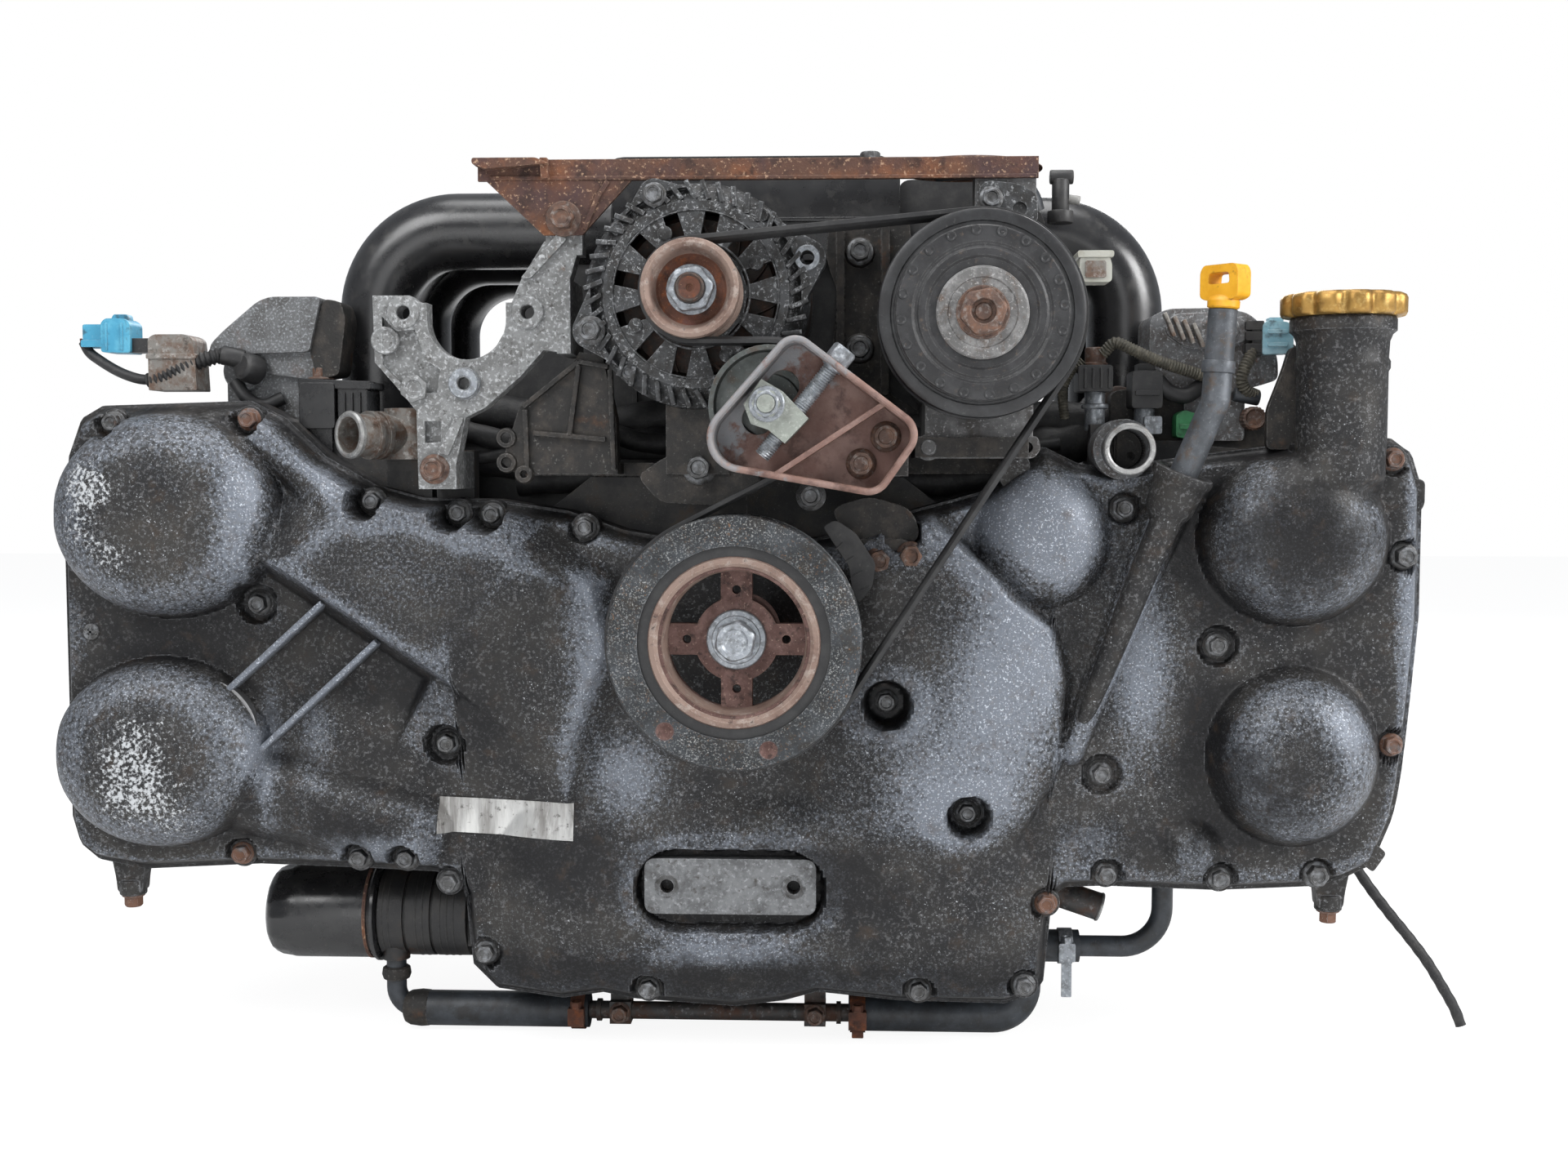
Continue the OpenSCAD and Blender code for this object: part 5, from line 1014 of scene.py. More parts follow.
def smooth_path(points: Array, count: int) -> Array:
    """A Catmull-Rom curve through the points, evenly spaced along its length.

    Each stretch is half of (2 p1 + (p2 − p0) t + (2 p0 − 5 p1 + 4 p2 − p3) t²
    + (3 p1 − p0 − 3 p2 + p3) t³), with the ends doubled.

    Args:
        points: the points it passes through.
        count: number of points wanted.

    Returns:
        The curve's points.
    """
    p = np.asarray(points, float)
    p = np.vstack([2 * p[0] - p[1], p, 2 * p[-1] - p[-2]])
    t = np.linspace(0, 1, 24, endpoint=False)[None, :, None]
    a, b, c, d = (p[i:len(p) - 3 + i, None] for i in range(4))
    curve = 0.5 * (2 * b + (c - a) * t + (2 * a - 5 * b + 4 * c - d) * t ** 2
                   + (3 * b - a - 3 * c + d) * t ** 3)
    curve = np.vstack([curve.reshape(-1, 3), p[-2]])
    run = run_along(curve)
    at = np.linspace(0, run[-1], count)
    return np.stack([np.interp(at, run, curve[:, k]) for k in range(3)], 1)


def swept(path: Array, section: Array, side: Array = Y_AXIS, closed: bool = False,
          scale: Array | float = 1.0) -> Shape:
    """A closed section carried along a path.

    A ring's points are the path's point, plus the section's first number along the side
    direction less its share along the path, plus its second along the direction at right
    angles to both.

    Args:
        path: points, one a ring.
        section: points (p, q) of the section, in order round it.
        side: the direction that the section's first number leans to.
        closed: join the last ring to the first.
        scale: size of the section, one number or one a ring.

    Returns:
        The shape, capped at both ends if it isn't closed.
    """
    path = np.asarray(path, float)
    if closed:
        along = unit(np.roll(path, -1, 0) - np.roll(path, 1, 0))
    else:
        along = unit(np.gradient(path, axis=0))
    lean = np.broadcast_to(np.asarray(side, float), path.shape)
    u = unit(lean - along * np.sum(lean * along, 1, keepdims=True))
    v = np.cross(along, u)
    section = np.asarray(section, float)
    size = np.broadcast_to(np.asarray(scale, float), (len(path),))[:, None, None]
    points = (path[:, None] + size * (section[None, :, :1] * u[:, None]
                                      + section[None, :, 1:] * v[:, None]))
    n, m = len(path), len(section)
    if closed:
        points = np.concatenate([points, points[:1]])
        return Shape(points, [grid_faces(n + 1, m, True)])
    caps = np.stack([np.arange(m)[::-1], np.arange(m) + (n - 1) * m])
    return Shape(points, [grid_faces(n, m, True), caps])


def round_section(radius: float, segments: int = 20) -> Array:
    """A circle as a section."""
    a = np.linspace(0, 2 * np.pi, segments, endpoint=False)
    return radius * np.stack([np.cos(a), np.sin(a)], 1)


def box_section(wide: float, high: float, soft: float = 0.8) -> Array:
    """A rectangle with softened corners as a section."""
    corners = [(-wide / 2, -high / 2), (wide / 2, -high / 2), (wide / 2, high / 2),
               (-wide / 2, high / 2)]
    return rounded(corners, soft, 3)


def tube(points: Array, radius: float, count: int = 40, side: Array = Y_AXIS,
         segments: int = 20, rings: float = 0.0, depth: float = 0.0) -> Shape:
    """A round tube along a smooth curve through the points.

    With rings, its radius is r · (1 + depth · sin(2π · length / rings)), as on conduit.

    Args:
        points: points it passes through.
        radius: its radius.
        count: number of rings of points.
        side: a direction that the path never follows.
        segments: points round it.
        rings: distance between the ridges of corrugated conduit, or 0.
        depth: depth of the ridges as a share of the radius.

    Returns:
        The shape.
    """
    path = smooth_path(points, count)
    scale: Array | float = 1.0
    if rings:
        scale = 1 + depth * np.sin(2 * np.pi * run_along(path) / rings)
    return swept(path, round_section(radius, segments), side, scale=scale)


def rounded(corners: Array, radius: float | list[float], steps: int = 5) -> Array:
    """An outline with each corner rounded.

    A corner p becomes the curve (1−t)² a + 2 t (1−t) p + t² b, where a and b lie on its two
    sides at the radius from p, or at 0.45 of a shorter side.

    Args:
        corners: the corners in order.
        radius: one radius, or one a corner.
        steps: points on a rounded corner, less one.

    Returns:
        The outline's points.
    """
    p = np.asarray(corners, float)
    before, after = np.roll(p, 1, 0) - p, np.roll(p, -1, 0) - p
    reach = np.broadcast_to(np.asarray(radius, float), (len(p),))
    short = 0.45 * np.minimum(np.linalg.norm(before, axis=1), np.linalg.norm(after, axis=1))
    reach = np.minimum(reach, short)[:, None]
    a, b = p + unit(before) * reach, p + unit(after) * reach
    t = np.linspace(0, 1, steps + 1)[None, :, None]
    curve = (1 - t) ** 2 * a[:, None] + 2 * t * (1 - t) * p[:, None] + t ** 2 * b[:, None]
    return curve.reshape(-1, p.shape[1])


def circle(x: float, z: float, radius: float, segments: int = 32) -> Array:
    """A circle's points in a plane."""
    return np.array([x, z]) + round_section(radius, segments)


def around(x: float, z: float, radius: float, degrees: float, y: float) -> Array:
    """The point at a radius and an angle round an axis that runs along Y through (x, z)."""
    a = math.radians(degrees)
    return np.array([x + radius * math.cos(a), y, z + radius * math.sin(a)])


def belt_grooves(rim: float) -> Profile:
    """Six V grooves in a pulley's rim as (radius, height), 1.5 deep and 3.36 apart."""
    return [(rim - 1.5 * (k % 2), 0.6 + 1.68 * k) for k in range(13)]


def plate(outline: Array, low: float, high: float,
          holes: list[Array] | None = None) -> Shape:
    """A flat outline with holes, given a thickness along Y.

    Args:
        outline: its points (x, z).
        low: where it starts along Y.
        high: where it ends.
        holes: outlines of the holes.

    Returns:
        The shape.
    """
    rings = [np.asarray(outline, float)] + [np.asarray(h, float) for h in holes or []]
    flat = np.vstack(rings)
    vectors = [[Vector((float(p[0]), float(p[1]), 0.0)) for p in ring] for ring in rings]
    cap = np.array(tessellate_polygon(vectors), int)
    layers = [np.insert(flat, 1, y, axis=1) for y in (low, high)]
    n, start, sides = len(flat), 0, []
    for ring in rings:
        i = np.arange(len(ring)) + start
        j = np.roll(i, -1)
        sides.append(np.stack([i, j, j + n, i + n], 1))
        start += len(ring)
    return Shape(np.vstack(layers), [cap[:, ::-1], cap + n, np.vstack(sides)])


def block(x: tuple[float, float], y: tuple[float, float], z: tuple[float, float],
          soft: float = 1.5) -> Shape:
    """A box with the edges along Y rounded."""
    corners = [(x[0], z[0]), (x[1], z[0]), (x[1], z[1]), (x[0], z[1])]
    return plate(rounded(corners, soft, 4), y[0], y[1])


def round_loop(circles: list[Point], steps: int = 10) -> Array:
    """The outline of a band laid round circles (x, z, signed radius), anticlockwise.

    The line from circle a to circle b leaves at the direction of their centres plus the arc
    sine of the difference of the radii over their distance, and each circle adds the points
    at its radius from the incoming to the outgoing direction. A circle with a negative
    radius is passed on its other side.

    Args:
        circles: the circles in order.
        steps: points on each arc, less one.

    Returns:
        The outline.
    """
    c = np.array(circles, float)
    after = np.roll(c, -1, 0)
    step = after[:, :2] - c[:, :2]
    out = np.arctan2(step[:, 1], step[:, 0]) + np.arcsin(
        (c[:, 2] - after[:, 2]) / np.linalg.norm(step, axis=1))
    into = np.roll(out, 1)
    left = np.mod(out - into, 2 * np.pi)
    right = -np.mod(into - out, 2 * np.pi)
    turn = np.where(c[:, 2] > 0, left, right)
    a = into[:, None] + turn[:, None] * np.linspace(0, 1, steps + 1)[None] - np.pi / 2
    arcs = c[:, None, :2] + c[:, None, 2:] * np.stack([np.cos(a), np.sin(a)], -1)
    return arcs.reshape(-1, 2)


def hexagon(at: Array, axis: Array, flats: float, high: float, turn: float = 0.0,
            cup: float = 0.0, bore: float = 0.0) -> Shape:
    """A hexagon head or nut, its corners cut by a cone.

    The radius at an angle is half the width across flats over the cosine of the angle from
    the nearest flat's middle, and no more than the cone's radius at that height.

    Args:
        at: middle of its foot.
        axis: direction in which it stands.
        flats: width across flats.
        high: height.
        turn: degrees about its axis.
        cup: depth of a shallow cup in its end.
        bore: radius of a bore through it.

    Returns:
        The shape.
    """
    u, v, w = basis(axis)
    a = np.linspace(0, 2 * np.pi, 48, endpoint=False)
    face = np.mod(a + math.radians(turn), np.pi / 3) - np.pi / 6
    six = flats / 2 / np.cos(face)
    heights = np.array([0, 0.06, 0.8, 0.9, 1.0]) * high
    cone = flats * np.array([0.53, 0.6, 0.6, 0.545, 0.475])
    rows = np.minimum(six[None], cone[:, None])
    radii = [rows]
    tall = list(heights)
    inner = [(0.36 * flats, high), (0.3 * flats, high - cup), (0.0, high - cup)] if cup else [
        (0.0, high)]
    if bore:
        inner = [(bore + 0.6, high), (bore, high - 0.6), (bore, 0.0), (0.52 * flats, 0.0)]
    for r, h in inner:
        radii.append(np.full((1, len(a)), r))
        tall.append(h)
    r = np.vstack(radii)
    around = np.cos(a)[:, None] * u + np.sin(a)[:, None] * v
    points = np.asarray(at, float) + np.array(tall)[:, None, None] * w + r[..., None] * around
    faces = [grid_faces(len(tall), len(a), True)]
    if not bore:
        foot = np.arange(len(a))[None, ::-1]
        faces.append(foot)
    return Shape(points, faces)


def bolt(at: Array, axis: Array, flats: float, turn: float = 0.0, washer: float = 0.72,
         tall: float = 0.65) -> Shape:
    """A flanged hexagon bolt's head: a domed washer face, then the hexagon with its cup.

    Args:
        at: middle of the face that it is seated on.
        axis: direction in which the head stands.
        flats: width across flats.
        turn: degrees about its axis.
        washer: radius of its flange over the flats.
        tall: height of the hexagon over the flats.

    Returns:
        The shape.
    """
    w = unit(np.asarray(axis, float))
    r, at = washer * flats, np.asarray(at, float)
    foot = turned_profile([(0, 0), (r - 0.3, 0), (r, 0.35), (r, 0.8), (r - 0.5, 1.25),
                           (0.56 * flats, 1.75), (0, 1.75)], at, w, 36)
    head = hexagon(at + 1.4 * w, w, flats, tall * flats, turn, 0.09 * flats)
    return foot + head


def threaded(a: Array, b: Array, radius: float, pitch: float = 1.5) -> Shape:
    """A threaded rod: the radius falls and rises with the height along a helix.

    r = radius − depth · |2 · frac(h / pitch − angle / 2π) − 1|.

    Args:
        a: one end.
        b: the other end.
        radius: outer radius.
        pitch: distance between two threads.

    Returns:
        The shape.
    """
    a, b = np.asarray(a, float), np.asarray(b, float)
    u, v, w = basis(b - a)
    high = float(np.linalg.norm(b - a))
    rows = max(int(high / pitch * 6), 4)
    h = np.linspace(0, high, rows)[:, None]
    t = np.linspace(0, 2 * np.pi, 24, endpoint=False)[None]
    wave = np.abs(2 * np.mod(h / pitch - t / (2 * np.pi), 1.0) - 1)
    r = radius - 0.5 * pitch * wave
    points = (a + h[..., None] * w + r[..., None] * (np.cos(t)[..., None] * u
                                                     + np.sin(t)[..., None] * v))
    caps = np.stack([np.arange(24)[::-1], np.arange(24) + (rows - 1) * 24])
    return Shape(points, [grid_faces(rows, 24, True), caps])


def node_shape(node: str) -> Shape:
    """A CAD node's triangles with their shared points merged, in millimetres.

    Args:
        node: the node's name.

    Returns:
        The shape.
    """
    mesh = frame["nodes"][node].data
    points = np.empty(len(mesh.vertices) * 3, np.float32)
    mesh.vertices.foreach_get("co", points)
    mesh.calc_loop_triangles()
    faces = np.empty(len(mesh.loop_triangles) * 3, np.int32)
    mesh.loop_triangles.foreach_get("vertices", faces)
    keys = np.round(points.reshape(-1, 3).astype(float) / MM, 3)
    merged, where = np.unique(keys, axis=0, return_inverse=True)
    faces = where.reshape(-1)[faces].reshape(-1, 3)
    kept = ((faces[:, 0] != faces[:, 1]) & (faces[:, 1] != faces[:, 2])
            & (faces[:, 0] != faces[:, 2]))
    return Shape(merged, [faces[kept]])


def body_of(node: str) -> str:
    """The body that a CAD node belongs to."""
    return frame["nodes"][node]["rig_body"]


def coated(node: str, finish: Finish, smooth: float = 28.0,
           marks: dict[str, Array] | None = None) -> bpy.types.Object:
    """A smooth-shaded copy of a CAD node in its finish, shown in the node's place.

    Args:
        node: the CAD node.
        finish: the copy's finish.
        smooth: edges sharper than this many degrees stay sharp.
        marks: vertex attributes, one value a merged point.

    Returns:
        The copy.
    """
    return node_shape(node).build(node + "_skin", finish, body_of(node), smooth,
                                  instead_of=(node,), marks=marks, outwards=False)


def painted(node: str, finish: Finish) -> None:
    """Gives a CAD node that stays as it is its finish.

    Args:
        node: the node's name.
        finish: its finish.
    """
    owner = frame["nodes"][node]
    owner.data.materials.clear()
    owner.data.materials.append(finish.material())
    log.info("%s painted %s", node, finish.name)


# ---------------------------------------------------------------- studio

@dataclass
class Studio:
    """Camera, lamps, world and floor."""

    eye: Point = (0.071, -1.448, 0.101)
    look: Point = (-90 / 2143, 1.0, -147 / 2143)
    focal: float = 40.18
    sensor: float = 36.0
    far: float = 50.0
    aim: Point = (0, -0.3, 0)
    sky: tuple[float, ...] = (0.9, 0.94, 1.0, 1.0)
    sky_strength: float = 0.34
    ground: tuple[float, ...] = (0.86, 0.86, 0.86, 1.0)
    ground_glow: float = 1.14
    glow_share: float = 0.8
    ground_half: float = 6.0
    ground_gap: float = 0.0005

    def camera(self) -> None:
        """Sets the camera in front of the damper, a little above it and to its right."""
        data = bpy.data.cameras.new("camera")
        data.lens = self.focal
        data.sensor_width = self.sensor
        data.clip_end = self.far
        lens = bpy.data.objects.new("camera", data)
        bpy.context.scene.collection.objects.link(lens)
        lens.location = self.eye
        lens.rotation_euler = Vector(self.look).to_track_quat("-Z", "Y").to_euler()
        bpy.context.scene.camera = lens

    def lamp(self, name: str, at: Point, size: float, watts: float) -> None:
        """Adds one square softbox.

        Args:
            name: its name.
            at: where it hangs, in metres.
            size: its side, in metres.
            watts: its power.
        """
        data = bpy.data.lights.new(name, "AREA")
        data.size = size
        data.energy = watts
        box = bpy.data.objects.new(name, data)
        bpy.context.scene.collection.objects.link(box)
        box.location = at
        facing = Vector(self.aim) - Vector(at)
        box.rotation_euler = facing.to_track_quat("-Z", "Y").to_euler()

    def lights(self) -> None:
        """A key from the upper left, a fill from the right, and one above, below, behind."""
        self.lamp("key", (-1.3, -2.1, 1.8), 1.3, 44)
        self.lamp("fill", (2.1, -1.35, 1.0), 1.0, 52)
        self.lamp("top", (0.1, -0.5, 2.3), 1.6, 42)
        self.lamp("low", (-0.2, -2.4, -0.15), 1.2, 9)
        self.lamp("rear", (0.3, 2.3, 1.5), 1.5, 40)

    def world(self) -> None:
        """A soft grey world that the camera, mirrors and glass see as white."""
        world = bpy.data.worlds.new("world")
        bpy.context.scene.world = world
        world.use_nodes = True
        tree = world.node_tree
        tree.nodes.clear()
        path = tree.nodes.new("ShaderNodeLightPath")
        seen = tree.nodes.new("ShaderNodeMath")
        seen.operation = "MAXIMUM"
        tree.links.new(path.outputs["Is Camera Ray"], seen.inputs[0])
        tree.links.new(path.outputs["Is Transmission Ray"], seen.inputs[1])
        soft = tree.nodes.new("ShaderNodeBackground")
        soft.inputs["Color"].default_value = self.sky
        soft.inputs["Strength"].default_value = self.sky_strength
        white = tree.nodes.new("ShaderNodeBackground")
        white.inputs["Color"].default_value = (1.0, 1.0, 1.0, 1.0)
        mix = tree.nodes.new("ShaderNodeMixShader")
        tree.links.new(seen.outputs[0], mix.inputs[0])
        tree.links.new(soft.outputs[0], mix.inputs[1])
        tree.links.new(white.outputs[0], mix.inputs[2])
        out = tree.nodes.new("ShaderNodeOutputWorld")
        tree.links.new(mix.outputs[0], out.inputs["Surface"])

    def floor(self) -> None:
        """A white floor under the lowest point, almost white to the camera but for the shadow."""
        level = float(np.array(CAD_BOX).reshape(-1, 3)[:, 2].min()) - self.ground_gap
        half = self.ground_half
        corners = np.array([[-half, -half, level], [half, -half, level], [half, half, level],
                            [-half, half, level]])
        mesh = bpy.data.meshes.new("floor")
        mesh.from_pydata(corners.tolist(), [], [(0, 1, 2, 3)])
        ground = bpy.data.objects.new("floor", mesh)
        bpy.context.scene.collection.objects.link(ground)
        material = bpy.data.materials.new("floor_white")
        material.use_nodes = True
        tree = material.node_tree
        tree.nodes.clear()
        path = tree.nodes.new("ShaderNodeLightPath")
        matt = tree.nodes.new("ShaderNodeBsdfDiffuse")
        matt.inputs["Color"].default_value = self.ground
        bright = tree.nodes.new("ShaderNodeEmission")
        bright.inputs["Strength"].default_value = self.ground_glow
        share = tree.nodes.new("ShaderNodeMath")
        share.operation = "MULTIPLY"
        share.inputs[1].default_value = self.glow_share
        tree.links.new(path.outputs["Is Camera Ray"], share.inputs[0])
        mix = tree.nodes.new("ShaderNodeMixShader")
        tree.links.new(share.outputs[0], mix.inputs[0])
        tree.links.new(matt.outputs[0], mix.inputs[1])
        tree.links.new(bright.outputs[0], mix.inputs[2])
        out = tree.nodes.new("ShaderNodeOutputMaterial")
        tree.links.new(mix.outputs[0], out.inputs["Surface"])
        mesh.materials.append(material)

    def make(self) -> None:
        """Makes the whole studio."""
        bpy.context.scene.view_settings.view_transform = "Standard"
        self.camera()
        self.lights()
        self.world()
        self.floor()


@dataclass
class CutCable:
    """A stiff lead that was cut through, hanging from the right bank."""

    radius: float = 3.5
    route: tuple[Point, ...] = (
        (378, -318, -112), (378, -318, -119), (380, -318, -128), (385, -319, -141),
        (392, -321, -155), (401, -325, -169), (412, -330, -184), (423, -335, -198),
        (433, -340, -212), (441, -344, -226), (448, -347, -239), (452, -349, -250))
    tape_mean: float = 0.955
    tape_swell: float = 0.04
    winding: float = 9.0

    def make(self) -> None:
        """Makes the lead with its wound tape, and the strands in its cut end.

        The radius is r · (mean + swell · sin(2π · length / winding)).
        """
        path = smooth_path(self.route, 90)
        run = run_along(path)
        wave = self.tape_mean + self.tape_swell * np.sin(2 * np.pi * run / self.winding)
        lead = swept(path, round_section(self.radius, 20), Y_AXIS, scale=wave).build(
            "cut_lead", CABLE, instead_of=("cut_cable",))
        end, back = path[-1], path[-4]
        u, v, w = basis(end - back)
        places = np.array([[0.0, 0.0], [1.5, 0.2], [-0.7, 1.4], [-0.8, -1.3], [0.9, -1.3]])
        strands = [rod(end - 3 * w + a * u + b * v, end - 0.3 * w + a * u + b * v, 0.62, 0.1, 12)
                   for a, b in places]
        core = total(strands).build("cut_strands", COPPER)
        (np.array(self.route[0]) * MM).tolist()


# ---------------------------------------------------------------- front cover

@dataclass
class FrontCover:
    """The cast cover over both camshaft drives: one height field over the flange's face,
    with its bosses, ribs, mount pad, oil filler neck, dipstick collar and lugs.

    Top and low are its outline (x, z). A pot is (x, z, half width, half height, rise, n, m),
    a ridge or the cheek (x1, z1, x2, z2, half width at each end, rise), and a wedge a level
    with its edges (x1, z1, x2, z2, slope). The pad is (x, z, width, height), the neck (x,
    height of its centre, radius), and the spots are (x, z, half width, half height,
    strength): painted sheen spots of painted highlight, dark spots of grease and painted
    shade, and bloom spots of oxide.
    """

    flange: float = -357.0
    back: float = -345.0
    boss: float = 9.0
    boss_r: float = 9.0
    fade: float = 7.0
    blend: float = 12.0
    base: float = 14.0
    top: Outline = (
        (-432, 66), (-428, 108), (-419, 132), (-405, 140), (-310, 143), (-288, 132),
        (-263, 108), (-231, 90), (-201, 82), (-156, 81), (-110, 74), (-75, 62), (-40, 56),
        (40, 56), (60, 60), (96, 72), (147, 86), (166, 101), (186, 114), (206, 104),
        (224, 101), (290, 110), (347, 117), (396, 119), (410, 110), (417, 88))
    low: Outline = (
        (-432, -122), (-427, -140), (-415, -150), (-385, -156), (-310, -152), (-241, -154),
        (-196, -156), (-178, -168), (-174, -215), (-158, -231), (-116, -237), (-90, -233),
        (-69, -237), (-6, -241), (25, -237), (46, -231), (98, -236), (165, -237),
        (184, -230), (189, -222), (194, -168), (202, -162), (226, -161), (296, -163),
        (355, -160), (372, -156), (392, -146), (404, -116), (408, -95), (412, -54), (417, 10))
    pots: Table = (
        (-357, 71.5, 72, 64.5, 52, 4, 0.33), (-364, -77.5, 68, 60, 52, 4, 0.33),
        (335.5, 58, 58, 53.5, 52, 3, 0.45), (338, -76.0, 53, 56, 50, 3.2, 0.5),
        (184, 58, 41, 44, 36, 3, 0.55), (278, -135, 19, 19, 25, 2.0, 0.8))
    ridges: Table = (
        (-303, 127, -237, 74, 18, 20, 27), (-330, -98, -206, -126, 30, 26, 29),
        (-104, -166, 122, -168, 66, 68, 26), (263, 84, 203, -74, 15, 9, 25),
        (352, 98, 338, 66, 30, 44, 42))
    wedges: tuple[tuple[float, Table], ...] = (
        (43.0, ((-279.6, 39.8, -187.1, -21.7, 2.0), (-187.1, -21.7, -134.7, 45.3, 0.3),
                (-134.7, 45.3, -150.5, 62.0, 1.1), (-150.5, 62.0, -190.2, 78.7, 1.3),
                (-190.2, 78.7, -231.6, 75.6, 1.3), (-231.6, 75.6, -279.6, 39.8, 0.7))),
        (31.0, ((-190, -30, -104, -72, 0.3), (-104, -62, -84, -10, 0.9),
                (-84, -10, -92, 28, 0.9), (-92, 28, -150, 64, 1.2), (-150, 62, -190, -30, 2.0))))
    cheek: tuple[float, ...] = (118, 14, 118, -62, 108, 100, 38)
    crease: Outline = (
        (-140, 170), (-83, 200), (-28, 204), (4, 194), (20, 172), (36, 158), (70, 120))
    neck_at: Point = (360.5, 24.0, 26.2)
    rim_bolts: Outline = (
        (-394, 129), (-308, 131), (-231, 80), (-177, 73), (-156, 72), (-318, -143),
        (-243, -145), (-213, -145), (-186, -160), (-98, 64), (396, 106), (404, 47),
        (399, -69), (355, -150), (296, -153), (226, -151), (189, -170), (-163, -205),
        (176, -222), (-60, -227), (110, -226), (98, 62), (234, 76))
    field_bolts: Outline = (
        (-304, 16), (292, -8), (222, -88), (139.5, -113), (-186, -71.5))
    blind: tuple[float, float] = (89, -43)
    ribs: Table = ((-256, 19, -322, -39), (-223, -5, -305, -79))
    lugs: Outline = ((-396, -150), (367, -152))
    pad: tuple[float, ...] = (-7.5, -159, 107, 35)
    pad_holes: float = 39.5
    pad_bore: float = 4.25
    blind_floor: float = 15.0
    pad_floor: float = 11.0
    wall_high: float = 60.0
    spot_face: float = 0.8
    columns: int = 418
    rows: int = 196
    # Painted highlights: spots that raise the wear mark where the casting shows sheen.
    painted_sheen: Table = (
        (-96, 0, 16, 52, 0.6), (-72, -92, 26, 28, 0.85), (52, -118, 50, 14, 0.35),
        (158, -34, 36, 66, 0.95), (-10, -203, 60, 8, 0.8), (-297, -78, 8, 45, 0.9),
        (-262, 90, 20, 24, 0.35), (246, -20, 20, 60, 0.9), (192, 66, 34, 30, 1.0),
        (412, 10, 10, 90, 0.6), (-300, 74, 16, 46, 0.5), (-204, 34, 50, 30, 0.3),
        (364, -56, 14, 18, 0.35), (112, -92, 30, 40, 0.6), (-268, -66, 14, 30, 0.6),
        (146, 66, 20, 14, 0.7), (-236, -138, 34, 7, 0.5), (216, -128, 20, 12, 0.6))
    # Dark spots that raise the grime mark: grease, and painted shade on the right domes' shaded
    # sides.
    grease_and_shade: Table = (
        (284, -64, 16, 60, 0.9), (-262, -124, 60, 20, 0.9), (0, 30, 80, 40, 0.9),
        (-112, -142, 60, 34, 0.9), (60, -160, 70, 26, 0.9), (-350, -6, 60, 14, 0.8),
        (330, 58, 50, 44, 1.2), (86, -43, 24, 24, 0.8), (318, -96, 34, 40, 0.75),
        (-226, -40, 60, 14, 0.7), (228, -128, 60, 16, 0.5), (-152, -60, 26, 22, 0.7),
        (26, -140, 60, 12, 0.6), (-170, 8, 16, 40, 0.6))
    bloom: Table = (
        (-402, 95, 16, 16, 0.9), (-404, 64, 20, 20, 0.8), (-378, 46, 18, 18, 0.8),
        (-386, 88, 12, 12, 0.8), (-366, -64, 34, 34, 0.75), (-378, -100, 30, 30, 0.75),
        (-330, 16, 26, 26, 0.4), (-340, -118, 26, 26, 0.6), (-290, -60, 16, 16, 0.4))

    @staticmethod
    def spotted(values: Array, x: Array, z: Array, spots: Table) -> Array:
        """Adds soft spots, each s · exp(−(dx / w)² − (dz / h)²).

        Args:
            values: the field that they are added to.
            x: sideways places.
            z: heights of those places.
            spots: each spot's place x, z, its half sizes w, h and its strength s.

        Returns:
            The field with the spots.
        """
        for sx, sz, wide, high, much in spots:
            values = values + much * np.exp(-((x - sx) / wide) ** 2 - ((z - sz) / high) ** 2)
        return values

    def soft_max(self, a: Array, b: Array, blend: float = 0.0) -> Array:
        """The larger of two heights, with a fillet: max + d² / (4 · blend), where d is how far
        their difference falls short of the blend.

        Args:
            a: one height.
            b: the other.
            blend: reach of the fillet, the cover's own if 0.

        Returns:
            The blended height.
        """
        blend = blend or self.blend
        d = np.maximum(blend - np.abs(a - b), 0)
        return np.maximum(a, b) + d * d / (4 * blend)

    def outline_distance(self, x: Array, z: Array) -> Array:
        """Distance from each point to the cover's outline.

        Args:
            x: sideways places.
            z: heights of those places.

        Returns:
            The smallest distance to one of the outline's edges.
        """
        ring = np.array(self.low + self.top[::-1], float)
        after = np.roll(ring, -1, 0)
        step = after - ring
        p = np.stack([x.reshape(-1), z.reshape(-1)], 1)
        near = np.full(len(p), 1e9)
        for a, d in zip(ring, step):
            t = np.clip(((p - a) @ d) / (d @ d), 0, 1)
            near = np.minimum(near, np.linalg.norm(p - a - t[:, None] * d, axis=1))
        return near.reshape(x.shape)

    @staticmethod
    def smooth(value: Array) -> Array:
        """3 t² − 2 t³ with t held between 0 and 1."""
        t = np.clip(value, 0, 1)
        return t * t * (3 - 2 * t)

    @staticmethod
    def off_line(x: Array, z: Array, line: tuple[float, ...]) -> tuple[Array, Array]:
        """Distance from a line (x1, z1, x2, z2), and how far along it each point lies.

        Args:
            x: sideways places.
            z: heights of those places.
            line: the line's ends, first of its numbers.

        Returns:
            The distances, and the shares of the line's length.
        """
        dx, dz = line[2] - line[0], line[3] - line[1]
        t = np.clip(((x - line[0]) * dx + (z - line[1]) * dz) / (dx * dx + dz * dz), 0, 1)
        return np.hypot(x - line[0] - dx * t, z - line[1] - dz * t), t

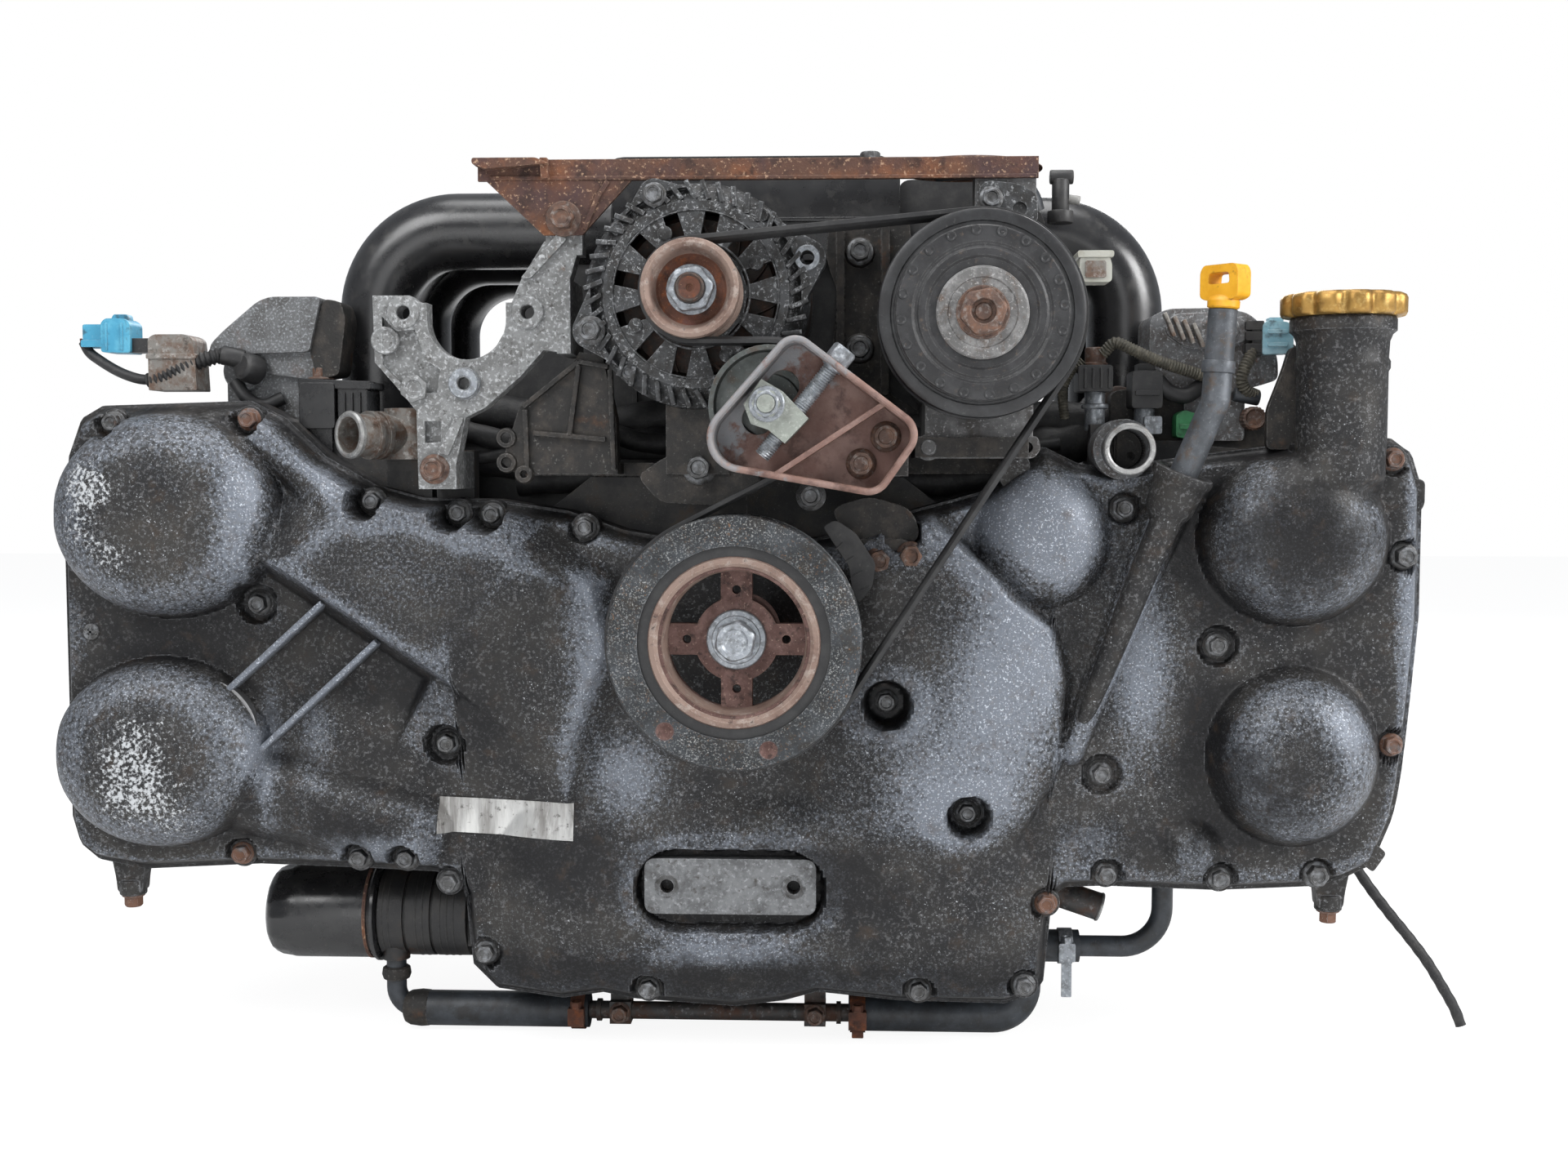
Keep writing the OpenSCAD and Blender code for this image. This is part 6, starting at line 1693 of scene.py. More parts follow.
    def relief(self, x: Array, z: Array) -> Array:
        """Height of the casting over its flange, before its bosses are cut.

        A pot is h · (1 − qⁿ)^m at the distance q over its two radii; a ridge is
        h · (1 − (d / w)³)^0.6 at the distance d from its line. A wedge is a level that falls
        by each of its edges' slopes times the distance beyond that edge, so that its faces
        meet in creases. The cheek, h · (1 − (d / w)³)^0.8, is cut off at its crease.

        Args:
            x: sideways places.
            z: heights of those places.

        Returns:
            The relief at each place.
        """
        height = np.full(x.shape, self.base)
        d, t = self.off_line(x, z, self.cheek)
        q = np.minimum(d / (self.cheek[4] + (self.cheek[5] - self.cheek[4]) * t), 1)
        crease = np.interp(z, *np.array(self.crease, float).T)
        mound = self.cheek[6] * (1 - q ** 3) ** 0.8 * self.smooth((crease + 5 - x) / 13)
        height = self.soft_max(height, mound, 8.0)
        for level, edges in self.wedges:
            face = np.full(x.shape, level)
            for ax, az, bx, bz, slope in edges:
                beyond = ((x - ax) * (bz - az) - (z - az) * (bx - ax)) / math.hypot(
                    bx - ax, bz - az)
                face = np.minimum(face, level - slope * beyond)
            height = self.soft_max(height, face, 4.0)
        for x1, z1, x2, z2, w1, w2, tall in self.ridges:
            d, t = self.off_line(x, z, (x1, z1, x2, z2))
            q = np.minimum(d / (w1 + (w2 - w1) * t), 1)
            height = self.soft_max(height, tall * (1 - q ** 3) ** 0.6)
        for px, pz, wide, high, tall, n, m in self.pots:
            q = np.minimum(np.hypot((x - px) / wide, (z - pz) / high), 1)
            height = self.soft_max(height, tall * (1 - q ** n) ** m, 16.0 if n < 4 else 9.0)
        return height

    def with_neck(self, x: Array, z: Array, height: Array) -> Array:
        """Blends the root of the filler neck, c + √(r² − d²) high, into the dome under it.

        Args:
            x: sideways places.
            z: heights of those places.
            height: the relief without the neck.

        Returns:
            The relief with it.
        """
        at, centre, radius = self.neck_at
        d = np.abs(x - at)
        rise = self.smooth((z - 74) / 22)
        root = rise * (centre + np.sqrt(np.maximum(radius ** 2 - d ** 2, 0)))
        root = np.where(d < radius, root, 0)
        lifted = self.soft_max(height, root, 18.0)
        return height + (lifted - height) * rise * self.smooth((46 - d) / 12)

    def height(self, x: Array, z: Array) -> Array:
        """The finished height over the flange: the relief under a rounded rim, with pockets
        sunk round the bolts and the recess round the mount pad.

        Args:
            x: sideways places.
            z: heights of those places.

        Returns:
            The height at each place.
        """
        rim = self.smooth((self.outline_distance(x, z) - 1.5) / self.fade)
        height = self.with_neck(x, z, rim * self.relief(x, z))
        pockets = ((self.rim_bolts, self.boss_r + 0.5, self.boss, 4.0),
                   (self.field_bolts, self.boss_r + 2.5, self.boss, 6.0),
                   ((self.blind,), self.boss_r + 2.5, self.blind_floor, 9.0))
        for places, radius, floor, wall in pockets:
            for px, pz in places:
                d = np.hypot(x - px, z - pz)
                lift = self.smooth((d - radius) / wall) * self.wall_high
                height = np.minimum(height, floor + lift - (d < radius) * self.spot_face)
        px, pz, wide, tall = self.pad
        dx = np.maximum(np.abs(x - px) - (wide - tall) / 2 + 2, 0)
        d = np.hypot(dx, z - pz + 2)
        lift = self.smooth((d - tall / 2 - 6.0) / 7.0) * self.wall_high
        return np.minimum(height, self.pad_floor + lift)

    @staticmethod
    def blurred(values: Array, reach: int) -> Array:
        """A box blur run three times each way by running sums.

        Args:
            values: the field.
            reach: half the box's width, in grid steps.

        Returns:
            The blurred field.
        """
        for axis in (0, 1) * 3:
            pad = [(0, 0), (0, 0)]
            pad[axis] = (reach + 1, reach)
            run = np.cumsum(np.pad(values, pad, mode="edge"), axis=axis)
            hi = np.take(run, np.arange(2 * reach + 1, run.shape[axis]), axis=axis)
            lo = np.take(run, np.arange(0, run.shape[axis] - 2 * reach - 1), axis=axis)
            values = (hi - lo) / (2 * reach + 1)
        return values

    def surface(self) -> None:
        """Makes the height field with its marks worked out from its form: wear with
        painted highlight, grime with painted shade, and oxide.

        The wear mark, partly painted highlight, is where the height stands over its own
        blur, plus the painted sheen spots; the grime mark, partly painted shade, is where it
        lies under its blur, plus the dark spots, and it grows darker towards the bottom near
        the sump; oxide lies in round patches on the left domes.
        """
        xs = np.linspace(self.low[0][0], self.low[-1][0], self.columns)
        v = np.linspace(0, 1, self.rows)[None]
        lows = np.interp(xs, *np.array(self.low, float).T)[:, None]
        tops = np.interp(xs, *np.array(self.top, float).T)[:, None]
        z = lows + (tops - lows) * v
        x = np.broadcast_to(xs[:, None], z.shape)
        h = self.height(x, z)
        crest = h - self.blurred(h, 5)
        wide = h - self.blurred(h, 14)
        # Painted highlight: crests and broad rises get paler besides their real wear, and so do
        # the sheen spots.
        wear_and_sheen = self.smooth(crest / 3.0) * 0.4 + self.smooth(wide / 12.0) * 0.12
        wear_and_sheen = self.spotted(wear_and_sheen, x, z, self.painted_sheen)
        root = self.smooth((z - 76) / 18) * self.smooth((46 - np.abs(x - self.neck_at[0])) / 12)
        wear_and_sheen *= 1 - root
        # Painted shade: hollows under the blur get darker; the lower rim gets darker towards the
        # sump, and the spots add grease and painted shade.
        grime_and_shade = self.smooth(-crest / 4.5) * 0.35 + self.smooth(-wide / 14.0) * 0.3
        grime_and_shade += self.smooth((-184 - z) / 40) * 1.1
        grime_and_shade = self.spotted(grime_and_shade, x, z, self.grease_and_shade)
        oxide = self.spotted(np.zeros_like(h), x, z, self.bloom)
        n, m = h.shape
        front = np.stack([x, self.flange - h, z], -1).reshape(-1, 3)
        ring = grid_rim(n, m)
        rear = front[ring].copy()
        rear[:, 1] = self.back
        points = np.vstack([front, rear])
        i = np.arange(len(ring))
        skirt = np.stack([ring, np.roll(ring, -1), np.roll(i, -1) + n * m, i + n * m], 1)
        cap = (i[::-1] + n * m)[None]
        zero = np.zeros(len(rear))
        marks = {"wear_and_sheen": np.clip(wear_and_sheen, 0, 1), "grime_and_shade": np.clip(grime_and_shade, 0, 1),
                 "oxide": np.clip(oxide, 0, 1) * 0.62}
        marks = {k: np.concatenate([a.reshape(-1), zero]) for k, a in marks.items()}
        skin = Shape(points, [grid_faces(n, m), skirt, cap]).build(
            "cover_casting", CAST_COVER, smooth=50, instead_of=("front_cover",), marks=marks)

    def bosses(self) -> None:
        """The round faces under the bolts: short turned posts with a softened rim."""
        made = []
        for x, z in self.rim_bolts + self.field_bolts:
            face = self.flange - self.boss
            made.append(turned_profile(
                [(0, 1.5), (3.4, 1.5), (3.4, 0), (self.boss_r - 1.0, 0),
                 (self.boss_r - 0.3, 0.3), (self.boss_r, 1.0), (self.boss_r + 0.5, 9.0),
                 (self.boss_r + 0.5, self.boss + 4), (0, self.boss + 4)],
                (x, face, z), Y_AXIS, 36))
        total(made).build("cover_bosses", CAST_COVER)

    def rib_pieces(self) -> None:
        """The two thin ribs: a softened section carried just over the relief."""
        made = []
        for x1, z1, x2, z2 in self.ribs:
            t = np.linspace(0, 1, 50)
            x, z = x1 + (x2 - x1) * t, z1 + (z2 - z1) * t
            path = np.stack([x, self.flange - 36.0 + 8.0 * t + 12.0, z], 1)
            made.append(swept(path, box_section(24.0, 3.8, 1.7), Y_AXIS))
        fins = total(made)
        # Paler towards the ribs' proud crests through the cover's bluish layers: real wear and
        # painted highlight.
        worn = np.clip((self.flange - 17.0 - fins.points[:, 1]) / 12.0, 0, 1)
        fins.build("cover_ribs", CAST_COVER, bevel=0.5, marks={"wear_and_sheen": worn})

    def mount(self) -> None:
        """The bright machined mount pad with its two threaded holes."""
        x, z, wide, tall = self.pad
        face, bore = self.flange - 21, self.pad_bore
        corners = [(x - wide / 2, z - tall / 2), (x + wide / 2, z - tall / 2),
                   (x + wide / 2, z + tall / 2), (x - wide / 2, z + tall / 2)]
        places = [x + e * self.pad_holes for e in (-1, 1)]
        plate(rounded(corners, 7.0, 6), face, self.flange - 8,
              [circle(px, z, bore) for px in places]).build("mount_pad", PAD_BRIGHT, bevel=1.2)
        cups = [turned_profile([(bore, 0), (bore, 12), (0, 14)], (px, face, z), Y_AXIS, 28)
                for px in places]
        rims = [turned_profile([(4.4, -0.3), (7.4, -0.3), (7.8, 0.4), (4.4, 0.4)],
                               (px, face, z), Y_AXIS, 36, True) for px in places]
        total(cups).build("mount_threads", CAST_SOOTY, outwards=False)
        total(rims).build("mount_faces", BOLT)

    def neck(self) -> None:
        """The oil filler neck: flared into the dome, stepped, with a flange under the cap."""
        profile = [(0, 96), (24, 96), (25.6, 106), (26.3, 112), (26.5, 118), (26.5, 134),
                   (26.5, 158), (27.6, 160), (27.6, 164), (26.5, 166), (27.0, 176),
                   (28.6, 180), (31.0, 182.0), (31.0, 188.6), (30.2, 190), (21, 190),
                   (20, 189), (20, 100), (0, 98)]
        turned_profile(profile, (self.neck_at[0], -381, 0), Z_AXIS, 72).build(
            "filler_neck", CAST_COVER, smooth=40)

    def collar(self) -> None:
        """The cup that takes the dipstick's tube, on the slanted passage."""
        tube_c, tube_end = np.array([268, -391, 104.0]), np.array([260, -387, 82.0])
        run = unit(tube_end - tube_c)
        profile = [(9.0, 6), (9.0, -4), (10.5, -7), (15.5, -8.5), (18.0, -8), (18.8, -6),
                   (18.4, -3), (16.4, -1), (15.2, 6), (14.4, 16), (11.6, 21), (9.6, 25),
                   (6.0, 28)]
        turned_profile(profile, tube_c + 14 * run, run, 48).build(
            "dipstick_collar", CAST_COVER, smooth=50, outwards=False)
        path = smooth_path([(262, -389, 92), (256, -389, 70), (243, -389, 38),
                            (226, -385, -8), (213, -380, -44), (205, -374, -66)], 60)
        size = np.linspace(9.6, 6.2, 60) * (1 - 0.5 * np.linspace(0, 1, 60) ** 6)
        swept(path, round_section(1.0, 28), Y_AXIS, scale=size).build(
            "dipstick_passage", CAST_COVER)

    def lug_pieces(self) -> None:
        """The two ears that hang below the flange, each with a bolt from below."""
        made = []
        for x, z in self.lugs:
            outline = [(x - 13, z + 9), (x - 9, z - 12), (x - 8, z - 22), (x + 8, z - 22),
                       (x + 9, z - 12), (x + 13, z + 9)]
            made.append(plate(rounded(outline, 3.0, 4), self.flange + 0.5, self.back))
            made.append(rod((x, self.back - 6, z - 24), (x, self.back - 6, z - 14), 8.5, 1.0))
        total(made).build("cover_lugs", CAST_COVER, bevel=0.8)

    def flange_details(self) -> None:
        """The tab on the half dome, the slanted lug, the right tab, a plug and the foil."""
        tab = [(157, 100), (159, 90), (166, 86), (174, 90), (177, 104), (172, 110), (162, 110)]
        lug = [(374, -118), (386, -126), (397, -136), (389, -148), (376, -138), (366, -128)]
        ear = [(407, 96), (417, 93), (417, 78), (411, 70)]
        pieces = [plate(rounded(tab, 4, 4), self.flange - 12, self.flange),
                  plate(rounded(lug, 2.5, 4), self.flange - 13, self.flange),
                  plate(rounded(ear, 3, 4), self.flange - 6, self.back)]
        total(pieces).build("cover_tabs", CAST_COVER, bevel=1.2)
        plug = turned_profile([(0, 0.8), (2.2, 0.8), (2.6, 0), (4.6, 0), (5.2, 0.5),
                               (5.2, 6), (0, 6)], (-410, self.flange - 15.5, -2), Y_AXIS, 36)
        cross = [block((-410 - a, -410 + a), (self.flange - 16.2, self.flange - 14),
                       (-2 - b, -2 + b), 0.3) for a, b in ((4.4, 0.7), (0.7, 4.4))]
        total([plug, *cross]).build("cover_plug", BOLT)
        self.foil()

    def foil(self) -> None:
        """The bare foil plate: a thin sheet that follows the casting, a little buckled.

        Its face stands 0.6 mm over the relief, plus 0.35 · sin(x / 9) · sin(z / 6), and
        nowhere less than 16 mm over the flange.
        """
        u, v = np.meshgrid(np.linspace(0, 1, 60), np.linspace(0, 1, 20), indexing="ij")
        x = -190 + 85 * u
        z = (-126.5 + 22.0 * v) - 4.0 * u + 1.0 * u * v
        y = self.flange - self.height(x, z) - 0.6 - 0.35 * np.sin(x / 9) * np.sin(z / 6)
        y = np.minimum(y, self.flange - 16.0)
        n, m = x.shape
        front = np.stack([x, y, z], -1).reshape(-1, 3)
        rear = front + np.array([0, 0.5, 0])
        ring = grid_rim(n, m)
        after = np.roll(ring, -1)
        skirt = np.stack([ring, ring + n * m, after + n * m, after], 1)
        Shape(np.vstack([front, rear]), [grid_faces(n, m), grid_faces(n, m, start=n * m)[:, ::-1],
                                         skirt]).build("foil_plate", FOIL)

    def bolts(self) -> None:
        """The cover's bolts, each turned its own way, some rusty."""
        seed = np.random.default_rng(7)
        rusty = {(-318, -143), (396, 106), (399, -69), (189, -170), (-308, 131)}
        wide = {(404, 47), (355, -150)}
        made, rust = [], []
        for x, z in self.rim_bolts + self.field_bolts:
            flats = 11.5 if (x, z) in wide else 10.0
            head = bolt((x, self.flange - self.boss, z), TO_FRONT, flats,
                        float(seed.uniform(0, 60)))
            made.append(head)
            share = 0.8 if (x, z) in rusty else float(seed.uniform(0.0, 0.3))
            rust.append(np.full(len(head.points), share))
        x, z = self.blind
        deep = bolt((x, self.flange - self.blind_floor - 0.5, z), TO_FRONT, 10.0, 20.0)
        made.append(deep)
        rust.append(np.full(len(deep.points), 0.1))
        for x, z in self.lugs:
            low = bolt((x, self.back - 6, z - 24), DOWN, 10.0, 15.0)
            made.append(low)
            rust.append(np.full(len(low.points), 1.0))
        heads = total(made).build("cover_bolt_heads", BOLT, instead_of=("cover_bolts",),
                                  marks={"rust": np.concatenate(rust)})

    def make(self) -> None:
        """Makes every piece of the cover."""
        self.surface()
        self.bosses()
        self.rib_pieces()
        self.mount()
        self.neck()
        self.collar()
        self.lug_pieces()
        self.flange_details()
        self.bolts()


# ---------------------------------------------------------------- castings and inner parts

@dataclass
class Castings:
    """Crankcase, heads, covers, chain housing and oil pan, and what turns inside them."""

    dressed: dict[str, Finish] = field(default_factory=lambda: {
        "chain_housing": CAST_DARK, "crankcase_left": CAST_DARK, "crankcase_right": CAST_DARK,
        "head_left": CAST_DARK, "head_right": CAST_DARK, "cam_cover_left": CAST_CAM,
        "cam_cover_right": CAST_CAM, "oil_pan": PAN_BLACK,
        "accessory_bracket": CAST_SOOTY, "crankshaft": GROUND_STEEL})
    inner: dict[str, Finish] = field(default_factory=lambda: {
        "piston_left_1": PISTON_ALLOY, "piston_left_2": PISTON_ALLOY,
        "piston_left_3": PISTON_ALLOY, "piston_right_1": PISTON_ALLOY,
        "piston_right_2": PISTON_ALLOY, "piston_right_3": PISTON_ALLOY,
        "camshaft_left_upper": GROUND_STEEL, "camshaft_left_lower": GROUND_STEEL,
        "camshaft_right_upper": GROUND_STEEL, "camshaft_right_lower": GROUND_STEEL,
        "timing_chains": CHAIN_STEEL})

    def make(self) -> None:
        """Coats what is seen and paints what is inside."""
        for node, finish in self.dressed.items():
            coated(node, finish)
        for node, finish in self.inner.items():
            painted(node, finish)


# ---------------------------------------------------------------- belt drive

PULLEY_FRONT = -438.4


@dataclass
class Damper:
    """Crank damper: iron ring on rubber round a pressed hub with four spokes."""

    front: float = -448.0

    def make(self) -> None:
        """Coats the CAD parts, and adds the bolt, its washer and the balance drillings."""
        ring = coated("damper_ring", DAMPER_IRON, 24)
        coated("damper_rubber", RUBBER, 24)
        coated("damper_hub", HUB_RUST, 24)
        lip = turned_profile([(43.6, 4), (44.2, -1.2), (46.2, -2.4), (49.2, -2.0), (50.2, 0.6),
                              (50.0, 4)], (0, self.front + 2.4, 0), Y_AXIS, 96)
        lip.build("hub_lip", CREAM_RUST, "crank", outwards=False)
        well = turned_profile([(42.2, 1.5), (41.2, 12), (40.6, 24.6)],
                              (0, self.front, 0), Y_AXIS, 96)
        well.build("hub_well", CREAM_RUST, "crank", outwards=False)
        plate_y = self.front + 25
        head = turned_profile([(7, 1), (17.2, 1), (17.7, 0.4), (17.7, -2.4), (17.0, -3.2),
                               (14.4, -3.6), (14.0, -4.6), (7, -4.8)],
                              (0, plate_y, 0), Y_AXIS, 64)
        head = head + hexagon((0, plate_y - 4.4, 0), TO_FRONT, 22, 12.6, 12, 1.0)
        bolt_head = head.build("crank_bolt_head", ZINC, "crank", instead_of=("crank_bolt",))
        pits = []
        for angle in (-128, -72):
            pits.append(turned_profile([(5.6, -0.1), (4.6, 0.8), (2.4, 2.6), (0, 3.4)],
                                       around(0, 0, 65, angle, self.front), Y_AXIS, 28))
        total(pits).build("balance_pits", HUB_RUST, "crank", outwards=False)


@dataclass
class Alternator:
    """Alternator with a cup pulley, slotted covers and copper windings behind the slots."""

    x: float = -24.7
    z: float = 203.0
    front: float = -412.0
    turns: int = 36
    blades: int = 11
    fins: int = 44

    def around(self, angle: float, radius: float, y: float) -> Array:
        """The point at an angle and radius from the axis."""
        return around(self.x, self.z, radius, angle, y)

    def windings(self) -> None:
        """Loops of wire round both ends of the stator, each a tube on an arch."""
        for name, y, way in (("windings_front", self.front + 30.0, -1.0),
                             ("windings_rear", self.front + 74.0, 1.0)):
            loops = []
            for a in np.arange(self.turns) * (360 / self.turns):
                points = [self.around(a, 58, y - 2 * way), self.around(a + 3, 60, y + 5 * way),
                          self.around(a + 8, 59, y + 7.5 * way),
                          self.around(a + 13, 56, y + 5 * way),
                          self.around(a + 16, 55, y - 2 * way)]
                loops.append(tube(points, 1.9, 12, (0.3, 0.2, 1.0), 8))
            total(loops).build(name, COPPER)

    def fan(self) -> None:
        """Fan blades on the rotor's front: curved plates between two radii."""
        blades = []
        for k in range(self.blades):
            a = k * 360 / self.blades
            arc = [self.around(a + t * 26, 22 + 25 * t, 0) for t in np.linspace(0, 1, 8)]
            line = np.array([(p[0], p[2]) for p in arc])
            wall = np.vstack([line, line[::-1] + np.array([0.8, 0.8])])
            blades.append(plate(wall, self.front + 10.5, self.front + 19.5))
        total(blades).build("alternator_fan", ROTOR, "alternator_shaft")

    def pulley(self) -> None:
        """The cup pulley: deep rusty dish, pale rolled rim, grooved track."""
        outer = [(23.6, -10.2), (25.6, -11.4), (28.0, -10.8), (28.5, -9.4), (28.3, -1.2),
                 (26.2, -0.2)]
        rest = [(26.3, 21.4), (28.5, 22.4), (28.5, 24.9), (12.5, 24.9)]
        dish = [(8.5, 2.2), (18.6, 2.2), (20.4, 0.8), (21.6, -3.0), (23.0, -9.0)]
        turned_profile(dish + outer + belt_grooves(26.2) + rest,
                       (self.x, PULLEY_FRONT, self.z), Y_AXIS, 72).build(
            "alternator_cup", CREAM_RUST, "alternator_shaft",
            instead_of=("alternator_pulley",), outwards=False, smooth=40)
        turned_profile([(21.8, -3.0), (20.7, 0.5), (18.8, 1.9), (8.5, 1.9)],
                       (self.x, PULLEY_FRONT, self.z), Y_AXIS, 64).build(
            "alternator_dish", RUSTY, "alternator_shaft", outwards=False)
        nut = hexagon((self.x, PULLEY_FRONT + 1, self.z), TO_FRONT, 24, 9.0, 22, 0, 8.5)
        washer = turned_profile([(8.6, 0), (14.5, 0), (14.5, 1.4), (8.6, 1.4)],
                                (self.x, -437.6, self.z), Y_AXIS, 40, True)
        (nut + washer).build("alternator_nut_head", ZINC, "alternator_shaft",
                             instead_of=("alternator_nut",))
        end = turned_profile([(0, -8.6), (1.6, -8.6), (2.2, -9.4), (2.2, -10.2), (5.6, -11.6),
                              (7.8, -12.6), (8.4, -11.6), (8.4, 0)],
                             (self.x, PULLEY_FRONT, self.z), Y_AXIS, 48)
        end.build("alternator_shaft_end", RUSTY, "alternator_shaft", outwards=False)

    def make(self) -> None:
        """Makes the alternator."""
        coated("alternator_front", CAST_GREY, 30)
        coated("alternator_rear", CAST_GREY, 30)
        stator = coated("alternator_stator", ROTOR, 24)
        coated("alternator_rotor", ROTOR, 24)
        self.windings()
        self.fan()
        self.pulley()
        rings = []
        for radius, width in ((31.0, 1.3), (48.5, 1.0)):
            rings.append(turned_profile(
                [(radius, 0.4), (radius + 0.4, -0.9), (radius + width, -0.9),
                 (radius + width + 0.4, 0.4)], (self.x, self.front + 2, self.z), Y_AXIS, 80,
                True))
        spots = [turned_profile([(0, -1.6), (3.2, -1.6), (4.2, -1.0), (4.4, 1.5)],
                                self.around(a, 40, self.front + 2), Y_AXIS, 24)
                 for a in (27, 117, 207, 297)]
        total(rings + spots).build("alternator_ribs", CAST_GREY)
        fins = []
        for k in range(self.fins):
            a = k * 360 / self.fins
            near, far = self.around(a, 56.0, 0), self.around(a + 5.0, 66.4, 0)
            line = [p + (0, self.front + 4.5, 0) for p in (near, (near + far) / 2, far)]
            fins.append(swept(np.array(line), box_section(7.0, 3.0, 1.0), Y_AXIS))
        total(fins).build("alternator_fins", CAST_GREY)
        through = [bolt(self.around(a, 60.5, self.front + 10.5), TO_FRONT, 8, 10, 0.66, 0.6)
                   for a in (50, 140, 228, 318)]
        total(through).build("alternator_screws", BOLT)
        ear = [bolt((-49, self.front + 2, 261), TO_FRONT, 10, 5),
               bolt((-87, self.front + 2, 182), TO_FRONT, 12, 25)]
        total(ear).build("alternator_bolts", BOLT)
        turned_profile([(4.3, 0), (7.2, 0), (7.6, 0.6), (7.6, 3), (4.3, 3)],
                       (41, self.front + 1.4, 224), Y_AXIS, 32, True).build("ear_bush", ZINC)


@dataclass
class Compressor:
    """Compressor with its belt pulley and the clutch plate in front."""

    x: float = 141.0
    z: float = 188.0
    disc_y: float = -449.9
    dents: int = 20

    def pulley(self) -> None:
        """The pulley: stepped black face with two fine rings, grooved track."""
        face = [(19.1, -7), (26, -7), (27, -11), (49.6, -11), (50.2, -10.2), (51.4, -10.2),
                (52, -11), (56.6, -11), (58.4, -10.2), (59, -8.8), (59, -1.2), (56.8, -0.2)]
        rest = [(56.8, 21.4), (59, 22.4), (59, 24.4), (53, 24.4), (52, 1), (28, 1),
                (27, 23.4), (19.1, 23.4)]
        turned_profile(face + belt_grooves(56.8) + rest,
                       (self.x, PULLEY_FRONT, self.z), Y_AXIS, 96, True).build(
            "compressor_wheel", CLUTCH_BLACK, "compressor_drive",
            instead_of=("compressor_pulley",), smooth=40)

    def clutch(self) -> None:
        """The clutch plate: a black disc with pressed marks round its rim, a step inside
        them, a bare zinc hub with three rivets and a rusty nut."""
        y = self.disc_y
        disc = [(0, 0), (48.4, 0), (49.2, -0.6), (49.2, -2.6), (48.6, -3.2), (43.0, -3.4),
                (40.0, -3.2), (38.6, -2.4), (37.2, -2.6), (36.0, -3.4), (32.2, -3.5),
                (30.6, -2.4), (29.4, -2.2), (0, -2.2)]
        turned_profile(disc, (self.x, y, self.z), Y_AXIS, 96).build(
            "clutch_disc", CLUTCH_FACE, "clutch", instead_of=("clutch_plate",), smooth=25)
        marks = []
        for k in range(self.dents):
            at = around(self.x, self.z, 46.0, k * 360 / self.dents + 5, y - 3.3)
            marks.append(turned_profile([(3.1, 0.3), (2.8, -0.5), (2.0, -0.4), (1.2, 0.2),
                                         (0, 0.3)], at, Y_AXIS, 18))
        total(marks).build("clutch_marks", CLUTCH_BLACK, "clutch", outwards=False)
        hub = turned_profile([(8, -3.6), (19.2, -3.7), (20.0, -4.4), (25.0, -4.4),
                              (26.2, -3.6), (26.4, -1.5)], (self.x, y, self.z), Y_AXIS, 80)
        rivets = []
        for a in (30, 150, 270):
            at = around(self.x, self.z, 16.4, a, y - 3.6)
            rivets.append(turned_profile([(0, -1.2), (1.6, -1.1), (2.8, -0.6), (3.2, 0.4)],
                                         at, Y_AXIS, 24))
        total([hub, *rivets]).build("clutch_hub", HUB_ZINC, "clutch", outwards=False)
        nut = hexagon((self.x, y - 4.6, self.z), TO_FRONT, 24, 8.4, 18, 0, 6.9)
        washer = turned_profile([(7, 0), (14.6, 0), (15.2, 0.5), (15.2, 1.4), (7, 1.4)],
                                (self.x, y - 5.0, self.z), Y_AXIS, 40, True)
        end = turned_profile([(0, -9.6), (4.4, -9.6), (5.2, -8.8), (6.8, -8.8), (6.8, -2)],
                             (self.x, y, self.z), Y_AXIS, 40)
        total([nut, washer, end]).build("clutch_nut_head", BOLT_RUST, "clutch",
                                        instead_of=("clutch_nut",))

    def make(self) -> None:
        """Makes the compressor."""
        coated("compressor_body", COMPRESSOR, 30)
        self.pulley()
        self.clutch()
        rail = plate(rounded([(106, 119.6), (178, 119.6), (180, 112), (176, 106.5),
                              (108, 106.5), (105, 112)], 2.5, 4), -398, -384,
                     [circle(172, 113, 3.2, 20)])
        stud = turned_profile([(0, -8), (4.2, -8), (5, -7), (5, -2), (7.8, -2), (7.8, 0)],
                              (113, -398, 113), Y_AXIS, 32)
        (rail + stud).build("compressor_rail", COMPRESSOR, bevel=1.0)
        ear = plate(rounded([(141, 264), (150, 250), (170, 241), (177, 246), (176, 262),
                             (165, 268), (146, 270)], 4, 5), -399, -380,
                    [circle(166, 253, 4.2, 24)])
        ear.build("compressor_ear", CAST_GREY, bevel=1.2)
        bolt((149, -399, 259), TO_FRONT, 10, 10).build("compressor_ear_bolt", BOLT)
        body = plate(rounded([(203, 228), (219, 228), (221.5, 222), (221.5, 211), (205, 211),
                              (201.5, 215)], 2.5, 4), -392, -372)
        lip = plate(rounded([(201, 229.5), (222.5, 229.5), (222.5, 225.5), (201, 225.5)], 1.5,
                            4), -393, -371)
        (body + lip).build("clutch_connector", CLEAR, bevel=0.7)
        block((205.5, 218), (-393.2, -391.5), (213.5, 223.5), 1.5).build(
            "clutch_connector_pins", SENSOR_STEEL, bevel=0.4)
        tube([(203, -380, 214), (196, -374, 210), (191, -360, 205)], 3.2, 16, Z_AXIS,
             14).build("clutch_wire", BRAID)


